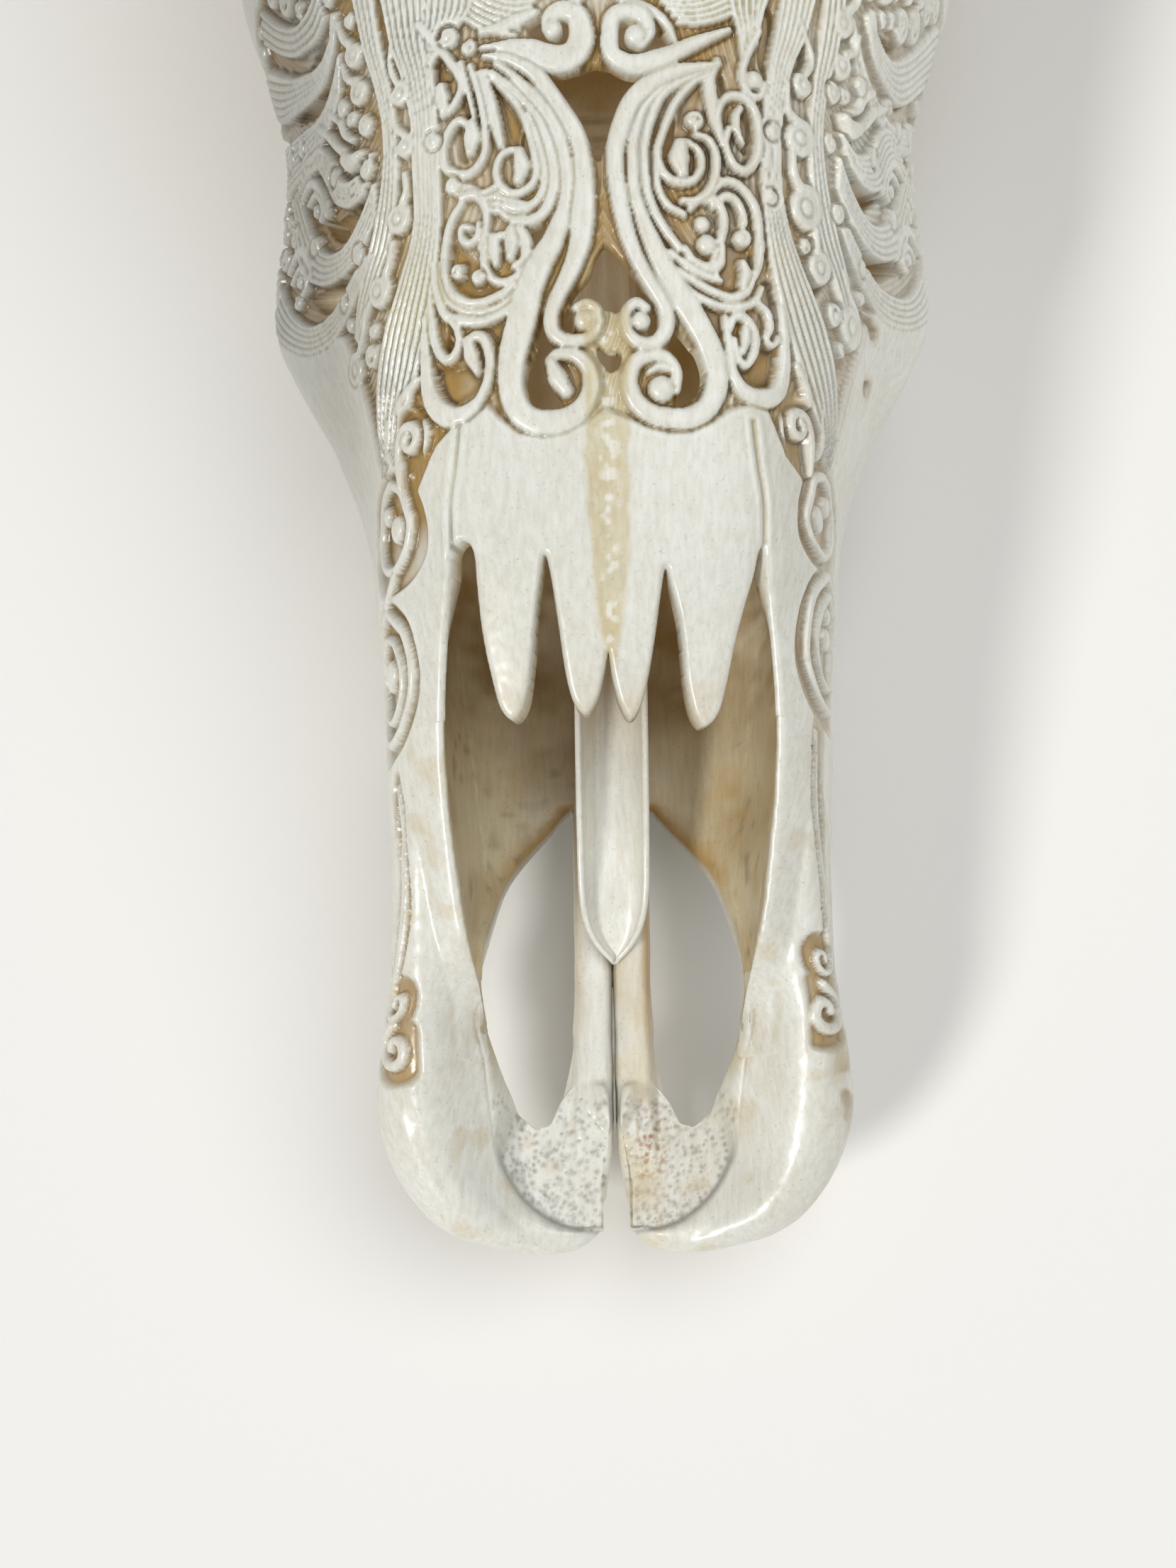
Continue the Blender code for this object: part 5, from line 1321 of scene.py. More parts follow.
def coarse_back(full, number, wrap, total):
    """Faces of the cavity's wall: cells joined two by two where they can be, since it is plain."""
    rows = full.shape[0]
    even = full[: rows // 2 * 2]
    whole = even[0::2, 0::2] & even[0::2, 1::2] & even[1::2, 0::2] & even[1::2, 1::2]
    covered = np.zeros(full.shape, bool)
    covered[: rows // 2 * 2] = np.repeat(np.repeat(whole, 2, axis=0), 2, axis=1)
    j, i = np.nonzero(full & ~covered)
    k = wrap[i]
    single = [number[j + 1, i], number[j + 1, k], number[j, k], number[j, i]]
    faces = (np.stack(single, axis=1) + total).tolist()
    below = np.vstack([np.zeros((1, whole.shape[1]), bool), whole[:-1]])
    above = np.vstack([whole[1:], np.zeros((1, whole.shape[1]), bool)])
    j, i = np.nonzero(whole)
    beside = [~below[j, i], ~np.roll(whole, -1, 1)[j, i], ~above[j, i], ~np.roll(whole, 1, 1)[j, i]]
    low, high, start = 2 * j, 2 * j + 2, 2 * i
    middle, end = wrap[start], wrap[wrap[start]]
    corner = [number[low, start], number[low, end], number[high, end], number[high, start]]
    half = [number[low, middle], number[low + 1, end], number[high, middle], number[low + 1, start]]
    for pattern in range(16):
        wanted = [bool(pattern >> side & 1) for side in range(4)]
        chosen = np.logical_and.reduce([beside[side] == wanted[side] for side in range(4)])
        ring = []
        for side in range(4):
            ring.append(corner[side][chosen])
            if wanted[side]:
                ring.append(half[side][chosen])
        faces += (np.stack(ring[::-1], axis=1) + total).tolist()
    return faces


print("helpers for the inner skin ready")

# %% Rounded rims
RIM = 0.7
BLADE_RIM = 1.4
BLADE_END = 150.0
BORDER_TUCK = 1.6
BORDER_WIDTH = 5.0


def rim_drop(field, s):
    """How far the surface rounds down as it nears a rim."""
    radius = np.where(s < BLADE_END, BLADE_RIM, RIM)
    short = np.clip(radius - field, 0, radius)
    return radius - np.sqrt(np.maximum(radius**2 - short**2, 0))


def border_tuck(w, s):
    """How far the carved plate dips at its border on the forehead, where plain bone covers it."""
    temple = np.interp(s, *np.transpose(TEMPLE_W)) - np.abs(w)
    inside = np.minimum(temple, PLATE_REAR - s)
    behind = np.clip((s - FACE_REAR) / 12, 0, 1)
    return BORDER_TUCK * behind * np.clip(1 - inside / BORDER_WIDTH, 0, 1)


print("rims round over", RIM, "mm")

# %% Faces from the grid
CUT_SHARES = (0.02, 0.98)
WRAP_JUMP = 20.0


def shell(name, w, s, field, outer, inner, lift):
    """A closed body from the two skins of a grid wherever its field is positive."""
    count_w = w.shape[1]
    on = field > 0
    wrap = np.roll(np.arange(count_w), -1)
    corners = np.stack([on[:-1], on[:-1][:, wrap], on[1:][:, wrap], on[1:]], axis=-1)
    full = corners.all(-1)
    cut_cells = np.argwhere(corners.any(-1) & ~full)
    number = np.full(w.shape, -1)
    number[on] = np.arange(on.sum())
    base = [np.stack([w[on], s[on]], axis=1)]
    outer_places, inner_places = [outer[on]], [inner[on]]
    depth = [field[on]]
    total = int(on.sum())
    crossings = {}
    new_w, new_s, new_outer, new_inner = [], [], [], []

    def crossing(a, b):
        """The number of the place where the rim crosses between two grid places."""
        nonlocal total
        key = (a, b) if a < b else (b, a)
        if key not in crossings:
            t = field[a] / (field[a] - field[b])
            t = min(max(t, CUT_SHARES[0]), CUT_SHARES[1])
            crossings[key] = total
            total += 1
            step = w[b] - w[a]
            new_w.append(w[a] + t * (step if abs(step) < WRAP_JUMP else 0.0))
            new_s.append(s[a] + t * (s[b] - s[a]))
            new_outer.append(outer[a] + t * (outer[b] - outer[a]))
            new_inner.append(inner[a] + t * (inner[b] - inner[a]))
        return crossings[key]

    rim_faces, rim_walls = [], []
    for j, i in cut_cells:
        k = wrap[i]
        ring = [(j, i), (j, k), (j + 1, k), (j + 1, i)]
        face, tags = [], []
        for a, b in zip(ring, ring[1:] + ring[:1]):
            if on[a]:
                face.append(int(number[a]))
                tags.append("corner")
            if on[a] != on[b]:
                face.append(crossing(a, b) if on[a] else crossing(b, a))
                tags.append("leave" if on[a] else "enter")
        rim_faces.append(face)
        for k2 in range(len(face)):
            after = (k2 + 1) % len(face)
            if tags[k2] == "leave" and tags[after] == "enter":
                rim_walls.append((face[k2], face[after]))
    base.append(np.stack([new_w, new_s], axis=1))
    outer_places.append(np.array(new_outer))
    inner_places.append(np.array(new_inner))
    depth.append(np.zeros(len(new_w)))
    base, depth = np.vstack(base), np.concatenate(depth)
    outer_places, inner_places = np.vstack(outer_places), np.vstack(inner_places)
    outer_places, inner_places = lift(base, depth, outer_places, inner_places)
    cells = np.argwhere(full)
    j, i = cells[:, 0], cells[:, 1]
    k = wrap[i]
    quads = np.stack([number[j, i], number[j, k], number[j + 1, k], number[j + 1, i]], axis=1)
    faces = quads.tolist() + rim_faces
    faces += coarse_back(full, number, wrap, total)
    faces += [[v + total for v in reversed(face)] for face in rim_faces]
    faces += [(b, a, a + total, b + total) for a, b in rim_walls]
    built = mesh_piece(name, np.vstack([outer_places, inner_places]), faces)
    print(name, "has", len(built.data.vertices), "vertices and", len(faces), "faces")
    return built, base, depth, total


print("bodies can be made from a grid")

# %% [markdown]
# Bone is never evenly coloured. A picture texture would need unwrapping, and it would show seams.
# So each place gets its colour from what it is, and in a few places from painted light and shade:
# ivory on the raised and polished parts, golden brown in the cuts where old varnish gathered, and
# darker inside, partly as painted shade. Painted shade also darkens the left flank, and painted
# light lightens the right side. Soft noise in three sizes breaks it up. The colour is stored on the
# mesh, and the shader adds the fibres and pores that are finer than the mesh.

# %% Noise and colour
NOISE_SEED = 1000
NOISE_CELLS = 32
IVORY = np.array((0.765, 0.765, 0.70))
CREAM = np.array((0.60, 0.53, 0.38))
GOLD = np.array((0.36, 0.215, 0.045))
BROWN = np.array((0.105, 0.068, 0.027))
GREY = np.array((0.40, 0.395, 0.385))


def noise(places, size, seed=0):
    """Smooth noise from -1 to 1 at places, with lumps of the given size."""
    chance = np.random.default_rng(NOISE_SEED + seed)
    grid = chance.uniform(-1, 1, (NOISE_CELLS, NOISE_CELLS, NOISE_CELLS))
    at = np.asarray(places, float) / size
    cell = np.floor(at).astype(int)
    t = at - cell
    t = t * t * (3 - 2 * t)
    total = np.zeros(len(at))
    for corner in range(8):
        step = np.array([corner & 1, corner >> 1 & 1, corner >> 2 & 1])
        weight = np.prod(np.where(step, t, 1 - t), axis=1)
        x, y, z = ((cell + step) % NOISE_CELLS).T
        total += weight * grid[x, y, z]
    return total


def mix(first, second, share):
    """Between two colours, or two lists of them, by a share for each place."""
    share = np.clip(share, 0, 1)[:, None]
    return np.asarray(first) * (1 - share) + np.asarray(second) * share


def store_colour(piece, colours, name="tint"):
    """Keeps a colour for each vertex of a piece."""
    layer = piece.data.color_attributes.new(name, "FLOAT_COLOR", "POINT")
    values = np.ones((len(colours), 4), np.float32)
    values[:, :3] = np.clip(colours, 0, 1)
    layer.data.foreach_set("color", values.ravel())


def plain_bone_colour(places):
    """Ivory with cream clouds and faint lengthwise streaks."""
    stretched = places * (1.0, 0.16, 1.0)
    clouds = 0.5 + 0.5 * noise(places, 26, 1) + 0.35 * noise(places, 9, 2)
    streaks = 0.5 + 0.5 * noise(stretched, 2.2, 3)
    colours = mix(IVORY, CREAM, 0.30 * ramp(clouds, 0.2, 1.2) + 0.14 * ramp(streaks, 0.4, 1.0))
    return mix(colours, GREY, 0.10 * ramp(noise(places, 34, 4), 0.0, 0.9))


print("colours ready")

# %% [markdown]
# Now the skins are lifted. A displace modifier would move them too, but it knows nothing of rims.
# Here every place moves along the bone's own outward direction by the height on the map, less a
# little near rims, which a carver never leaves sharp.

# %% The carved face
def surface_frame(xz, s):
    """The outward direction at each place of a grid."""
    places = np.stack([xz[..., 0], s, xz[..., 1]], axis=-1)
    along_w = np.gradient(places, axis=1)
    along_s = np.gradient(places, axis=0)
    outward = np.cross(along_w, along_s)
    return outward / np.maximum(np.linalg.norm(outward, axis=-1), 1e-9)[..., None]


def lumps(places):
    """The slight unevenness of bone, in millimetres."""
    return 0.16 * noise(places, 7, 11) + 0.05 * noise(places, 1.6, 12)


def between(xz, s):
    """Skull places from places (x, z) of a skin at their stations."""
    return np.stack([xz[:, 0], s, xz[:, 1]], axis=1)


outer_data = np.concatenate([outer_xz, surface_frame(outer_xz, grid_s)], axis=-1)
RIM_FILL = 0.25
RIM_REACH = 3.0
THINNEST = 1.2


def lift(base, depth, outer_places, inner_places):
    """Moves places of both skins to their carved height."""
    w, s = base[:, 0], base[:, 1]
    mapped = np.abs(w) < MAP_W[1] - 1
    raised = np.where(mapped, read_map(height, w, s), 0.0)
    edge = np.where(depth < RIM_REACH, edge_field(w, s, outer_places[:, :2]), depth)
    raised -= rim_drop(edge, s) + border_tuck(w, s)
    outward = outer_places[:, 2:5]
    flat, back = between(outer_places, s), between(inner_places, s)
    thick = np.linalg.norm(flat - back, axis=1)
    raised = np.maximum(raised, THINNEST - thick)
    lifted = flat + outward * (raised + lumps(flat))[:, None]
    filled = np.minimum(rim_drop(edge, np.full(len(s), BLADE_END - 1)) / thick, RIM_FILL)[:, None]
    return lifted, back * (1 - filled) + lifted * filled


face, face_base, _, face_count = shell(
    "carved_face", grid_w, grid_s, field, outer_data, inner_xz, lift
)

# %% [markdown]
# Varnish and dust gather in the cuts of the real carving, and hands polish its high places. A
# shader could look for cuts while it renders, but an exported mesh would lose them. Here the map
# is compared with a softened copy of itself, once with a wide reach and once with a small one:
# where it lies lower than the copy, there is a cut. A stripe of yellow resin with white crystals
# runs along the middle of the nasal bones.

# %% Colour of the outer skin
hollow = np.clip(blurred(height, 3.0) - height, -1.5, 3.0)
fine_hollow = np.clip(blurred(height, 1.0) - height, -1.0, 2.0)
STRIPE_HALF = ((110, 1.0), (120, 1.6), (135, 3.6), (150, 4.6), (172, 4.6), (190, 5.2), (206, 4.0))
STRIPE_MIDDLE = 0.3


def carved_colour(places, w, s):
    """Colour of the outer skin: plain bone, golden in the cuts and dusky at the rims of holes, with painted
    shade on the left flank and painted light on the right side.
    """
    colours = plain_bone_colour(places)
    mapped = np.abs(w) < MAP_W[1] - 1
    cuts = np.where(mapped, read_map(hollow, w, s), 0)
    creases = np.where(mapped, read_map(fine_hollow, w, s), 0)
    ground = np.where(mapped, read_map(ground_share, w, s), 0)
    patch = 0.85 + 0.4 * noise(places, 14, 5)
    clouded = ramp(noise(places, 18, 17), -0.4, 0.5)
    dusky = mix(CREAM * (0.72, 0.72, 0.58), GREY * (0.72, 0.75, 0.68), clouded)
    colours = mix(colours, dusky, 0.9 * ramp(creases, -0.04, 0.16) * patch)
    rich = np.clip(0.72 + 0.7 * noise(places, 13, 18), 0.28, 1.0)
    colours = mix(colours, GOLD, np.clip((0.6 * ramp(cuts, 0.4, 2.0) + 1.1 * ground) * rich, 0, 0.97))
    colours = mix(colours, BROWN, 0.8 * ramp(creases, 0.12, 0.6) * patch)
    half_stripe = np.interp(s, *np.transpose(STRIPE_HALF)) * (1 + 0.18 * noise(places, 5, 13))
    stripe = ramp(half_stripe - np.abs(w - STRIPE_MIDDLE), -0.9, 0.9)
    stripe = stripe * ramp(s, 112, 120) * ramp(205 - s, 0, 14)
    resin = mix(CREAM * (1.0, 1.02, 0.92), GOLD * (1.5, 1.75, 2.2), 0.3 + 0.4 * noise(places, 6, 14))
    colours = mix(colours, resin, 0.8 * stripe)
    crystals = ramp(noise(places, 1.4, 15), 0.1, 0.5)
    crystals = crystals * np.exp(-((w - STRIPE_MIDDLE) / 2.2) ** 2) * stripe
    colours = mix(colours, IVORY * 1.08, 0.75 * crystals)
    ochre = ramp(119 - s, 0, 13) * (np.abs(w) < 32) * (0.5 + 0.5 * noise(places, 4, 16))
    colours = mix(colours, CREAM * (1.0, 0.86, 0.66), 0.55 * ochre)
    # Painted shade: the left flank below the cheek is darkened to about half.
    colours = mix(colours, colours * 0.5 + GREY * 0.08, ramp(-w, 40, 80) * ramp(s, 110, 190))
    # Painted light: the right side is lightened towards a bright ivory.
    return mix(colours, IVORY * 1.2, 0.4 * ramp(w, 30, 70))


print("outer colours ready")

# %% [markdown]
# Inside, the bone is cream and mottled in front, and brown behind and under the roof, partly
# dust and partly painted shade. In the photo the inside is brown and not black, because daylight
# comes through the thin bone. Real light through bone would take long to render. A faint glow of
# the bone's own colour looks the same.

# %% Colour inside the nose
GLOW = 0.17
SLOT_LEVEL = 40.0


def cavity_colour(places):
    """Colour inside the nose: cream on the floor in front, brown behind and above, partly dust and partly
    painted shade.
    """
    x, s, z = np.abs(places[:, 0]), places[:, 1], places[:, 2]
    mottle = noise(places, 9, 6) + 0.6 * noise(places, 3.2, 7)
    deep = np.clip(ramp(s, 104, 142) + 0.6 * ramp(z, 52, 76), 0, 1)
    colours = mix(CREAM * (1.06, 1.04, 0.98), CREAM * (0.95, 0.82, 0.62), ramp(mottle, -0.2, 0.9))
    # Painted shade with dust: the wall turns brown deeper in the nose and higher under its roof.
    dusty_and_shaded = mix(BROWN * 3.6, CREAM * 1.2, ramp(mottle, -0.7, 0.9))
    colours = mix(colours, dusty_and_shaded, 0.9 * deep)
    golden = ramp(noise(places, 16, 8), -0.1, 0.6) * (0.35 + 0.4 * deep)
    colours = mix(colours, GOLD * 0.8, golden)
    beside_slot = fissure_field(x, s, np.full(len(s), SLOT_LEVEL))
    slot = np.exp(-np.maximum(-beside_slot, 0) / 3.0)
    edge = np.exp(-(beside_slot / 2.6) ** 2) * ramp(s, 78, 92) * (z < 60)
    colours = mix(colours, GOLD * (1.1, 1.0, 0.8), 0.7 * edge * slot)
    specks = ramp(noise(places, 2.6, 9), 0.35, 0.6) * ramp(noise(places, 11, 10), -0.2, 0.4)
    return mix(colours, BROWN, 0.35 * specks)


def glow(places, colours):
    """Light that comes through the thin carved roof and colours the inside behind it."""
    return colours * GLOW * ramp(places[:, 1], 125, 190)[:, None]


def vertex_places(piece):
    """The vertices of a piece as skull places in millimetres."""
    found = np.zeros(len(piece.data.vertices) * 3)
    piece.data.vertices.foreach_get("co", found)
    return found.reshape(-1, 3) / MM + (0.0, shift, 0.0)


print("inner colours ready")

# %% Colour the carved face
face_places = vertex_places(face)
face_outer = carved_colour(face_places[:face_count], face_base[:, 0], face_base[:, 1])
face_inner = cavity_colour(face_places[face_count:])
store_colour(face, np.vstack([face_outer, face_inner]))
face_glow = glow(face_places[face_count:], face_inner)
store_colour(face, np.vstack([0 * face_outer, face_glow]), "glow")
print("face coloured")

# %% [markdown]
# The other bones start as bars, plates and balls, as in the solids but finer. They could be joined
# by booleans, which leave sharp seams. A voxel remesh fuses them instead and leaves the soft joins
# of real bone. Then they get their small forms.

# %% Rings, bars and plates
STEEP = 0.85


def ring_part(rings):
    """A closed body skinned over rings of places: its places and faces."""
    rings = np.asarray(rings, float)
    count, wide = rings.shape[:2]
    j, i = np.meshgrid(np.arange(count - 1), np.arange(wide), indexing="ij")
    k = (i + 1) % wide
    corners = [j * wide + i, j * wide + k, (j + 1) * wide + k, (j + 1) * wide + i]
    quads = np.stack(corners, axis=-1).reshape(-1, 4)
    caps = [list(reversed(range(wide))), list(range((count - 1) * wide, count * wide))]
    return rings.reshape(-1, 3), quads.tolist() + caps


def bar_rings(path, sizes, along, wide, side=1, squareness=1.0):
    """Rings of a tapering bar along a path, with a half width and a half height at each place."""
    path = spline(np.array(path, float) * (side, 1, 1), along)
    sizes = spline(sizes, along)
    heading = np.gradient(path, axis=0)
    heading /= np.linalg.norm(heading, axis=1)[:, None]
    angle = 2 * math.pi * np.arange(wide) / wide
    c = np.sign(np.cos(angle)) * np.abs(np.cos(angle)) ** squareness
    h = np.sign(np.sin(angle)) * np.abs(np.sin(angle)) ** squareness
    rings = []
    for centre, (width, high), forward in zip(path, sizes, heading):
        up = np.array((0.0, 1.0, 0.0) if abs(forward[2]) > STEEP else (0.0, 0.0, 1.0))
        across = np.cross(forward, up)
        across /= np.linalg.norm(across)
        upright = np.cross(across, forward)
        rings.append(centre + np.outer(c, across) * width + np.outer(h, upright) * high)
    return np.array(rings)


def plate_part(outline, low, high):
    """A flat plate of (x, s) places between two heights."""
    outline = np.asarray(outline, float)
    rings = [np.column_stack([outline, np.full(len(outline), z)]) for z in (low, high)]
    return ring_part(rings)


def join_parts(parts):
    """Several (places, faces) parts as one."""
    places, faces, total = [], [], 0
    for part_places, part_faces in parts:
        places.append(part_places)
        faces += [[v + total for v in face] for face in part_faces]
        total += len(part_places)
    return np.vstack(places), faces


print("rings, bars and plates ready")

# %% Fusing, smoothing and copying
def fused(piece, voxel):
    """Remeshes a piece made of overlapping bodies into one even skin."""
    shape = bmesh.new()
    shape.from_mesh(piece.data)
    bmesh.ops.triangulate(shape, faces=[face for face in shape.faces if len(face.verts) > 4])
    bmesh.ops.recalc_face_normals(shape, faces=shape.faces)
    shape.to_mesh(piece.data)
    shape.free()
    remesh = piece.modifiers.new("fuse", "REMESH")
    remesh.mode = "VOXEL"
    remesh.voxel_size = voxel * MM
    bpy.context.view_layer.update()
    graph = bpy.context.evaluated_depsgraph_get()
    skin = bpy.data.meshes.new_from_object(piece.evaluated_get(graph))
    piece.modifiers.clear()
    piece.data = skin
    return piece


def smoothed(piece, rounds, share=0.5):
    """Evens out a piece by moving each vertex towards its neighbours."""
    shape = bmesh.new()
    shape.from_mesh(piece.data)
    for _ in range(rounds):
        bmesh.ops.smooth_vert(
            shape, verts=shape.verts, factor=share, use_axis_x=True, use_axis_y=True, use_axis_z=True
        )
    shape.to_mesh(piece.data)
    shape.free()


def vertex_normals(piece):
    """The outward directions at the vertices of a piece."""
    found = np.zeros(len(piece.data.vertices) * 3)
    piece.data.vertex_normals.foreach_get("vector", found)
    return found.reshape(-1, 3)


def move_vertices(piece, places):
    """Puts the vertices of a piece at skull places."""
    piece.data.vertices.foreach_set("co", model_places(places).ravel())
    piece.data.update()


def copy_of_nodes(name, nodes, grow):
    """One new object from copies of solids, grown a little so that they touch at their seams."""
    shape = bmesh.new()
    for node in nodes:
        shape.from_mesh(bpy.data.objects[node].data)
    bmesh.ops.recalc_face_normals(shape, faces=shape.faces)
    shape.normal_update()
    for vertex in shape.verts:
        vertex.co += vertex.normal * grow * MM
    mesh = bpy.data.meshes.new(name)
    shape.to_mesh(mesh)
    shape.free()
    return placed(name, mesh)


print("helpers for fused bones ready")

# %% [markdown]
# Each muzzle bone is a thick rolled body that thins into the jaw's wall, with a porous plate
# inside its rim and a long process beside the middle seam. It could be sculpted as one lump, but
# its parts would then have no sizes. The wall comes from the same two skins as the face, so that
# it meets the face without a step.

# %% Shapes of the muzzle bones
BODY_PATH = (
    (43.2, 104, 81), (42.8, 86, 72), (42, 70, 64), (41.2, 56, 57.5), (40.6, 44, 51),
    (38.5, 30, 43), (32, 17, 37.5), (21.5, 9.5, 33), (11, 6.5, 30), (4.6, 6.5, 29),
)
BODY_SIZES = (
    (2, 3), (4.5, 6.5), (7, 8.5), (9.6, 10.5), (12.6, 12.6), (15.6, 13), (14.5, 12), (10, 9), (6.5, 6.5),
    (2.5, 4),
)
HEEL_PATH = ((42, 62, 35), (42, 52, 35.5), (41, 44, 36), (38.5, 34, 36.5), (33, 23, 34))
HEEL_SIZES = ((4, 6), (7.5, 9), (8.6, 10), (9.6, 9), (8.5, 7))
PLATE = (
    (3.0, 5), (3.2, 15), (2.4, 23), (1.2, 29), (1.4, 36), (2.4, 38), (9.0, 38), (10.2, 37), (12, 35),
    (15, 28.8), (18.2, 28),
    (23.4, 32.2), (28, 40.6), (30.6, 48), (32, 54), (37, 55), (41, 44), (38, 28), (34, 16), (22, 9),
    (10, 6),
)
PLATE_BOTTOM, PLATE_TOP = 27.5, 39.0
print("body, heel and plate described")

# %% Process and rim of the muzzle bones
STRIP = ((0.25, 30), (0.25, 105), (8.3, 105), (8.2, 76), (8.4, 61), (9.4, 46.7), (11.8, 36.2), (12, 30))
STRIP_TOP = 32.6
PROCESS_PATH = ((5.4, 12, 30), (5.0, 26, 32), (4.6, 50, 34), (4.5, 80, 36), (4.5, 112, 37.5))
PROCESS_SIZES = ((3.0, 2.5), (4.4, 3.4), (4.4, 4.0), (4.35, 4.2), (4.2, 3.5))
RIM_LINE = (
    (-1.0, 2.6), (2.6, 3.6), (8, 3.9), (14, 5.6), (19, 8.6), (23, 12.6), (26, 17.5), (27.6, 22), (28.6, 30),
    (29.6, 40), (31, 52), (20, 58), (-1.0, 58),
)
RIM_HEIGHT = ((3, 34.5), (10, 37), (17, 39.5), (22, 41.5), (30, 45), (45, 54), (60, 62))
PLATE_HEIGHT = ((0, 32.2), (6, 33.2), (14, 34.2), (22, 35.4), (28, 37.4))
CLIFF_WIDTH = ((20, 1.1), (25, 3.0), (32, 9.0))
print("process and rim described")

# %% The jaw's wall in front of the seam
JAW_WALL_FRONT = 40.8
SEAM_LAP = 1.2
WALL_RECESS = 6.0
REMESH_SHRINK = 0.5
FRONT_STEP = 0.8
front_s = spaced(((40, FRONT_STEP), (112, FRONT_STEP)))
front_w, front_station, front_outer, front_inner, _, _ = face_grid(front_s, FRONT_STEP)
recede = WALL_RECESS * (1 - ramp(front_station, JAW_WALL_FRONT, JAW_WALL_FRONT + 12))
recede = recede * ramp(np.abs(front_inner[..., 0]), 12, 22)
front_inner[..., 0] += np.sign(front_inner[..., 0]) * recede
front_data = np.concatenate([front_outer, surface_frame(front_outer, front_station)], axis=-1)


def plain_lift(base, depth, outer_places, inner_places):
    """Moves places of both skins to the bone's plain surface, with rounded rims."""
    w, s = base[:, 0], base[:, 1]
    drop = rim_drop(edge_field(w, s, outer_places[:, :2]), s)
    flat, back = between(outer_places, s), between(inner_places, s)
    return flat - outer_places[:, 2:5] * drop[:, None], back


def jaw_wall(side, word):
    """The wall of the jaw in front of the seam, on one side."""
    x, z = front_outer[..., 0], front_outer[..., 1]
    inside = np.minimum(SEAM_LAP - seam_field(x, front_station, z), side * x - 0.2)
    inside = np.minimum(inside, aperture_field(x, front_station, z))
    recess = WALL_RECESS * (1 - ramp(front_station, JAW_WALL_FRONT, JAW_WALL_FRONT + 11))
    inside = np.minimum(inside, fissure_field(x, front_station, z) + REMESH_SHRINK - recess)
    inside = np.minimum(inside, front_station - JAW_WALL_FRONT)
    inside = np.where((np.abs(x) < PRONG_SIDE) & (z > PRONG_LOW), -1.0, inside)
    built, _, _, _ = shell(
        "jaw_wall_" + word, front_w, front_station, inside, front_data, front_inner, plain_lift
    )
    places = vertex_places(built)
    faces = [list(face.vertices) for face in built.data.polygons]
    bpy.data.objects.remove(built)
    return places, faces


print("wall of", front_w.shape, "places ready")

# %% [markdown]
# The plate between the rim and the process is sunk and full of fine pits, where blood vessels
# fed the gum. A bump texture could fake them, but the larger ones are seen from the side. The
# plate is sunk by moving its vertices, and each pit is a small dent placed by chance.

# %% The sunken plate and its pits
PIT_COUNT = 620


def hollow_plate(places):
    """Sinks the plate below its rim and lets the body slope down to the rim from outside."""
    x, s, z = np.abs(places[:, 0]), places[:, 1], places[:, 2]
    inside = -outline_distance(x, s, closed_curve(RIM_LINE))
    rim = np.interp(s, *np.transpose(RIM_HEIGHT))
    floor_height = np.interp(x, *np.transpose(PLATE_HEIGHT))
    bar_top = 32.9 + 3.5 * np.clip(1 - np.abs((x - 4.7) / 4.9) ** 3, 0, 1) ** (1 / 3)
    bar_top = bar_top + 5.0 * ramp(s, 37, 47)
    floor_height = floor_height + (bar_top - floor_height) * ramp(s, 14, 35) * ramp(13 - x, 0, 3)
    width = np.interp(s, *np.transpose(CLIFF_WIDTH))
    within = floor_height + (rim - floor_height) * (1 - ramp(inside, 0, width))
    outside = rim + 1.0 * np.maximum(-inside, 0) + 0.5 * np.clip(1 + inside / 2.5, 0, 1)
    limit = np.where(inside > 0, within, outside)
    soft = 0.4 + 2.6 * ramp(-inside, 0, 5)
    lowered = -soft * np.logaddexp(-z / soft, -limit / soft)
    near = (s < 66) & (x < 60) & (z > 33)
    fade = ramp(66 - s, 0, 10) * ramp(z, 33, 36)
    places[:, 2] = np.where(near, z + (np.minimum(lowered, z) - z) * fade, z)
    return inside


def plate_pits(places, seed):
    """Share of a small pit at each place of the porous plate; the pits crowd towards its rim."""
    chance = np.random.default_rng(seed)
    share = np.zeros(len(places))
    x, s = np.abs(places[:, 0]), places[:, 1]
    for _ in range(PIT_COUNT):
        centre_x, centre_s = chance.uniform(2, 28), 5 + 30 * chance.uniform() ** 1.5
        radius = chance.uniform(0.2, 0.6)
        near = np.nonzero((np.abs(x - centre_x) < 2 * radius) & (np.abs(s - centre_s) < 2 * radius))[0]
        away = np.hypot(x[near] - centre_x, s[near] - centre_s) / radius
        share[near] = np.maximum(share[near], chance.uniform(0.3, 1.0) * np.exp(-(away**2)))
    return share


print("plate and pits ready")

# %% Places of the map on other bones
OFF_THE_MAP = 200.0


def face_arcs(places, stations, outline_table, outline_arcs, chosen):
    """Signed arc length over the face, and distance from its outer skin, for the chosen places."""
    sides = np.full(len(places), OFF_THE_MAP)
    gap = np.full(len(places), FAR)
    rows = np.clip(np.searchsorted(stations, places[chosen, 1]), 0, len(stations) - 1)
    for row in np.unique(rows):
        here = chosen[rows == row]
        outline = outline_table[row]
        beside = np.abs(places[here, 0])[:, None] - outline[None, :, 0]
        above = places[here, 2][:, None] - outline[None, :, 1]
        gaps = np.hypot(beside, above)
        nearest = gaps.argmin(1)
        sides[here] = outline_arcs[row, nearest] * np.sign(places[here, 0])
        gap[here] = gaps[np.arange(len(here)), nearest]
    return sides, gap


print("places of the map can be found")

# %% Muzzle bones
VOXEL_MUZZLE = 0.45


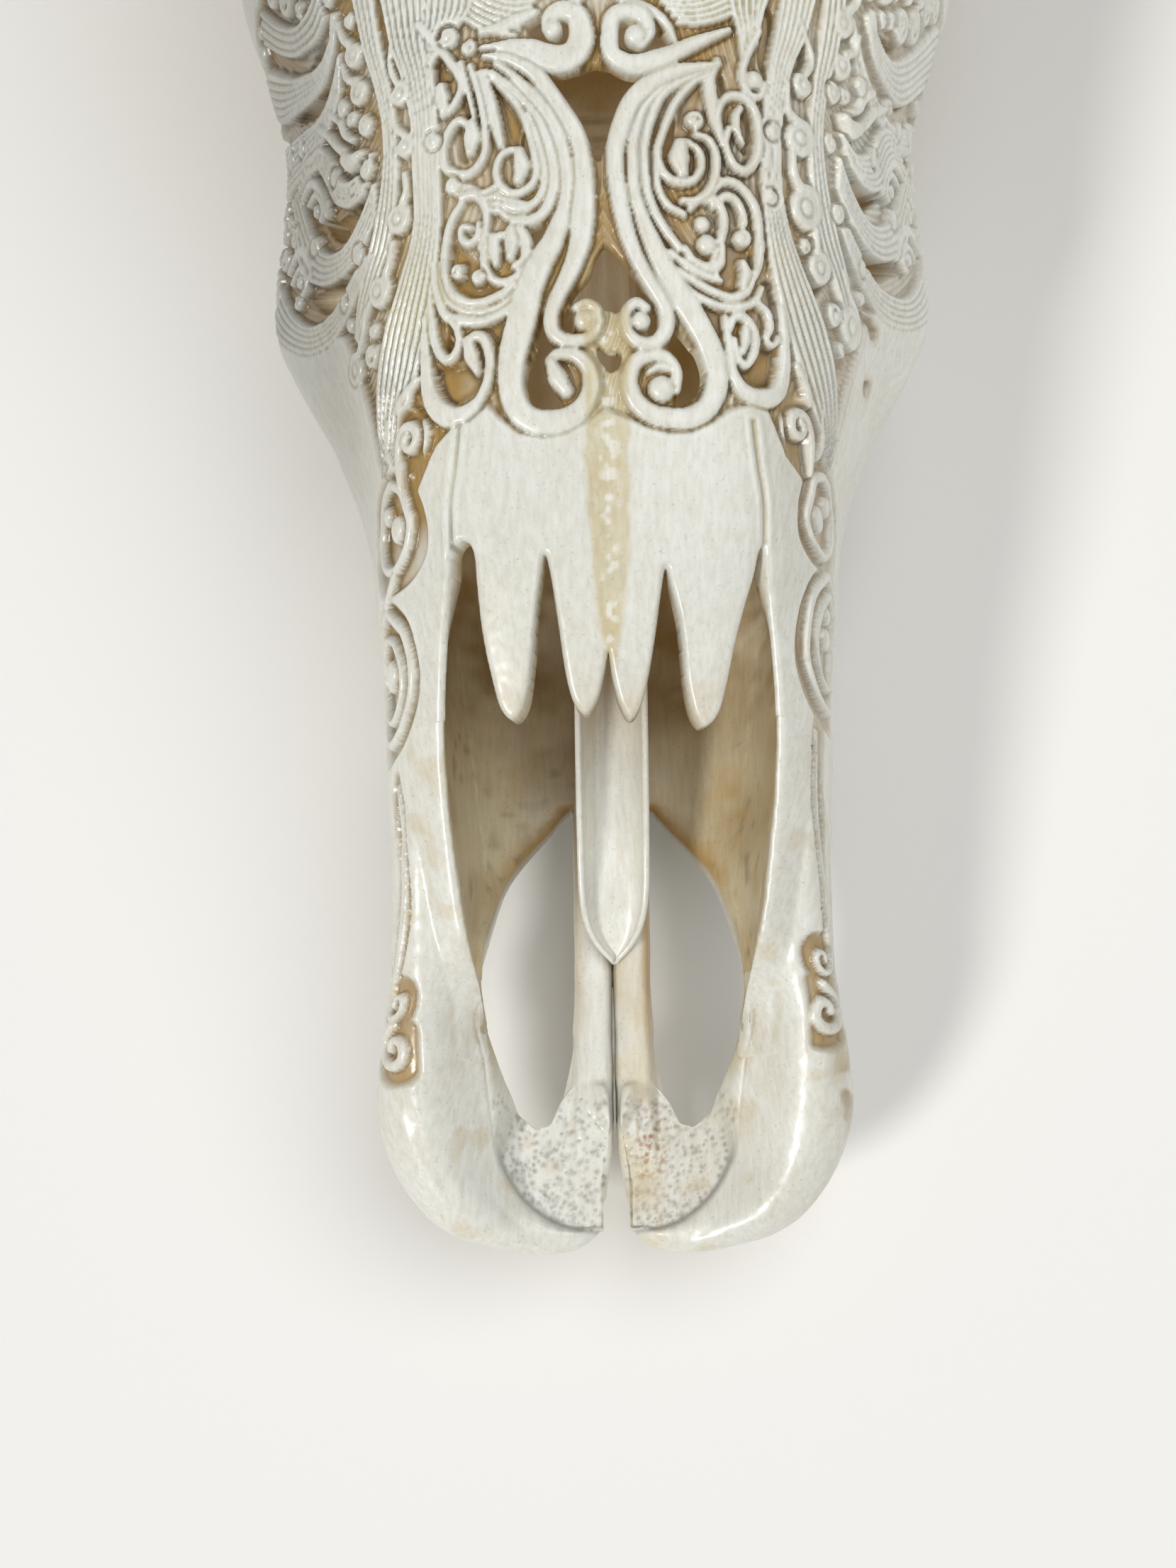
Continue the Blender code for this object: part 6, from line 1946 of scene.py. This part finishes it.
def muzzle_bone(side, word):
    """One premaxilla: its rolled body, heel, plate and process, and its share of the wall."""
    body = ring_part(bar_rings(BODY_PATH, BODY_SIZES, 130, 48, side))
    heel = ring_part(bar_rings(HEEL_PATH, HEEL_SIZES, 40, 32, side))
    plate = plate_part([(side * x, s) for x, s in PLATE], PLATE_BOTTOM, PLATE_TOP)
    strip = plate_part([(side * x, s) for x, s in STRIP], PLATE_BOTTOM, STRIP_TOP)
    process = ring_part(bar_rings(PROCESS_PATH, PROCESS_SIZES, 60, 32, side, 0.66))
    parts = join_parts([body, heel, plate, strip, process, jaw_wall(side, word)])
    built = mesh_piece("muzzle_bone_" + word, *parts)
    fused(built, VOXEL_MUZZLE)
    smoothed(built, 3)
    return built


muzzle_stations = spaced(((50, 0.8), (112, 0.8)))
_, _, _, _, muzzle_table, muzzle_arcs = face_grid(muzzle_stations, 2.0)
muzzle_bones = [muzzle_bone(side, word) for side, word in ((1, "right"), (-1, "left"))]
print("muzzle bones of", [len(piece.data.vertices) for piece in muzzle_bones], "vertices")

# %% Rim, pores and scrolls of a muzzle bone
JOINT_PASSES = 40
JOINT_STATION = 37.0
JOINT_REACH = 4.5


def soften_joint(piece):
    """Smooths the place where the plate runs out on its process."""
    places = vertex_places(piece)
    share = np.exp(-(((places[:, 1] - JOINT_STATION) / JOINT_REACH) ** 2))
    share = share * ramp(14 - np.abs(places[:, 0]), 0, 4) * ramp(places[:, 2], 30, 33)
    smoothed(piece, JOINT_PASSES)
    softened = vertex_places(piece)
    move_vertices(piece, places + (softened - places) * share[:, None])


def shape_muzzle(piece):
    """Gives a muzzle bone its rim, its pores and its two small scrolls."""
    places = vertex_places(piece)
    inside = hollow_plate(places)
    move_vertices(piece, places)
    soften_joint(piece)
    smoothed(piece, 2, 0.4)
    places, normals = vertex_places(piece), vertex_normals(piece)
    x, s = np.abs(places[:, 0]), places[:, 1]
    on_plate = ramp(inside, 0.4, 1.6) * (s < 46) * ramp(normals[:, 2], 0.2, 0.6)
    porous = plate_pits(places, 23 + int(places[0, 0] > 0)) * on_plate
    outer_side = np.nonzero((s < 112) & (x > 30) & (normals[:, 2] > -0.35))[0]
    w, _ = face_arcs(places, muzzle_stations, muzzle_table, muzzle_arcs, outer_side)
    facing = ramp(np.abs(places[:, 0]), 36, 39) * ramp(normals[:, 0] * np.sign(places[:, 0]), -0.3, 0.1)
    seen = np.where((np.abs(w) > 30) & (np.abs(w) < 110), facing, 0) * ramp(112 - s, 0, 1)
    carved = read_map(height, w, s) * seen
    lifted = places + normals * (lumps(places) - 0.35 * porous + carved)[:, None]
    move_vertices(piece, lifted)
    return places, lifted, normals, inside, porous, w, seen


print("muzzle bones can be shaped")

# %% [markdown]
# The muzzle bones are the most worn and stained part: golden in their scrolls, dusky at the middle
# seam, rusty on one plate and yellowish beside one process. Their pits, a line just inside the
# front of the rim and the right side of the process's golden rim are darkened as painted shade.
# One brown noise over all would look dirty. Each mark is placed where the photo has it, and
# broken by noise.

# %% Colour of a muzzle bone
def colour_muzzle(piece, plain, places, normals, inside, porous, w, seen):
    """Stores the colour of a muzzle bone, from its places before and after they were lifted."""
    x, s = np.abs(plain[:, 0]), plain[:, 1]
    colours = plain_bone_colour(places)
    ground = read_map(ground_share, w, s) * seen
    cuts = read_map(hollow, w, s) * seen
    colours = mix(colours, GOLD, np.clip(0.75 * ground + 0.5 * ramp(cuts, 0.2, 1.4), 0, 0.85))
    colours = mix(colours, BROWN, 0.5 * ramp(read_map(fine_hollow, w, s) * seen, 0.1, 0.6))
    # Painted shade: the small pits are darkened as their insides would be.
    colours = mix(colours, BROWN + GREY * 0.25, 0.75 * porous)
    # Golden stain along the process's rim, laid on more strongly on the right side as painted shade.
    process_rim = np.exp(-(((x - 8.6) / 2.0) ** 2)) * ramp(s, 40, 62)
    colours = mix(colours, GOLD * 1.3, 0.75 * process_rim * np.where(places[:, 0] > 0, 1.0, 0.4))
    yellowish = ramp(13 - x, 0, 5) * (places[:, 0] > 0) * ramp(noise(places, 6, 29), -0.8, 0.6)
    colours = mix(colours, CREAM * (1.08, 1.0, 0.78), 0.6 * yellowish)
    # Painted shade: a grey line just inside the front of the rim, under its overhang.
    colours = mix(colours, GREY * 0.6, 0.6 * np.exp(-((inside - 0.8) / 0.6) ** 2) * ramp(25 - s, 0, 5))
    colours = mix(colours, BROWN, 0.45 * np.exp(-((x - 0.4) / 0.5) ** 2) * (s > 24))
    inward = ramp(normals[:, 0] * -np.sign(places[:, 0]), 0.45, 0.85)
    inner_wall = ramp(39 - x, 0, 3) * ramp(s, 34, 46) * inward
    stained = mix(CREAM, GOLD, 0.35 + 0.4 * noise(places, 7, 24))
    colours = mix(colours, stained, 0.75 * inner_wall * (x > 12))
    right_side = places[:, 0] > 0
    rusty = ramp(plate_pits(places + (0, 0.7, 0), 25), 0.1, 0.4)
    rust = np.exp(-(((x - 8) / 5) ** 2 + ((s - 25) / 9) ** 2)) * rusty
    colours = mix(colours, GOLD * (1.0, 0.7, 0.5), 0.85 * rust * right_side)
    stain = np.exp(-(((x - 53) / 4) ** 2 + ((s - 34) / 9) ** 2)) * ramp(noise(places, 3.5, 26), -0.3, 0.3)
    colours = mix(colours, GOLD * 0.9, 0.8 * stain * right_side)
    spots = ramp(noise(places, 5, 27), 0.35, 0.7) * (x > 12)
    colours = mix(colours, CREAM * (1.0, 0.93, 0.75), 0.35 * spots)
    store_colour(piece, colours)


for bone_piece in muzzle_bones:
    colour_muzzle(bone_piece, *shape_muzzle(bone_piece))
print("muzzle bones shaped and coloured")

# %% [markdown]
# The vomer is the thin trough of bone that stands on the middle of the palate and once held the
# wall between the nostrils. A plane with a solidify modifier would give it one thickness and hard
# edges. Rings round its section, outside and inside, let its lip be rounded and its floor rise.

# %% Vomer
VOMER_MIDDLE = 0.5
VOMER_ROWS = (
    (65.5, 0.7, 42.0, 39.5), (69, 4.4, 45, 40.2), (73, 6.8, 48.5, 40.6), (79, 8.0, 52.5, 41),
    (90, 8.3, 57.5, 41.2),
    (105, 8.4, 62, 41.4), (125, 8.4, 68, 41.6), (150, 8.4, 73, 42.3), (200, 7.6, 86, 45.5),
    (250, 6, 99, 50.5),
)
VOMER_WALL = 1.5


def vomer_rings():
    """Rings of the thin trough that stands on the middle of the palate."""
    rings = []
    turn = np.linspace(0, 1, 25) * math.pi / 2
    for s, width, top, bottom in spline(VOMER_ROWS, 200):
        high = bottom + (top - bottom) * (1 - np.sin(turn) ** 0.9)
        outside = np.stack([width * np.cos(turn) ** 0.55, high], axis=1)
        inner = max(width - VOMER_WALL, 0.3)
        floor = bottom + 0.55 * (top - bottom)
        high = floor + (top - floor) * (1 - np.sin(turn) ** 0.8)
        inside = np.stack([inner * np.cos(turn) ** 0.6, high], axis=1)
        loop = np.vstack([outside[:-1] * (-1, 1), outside[::-1], inside[:-1], (inside * (-1, 1))[::-1]])
        rings.append(np.column_stack([loop[:, 0] + VOMER_MIDDLE, np.full(len(loop), s), loop[:, 1]]))
    return rings


def dust_and_shade(places, seed):
    """Brown with cream streaks along the skull, for parts that lie deep inside: partly dust, partly painted
    shade.
    """
    return mix(BROWN * 4.4, CREAM, ramp(noise(places * (1, 0.3, 1), 5, seed), -0.7, 0.9))


vomer_piece = mesh_piece("vomer_trough", *ring_part(vomer_rings()))
places = vertex_places(vomer_piece)
# Painted light: the vomer's bone colour is lightened by a tenth against the shade in its trough.
colours = mix(plain_bone_colour(places) * 1.1, GREY * 1.5, ramp(noise(places, 9, 30), -0.4, 0.8) * 0.35)
deep = ramp(places[:, 1], 92, 150)
# Painted shade with dust: browner and darker towards the back of the nose.
colours = mix(colours, dust_and_shade(places, 28), 0.8 * deep)
# Painted highlight: the outer edges of the lip are lighter towards the front.
colours = mix(colours, IVORY, ramp(np.abs(places[:, 0] - VOMER_MIDDLE), 6.6, 7.6) * (1 - deep))
store_colour(vomer_piece, colours)
store_colour(vomer_piece, glow(places, colours), "glow")
print("vomer of", len(places), "vertices")

# %% [markdown]
# Six grinding teeth stand in each upper jaw, and the skull rests on them. Their ends are worn into
# crescents of hard enamel. A plain block for each would be enough from above, but the skull is
# also seen from low at the side. So each tooth is one folded outline, scaled ring by ring.

# %% Cheek teeth
TOOTH_SIZES = ((17, 16), (19, 17.5), (20, 19), (24, 21.5), (28, 22), (30, 21))
TOOTH_ROW_FRONT = 128.0
TOOTH_ROW_X = (43.5, 50.5)
TOOTH_TOP = 41.0
TOOTH_AROUND = 96
TOOTH_PROFILE = (
    (0.2, 1.6), (0.5, 1.3), (0.62, 0.2), (0.7, 1.0), (0.86, 1.2), (0.95, 0.25), (1.0, 1.0), (1.0, 8),
    (0.96, 16), (0.88, 24), (0.7, 33), (0.5, TOOTH_TOP),
)


def tooth_part(side, middle, x, length, width):
    """One grinding tooth: a folded column with crescents on its biting end."""
    angle = np.linspace(0, 2 * math.pi, TOOTH_AROUND, endpoint=False)
    cheek = np.clip(np.cos(angle), 0, 1)
    fold = 1 + 0.05 * np.cos(4 * angle) + 0.06 * cheek * np.cos(9 * np.sin(angle) * 1.2)
    square = 1 / np.maximum(np.abs(np.cos(angle)), np.abs(np.sin(angle))) ** 0.45
    oval_outline = np.stack([0.93 * width / 2 * np.cos(angle), 0.95 * length / 2 * np.sin(angle)], axis=1)
    outline = oval_outline * (fold * square * 0.93)[:, None]
    rings = []
    for share, z in TOOTH_PROFILE:
        across, along = (outline * share).T
        rings.append(np.column_stack([side * (x + across), middle + along, np.full(TOOTH_AROUND, z)]))
    return ring_part(rings)


def tooth_row(side, word):
    """The six cheek teeth of one side."""
    parts = []
    start = TOOTH_ROW_FRONT
    row_length = sum(size[0] for size in TOOTH_SIZES)
    for length, width in TOOTH_SIZES:
        middle = start + length / 2
        share = (middle - TOOTH_ROW_FRONT) / row_length
        x = TOOTH_ROW_X[0] + (TOOTH_ROW_X[1] - TOOTH_ROW_X[0]) * math.sin(share * math.pi / 2)
        parts.append(tooth_part(side, middle, x, length, width))
        start += length
    piece = mesh_piece("cheek_teeth_" + word, *join_parts(parts))
    places = vertex_places(piece)
    colours = mix(IVORY * 0.95, CREAM * 0.8, ramp(noise(places * (1, 1, 0.3), 5, 31), -0.5, 0.8))
    stained = ramp(-places[:, 2], -2.2, -0.4) * ramp(noise(places, 3, 32), -0.6, 0.6)
    colours = mix(colours, BROWN, 0.7 * stained)
    store_colour(piece, colours)
    return piece


tooth_rows = [tooth_row(side, word) for side, word in ((1, "right"), (-1, "left"))]
print("teeth made")

# %% [markdown]
# Behind the face lie the forehead, the cheek arches with the eye sockets, the braincase and the
# bone under it. They could all be modelled again, but the solids already have their form. Copies
# of them are fused by a remesh, and only a bed under the carved plate, a slight roughness and the
# colour are added.

# %% Back of the skull
VOXEL_REAR = 1.3
LOWEST = 0.05
REAR_NODES = ("frontal", "braincase", "occipital", "sphenoid", "zygomatic_left", "zygomatic_right")
PLATE_BED = 6.5
rear = copy_of_nodes("rear_skull", REAR_NODES, 0.35)
fused(rear, VOXEL_REAR)
smoothed(rear, 3)
places = vertex_places(rear)
normals = vertex_normals(rear)
print("back of the skull fused, of", len(places), "vertices")

# %% Bed, roughness and colour of the back
near_plate = np.nonzero((places[:, 1] > 286) & (places[:, 2] > 110))[0]
plate_w, plate_gap = face_arcs(places, rows_s, table, arcs, near_plate)
temple_gap = np.interp(places[:, 1], *np.transpose(TEMPLE_W)) - np.abs(plate_w)
bed = ramp(np.minimum(temple_gap, PLATE_REAR - places[:, 1]), 0.5, 4.5) * (plate_gap < 6)
places = places - normals * (PLATE_BED * bed)[:, None]
rough = 0.35 * noise(places, 13, 41) + 0.15 * noise(places, 4, 42)
places = places + normals * rough[:, None]
places[:, 2] = np.maximum(places[:, 2], LOWEST)
move_vertices(rear, places)
colours = plain_bone_colour(places)
colours = mix(colours, GOLD * 0.55, bed * (0.7 + 0.3 * noise(places, 8, 43)))
inner = ramp(96 - places[:, 2], 0, 8) * ramp(62 - np.abs(places[:, 0]), 0, 10)
inner = inner * ramp(places[:, 2], 20, 30) * (places[:, 1] < 480)
# Painted shade with dust: the lower middle of the skull, inside behind the nose, turns brown.
colours = mix(colours, dust_and_shade(places, 44), 0.85 * inner)
store_colour(rear, colours)
store_colour(rear, glow(places, colours) * inner[:, None], "glow")
print("back of the skull coloured")

# %% [markdown]
# The horns of a swamp buffalo sweep back in a wide bow. Each is a sheath of dark horn over a core
# of bone, with cross ridges that fade towards the tip. A curve with a bevel would give the bow
# but no ridges. Rings along a path give both: a wave along the horn moves each ring out and in.

# %% Shape of the horns
HORN_PATH = (
    (84, 461, 156), (135, 470, 159), (195, 492, 158), (255, 535, 151), (300, 600, 139), (314, 668, 126),
    (297, 733, 112), (258, 786, 100),
)
HORN_SIZES = ((41, 29), (40, 28), (36, 25), (31, 21), (25, 17), (18, 13), (11, 8.5), (2.5, 2.5))
HORN_SEAM = (94, 464.5, 156)
HORN_NORMAL = (0.95, 0.3, 0.05)
HORN_ALONG = 420
HORN_WIDE = 72
HORN_SQUARENESS = 0.85
HORN_RIDGES = 46
HORN_GAP = 0.3
HORN_DARK = np.array((0.020, 0.017, 0.015))
HORN_PALE = np.array((0.16, 0.125, 0.085))
print("horns of", HORN_ALONG, "rings described")

# %% Horns
def horn_piece(side, word):
    """One horn sheath with its cross ridges, open side towards the core."""
    plain = bar_rings(HORN_PATH, HORN_SIZES, HORN_ALONG, HORN_WIDE, side, HORN_SQUARENESS)
    centres = plain.mean(1, keepdims=True)
    normal = np.array((side * HORN_NORMAL[0], *HORN_NORMAL[1:]))
    beyond = (plain - np.array((side * HORN_SEAM[0], *HORN_SEAM[1:]))) @ normal - HORN_GAP
    along = np.linspace(0, 1, HORN_ALONG)[:, None]
    wave = np.sin(2 * math.pi * (along ** 0.9 * HORN_RIDGES + 0.6 * np.sin(along * 31)))
    fade = np.clip(1.15 - along * 1.35, 0, 1)
    angle = 2 * math.pi * np.arange(HORN_WIDE)[None, :] / HORN_WIDE
    front = 0.55 + 0.45 * np.abs(np.sin(angle))
    outward = plain - centres
    outward /= np.maximum(np.linalg.norm(outward, axis=2, keepdims=True), 1e-6)
    ridge = (0.7 * wave - 0.5) * fade * front
    ridge = ridge + 0.25 * noise(plain.reshape(-1, 3), 9, 51).reshape(ridge.shape)
    first = [j for j in range(HORN_ALONG) if beyond[j].min() > 0][0]
    rings = (plain + outward * ridge[..., None])[first:]
    heading = rings[1].mean(0) - rings[0].mean(0)
    heading /= np.linalg.norm(heading)
    reach = beyond[first] / (heading @ normal)
    base = plain[first] - heading * reach[:, None]
    rings = np.concatenate([base[None], rings])
    piece = mesh_piece("horn_sheath_" + word, *ring_part(rings if side > 0 else rings[:, ::-1]))
    places = vertex_places(piece)
    value = 0.5 * noise(places, 30, 52) + 0.5 * noise(places, 6, 53)
    store_colour(piece, mix(HORN_DARK, HORN_PALE, 0.45 * ramp(value, -0.2, 0.9)))
    return piece


horns = [horn_piece(side, word) for side, word in ((1, "right"), (-1, "left"))]
print("horns made")

# %% [markdown]
# The finishes. The real thing is old ivory-coloured bone under a thin soft varnish. Subsurface
# light would make it look like wax, and dry old bone lets little light in. So the material is
# the stored colour, broken by fine fibres, which also stand in the bump, and by pores, with a
# smooth coat over it.

# %% Helpers for materials
def add(tree, kind, **values):
    """A shader node with some of its inputs or settings given."""
    node = tree.nodes.new(kind)
    for name, value in values.items():
        if name in node.inputs:
            node.inputs[name].default_value = value
        else:
            setattr(node, name, value)
    return node


def shades(tree, source, low, high, places=(0.0, 1.0)):
    """A colour ramp between two colours, fed by the strength of a noise."""
    node = add(tree, "ShaderNodeValToRGB")
    for element, place, colour in zip(node.color_ramp.elements, places, (low, high)):
        element.position = place
        element.color = (*colour, 1)
    tree.links.new(source.outputs["Fac"], node.inputs["Fac"])
    return node


def multiplied(tree, first, second, factor):
    """A colour darkened by another one."""
    node = add(tree, "ShaderNodeMix", data_type="RGBA", blend_type="MULTIPLY")
    node.inputs["Factor"].default_value = factor
    tree.links.new(first, node.inputs["A"])
    tree.links.new(second, node.inputs["B"])
    return node.outputs["Result"]


print("helpers for materials ready")

# %% Bone finish
FIBRE_STRETCH = (1.0, 0.14, 1.0)
PIT_COLOUR = (0.30, 0.20, 0.11)
STREAK_COLOURS = ((0.84, 0.80, 0.72), (1.05, 1.05, 1.05))


def bone_finish(name, roughness=0.40, coat=0.5, pore_depth=0.10):
    """A bone material that reads the stored colour of the piece."""
    material = bpy.data.materials.new(name)
    material.use_nodes = True
    tree = material.node_tree
    shader = tree.nodes["Principled BSDF"]
    tint = add(tree, "ShaderNodeAttribute", attribute_name="tint")
    where = add(tree, "ShaderNodeTexCoord")
    stretch = add(tree, "ShaderNodeMapping")
    stretch.inputs["Scale"].default_value = FIBRE_STRETCH
    tree.links.new(where.outputs["Object"], stretch.inputs["Vector"])
    fibres = add(tree, "ShaderNodeTexNoise", Scale=900.0, Detail=4.0, Roughness=0.6)
    tree.links.new(stretch.outputs["Vector"], fibres.inputs["Vector"])
    pores = add(tree, "ShaderNodeTexNoise", Scale=1100.0, Detail=3.0, Roughness=0.7)
    tree.links.new(where.outputs["Object"], pores.inputs["Vector"])
    pits = shades(tree, pores, PIT_COLOUR, (1, 1, 1), (0.27, 0.40))
    streak = shades(tree, fibres, *STREAK_COLOURS, (0.32, 0.62))
    streaked = multiplied(tree, tint.outputs["Color"], streak.outputs["Color"], 0.55)
    pitted = multiplied(tree, streaked, pits.outputs["Color"], 0.35)
    tree.links.new(pitted, shader.inputs["Base Color"])
    through = add(tree, "ShaderNodeAttribute", attribute_name="glow")
    tree.links.new(through.outputs["Color"], shader.inputs["Emission Color"])
    shader.inputs["Emission Strength"].default_value = 1.0
    material.cycles.emission_sampling = "NONE"
    bump = add(tree, "ShaderNodeBump", Strength=0.35, Distance=pore_depth * MM)
    tree.links.new(fibres.outputs["Fac"], bump.inputs["Height"])
    tree.links.new(bump.outputs["Normal"], shader.inputs["Normal"])
    shader.inputs["Roughness"].default_value = roughness
    shader.inputs["Coat Weight"].default_value = coat
    shader.inputs["Coat Roughness"].default_value = 0.2
    shader.inputs["Subsurface Weight"].default_value = 0.0
    return material


bone_material = bone_finish("varnished bone")
horn_material = bone_finish("horn sheath", roughness=0.38, coat=0.25)
print("materials ready")

# %% [markdown]
# Each finished piece says which body it rides on, which finish it wears, and which solids it is
# the better form of. This could be kept in a separate list, but said here, next to the pieces, it
# can't be forgotten when one is renamed.

# %% Dress the pieces
def dress(piece, material, slot, *nodes):
    """Gives a finished piece its material, its place in the model and the solids it stands for."""
    piece.data.materials.clear()
    piece.data.materials.append(material)
    piece.data.shade_smooth()
    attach(piece, "root")
    if nodes:
        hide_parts(*nodes)


dress(face, bone_material, "bone", "nasal_left", "nasal_right", "maxilla_left", "maxilla_right")
for number, word in enumerate(("right", "left")):
    dress(muzzle_bones[number], bone_material, "bone", "premaxilla_" + word)
    dress(tooth_rows[number], bone_material, "bone")
    dress(horns[number], horn_material, "horn", "horn_" + word)
dress(vomer_piece, bone_material, "bone", "vomer")
dress(rear, bone_material, "bone", *REAR_NODES)
print("finishes given")

# %% [markdown]
# The photo was taken on pale paper in calm daylight. Lamps close by would light the floor unevenly
# and show where they stand. So there is a plain pale floor, a far window light from the lower
# left that casts the shadow to the upper right, a wide far light from above, and an even sky.

# %% Floor
FLOOR_HALF = 20.0
PAPER_COLOURS = ((0.885, 0.867, 0.83), (0.92, 0.903, 0.866))
floor_mesh = bpy.data.meshes.new("floor")
floor_corners = [(FLOOR_HALF * x, FLOOR_HALF * y, 0) for x, y in ((-1, -1), (1, -1), (1, 1), (-1, 1))]
floor_mesh.from_pydata(floor_corners, [], [(0, 1, 2, 3)])
floor = placed("floor", floor_mesh)
floor_material = bpy.data.materials.new("pale paper")
floor_material.use_nodes = True
paper = floor_material.node_tree
paper_shader = paper.nodes["Principled BSDF"]
grain = add(paper, "ShaderNodeTexNoise", Scale=40.0, Detail=2.0)
paper_shades = shades(paper, grain, *PAPER_COLOURS)
paper.links.new(paper_shades.outputs["Color"], paper_shader.inputs["Base Color"])
paper_shader.inputs["Roughness"].default_value = 0.9
floor_mesh.materials.append(floor_material)
print("floor laid")

# %% Lights and surroundings
SKY_COLOUR = (0.95, 0.97, 1.0, 1)
SKY_STRENGTH = 0.32
world = bpy.data.worlds.new("surroundings")
bpy.context.scene.world = world
world.use_nodes = True
sky = world.node_tree.nodes["Background"]
sky.inputs["Color"].default_value = SKY_COLOUR
sky.inputs["Strength"].default_value = SKY_STRENGTH


def far_light(name, direction, spread, strength, colour):
    """A light so far away that it is equally strong all over the floor."""
    data = bpy.data.lights.new(name, "SUN")
    data.angle, data.energy, data.color = spread, strength, colour
    lamp = placed(name, data)
    lamp.rotation_mode = "QUATERNION"
    lamp.rotation_quaternion = Vector(direction).to_track_quat("-Z", "Y")


far_light("window light", (4.0, 4.0, -5.0), 0.2, 1.6, (1.0, 0.99, 0.97))
far_light("ceiling light", (-1.8, -0.2, -5.0), 0.9, 1.15, (0.98, 0.99, 1.0))
bpy.context.scene.view_settings.view_transform = "Standard"
print("stage set")
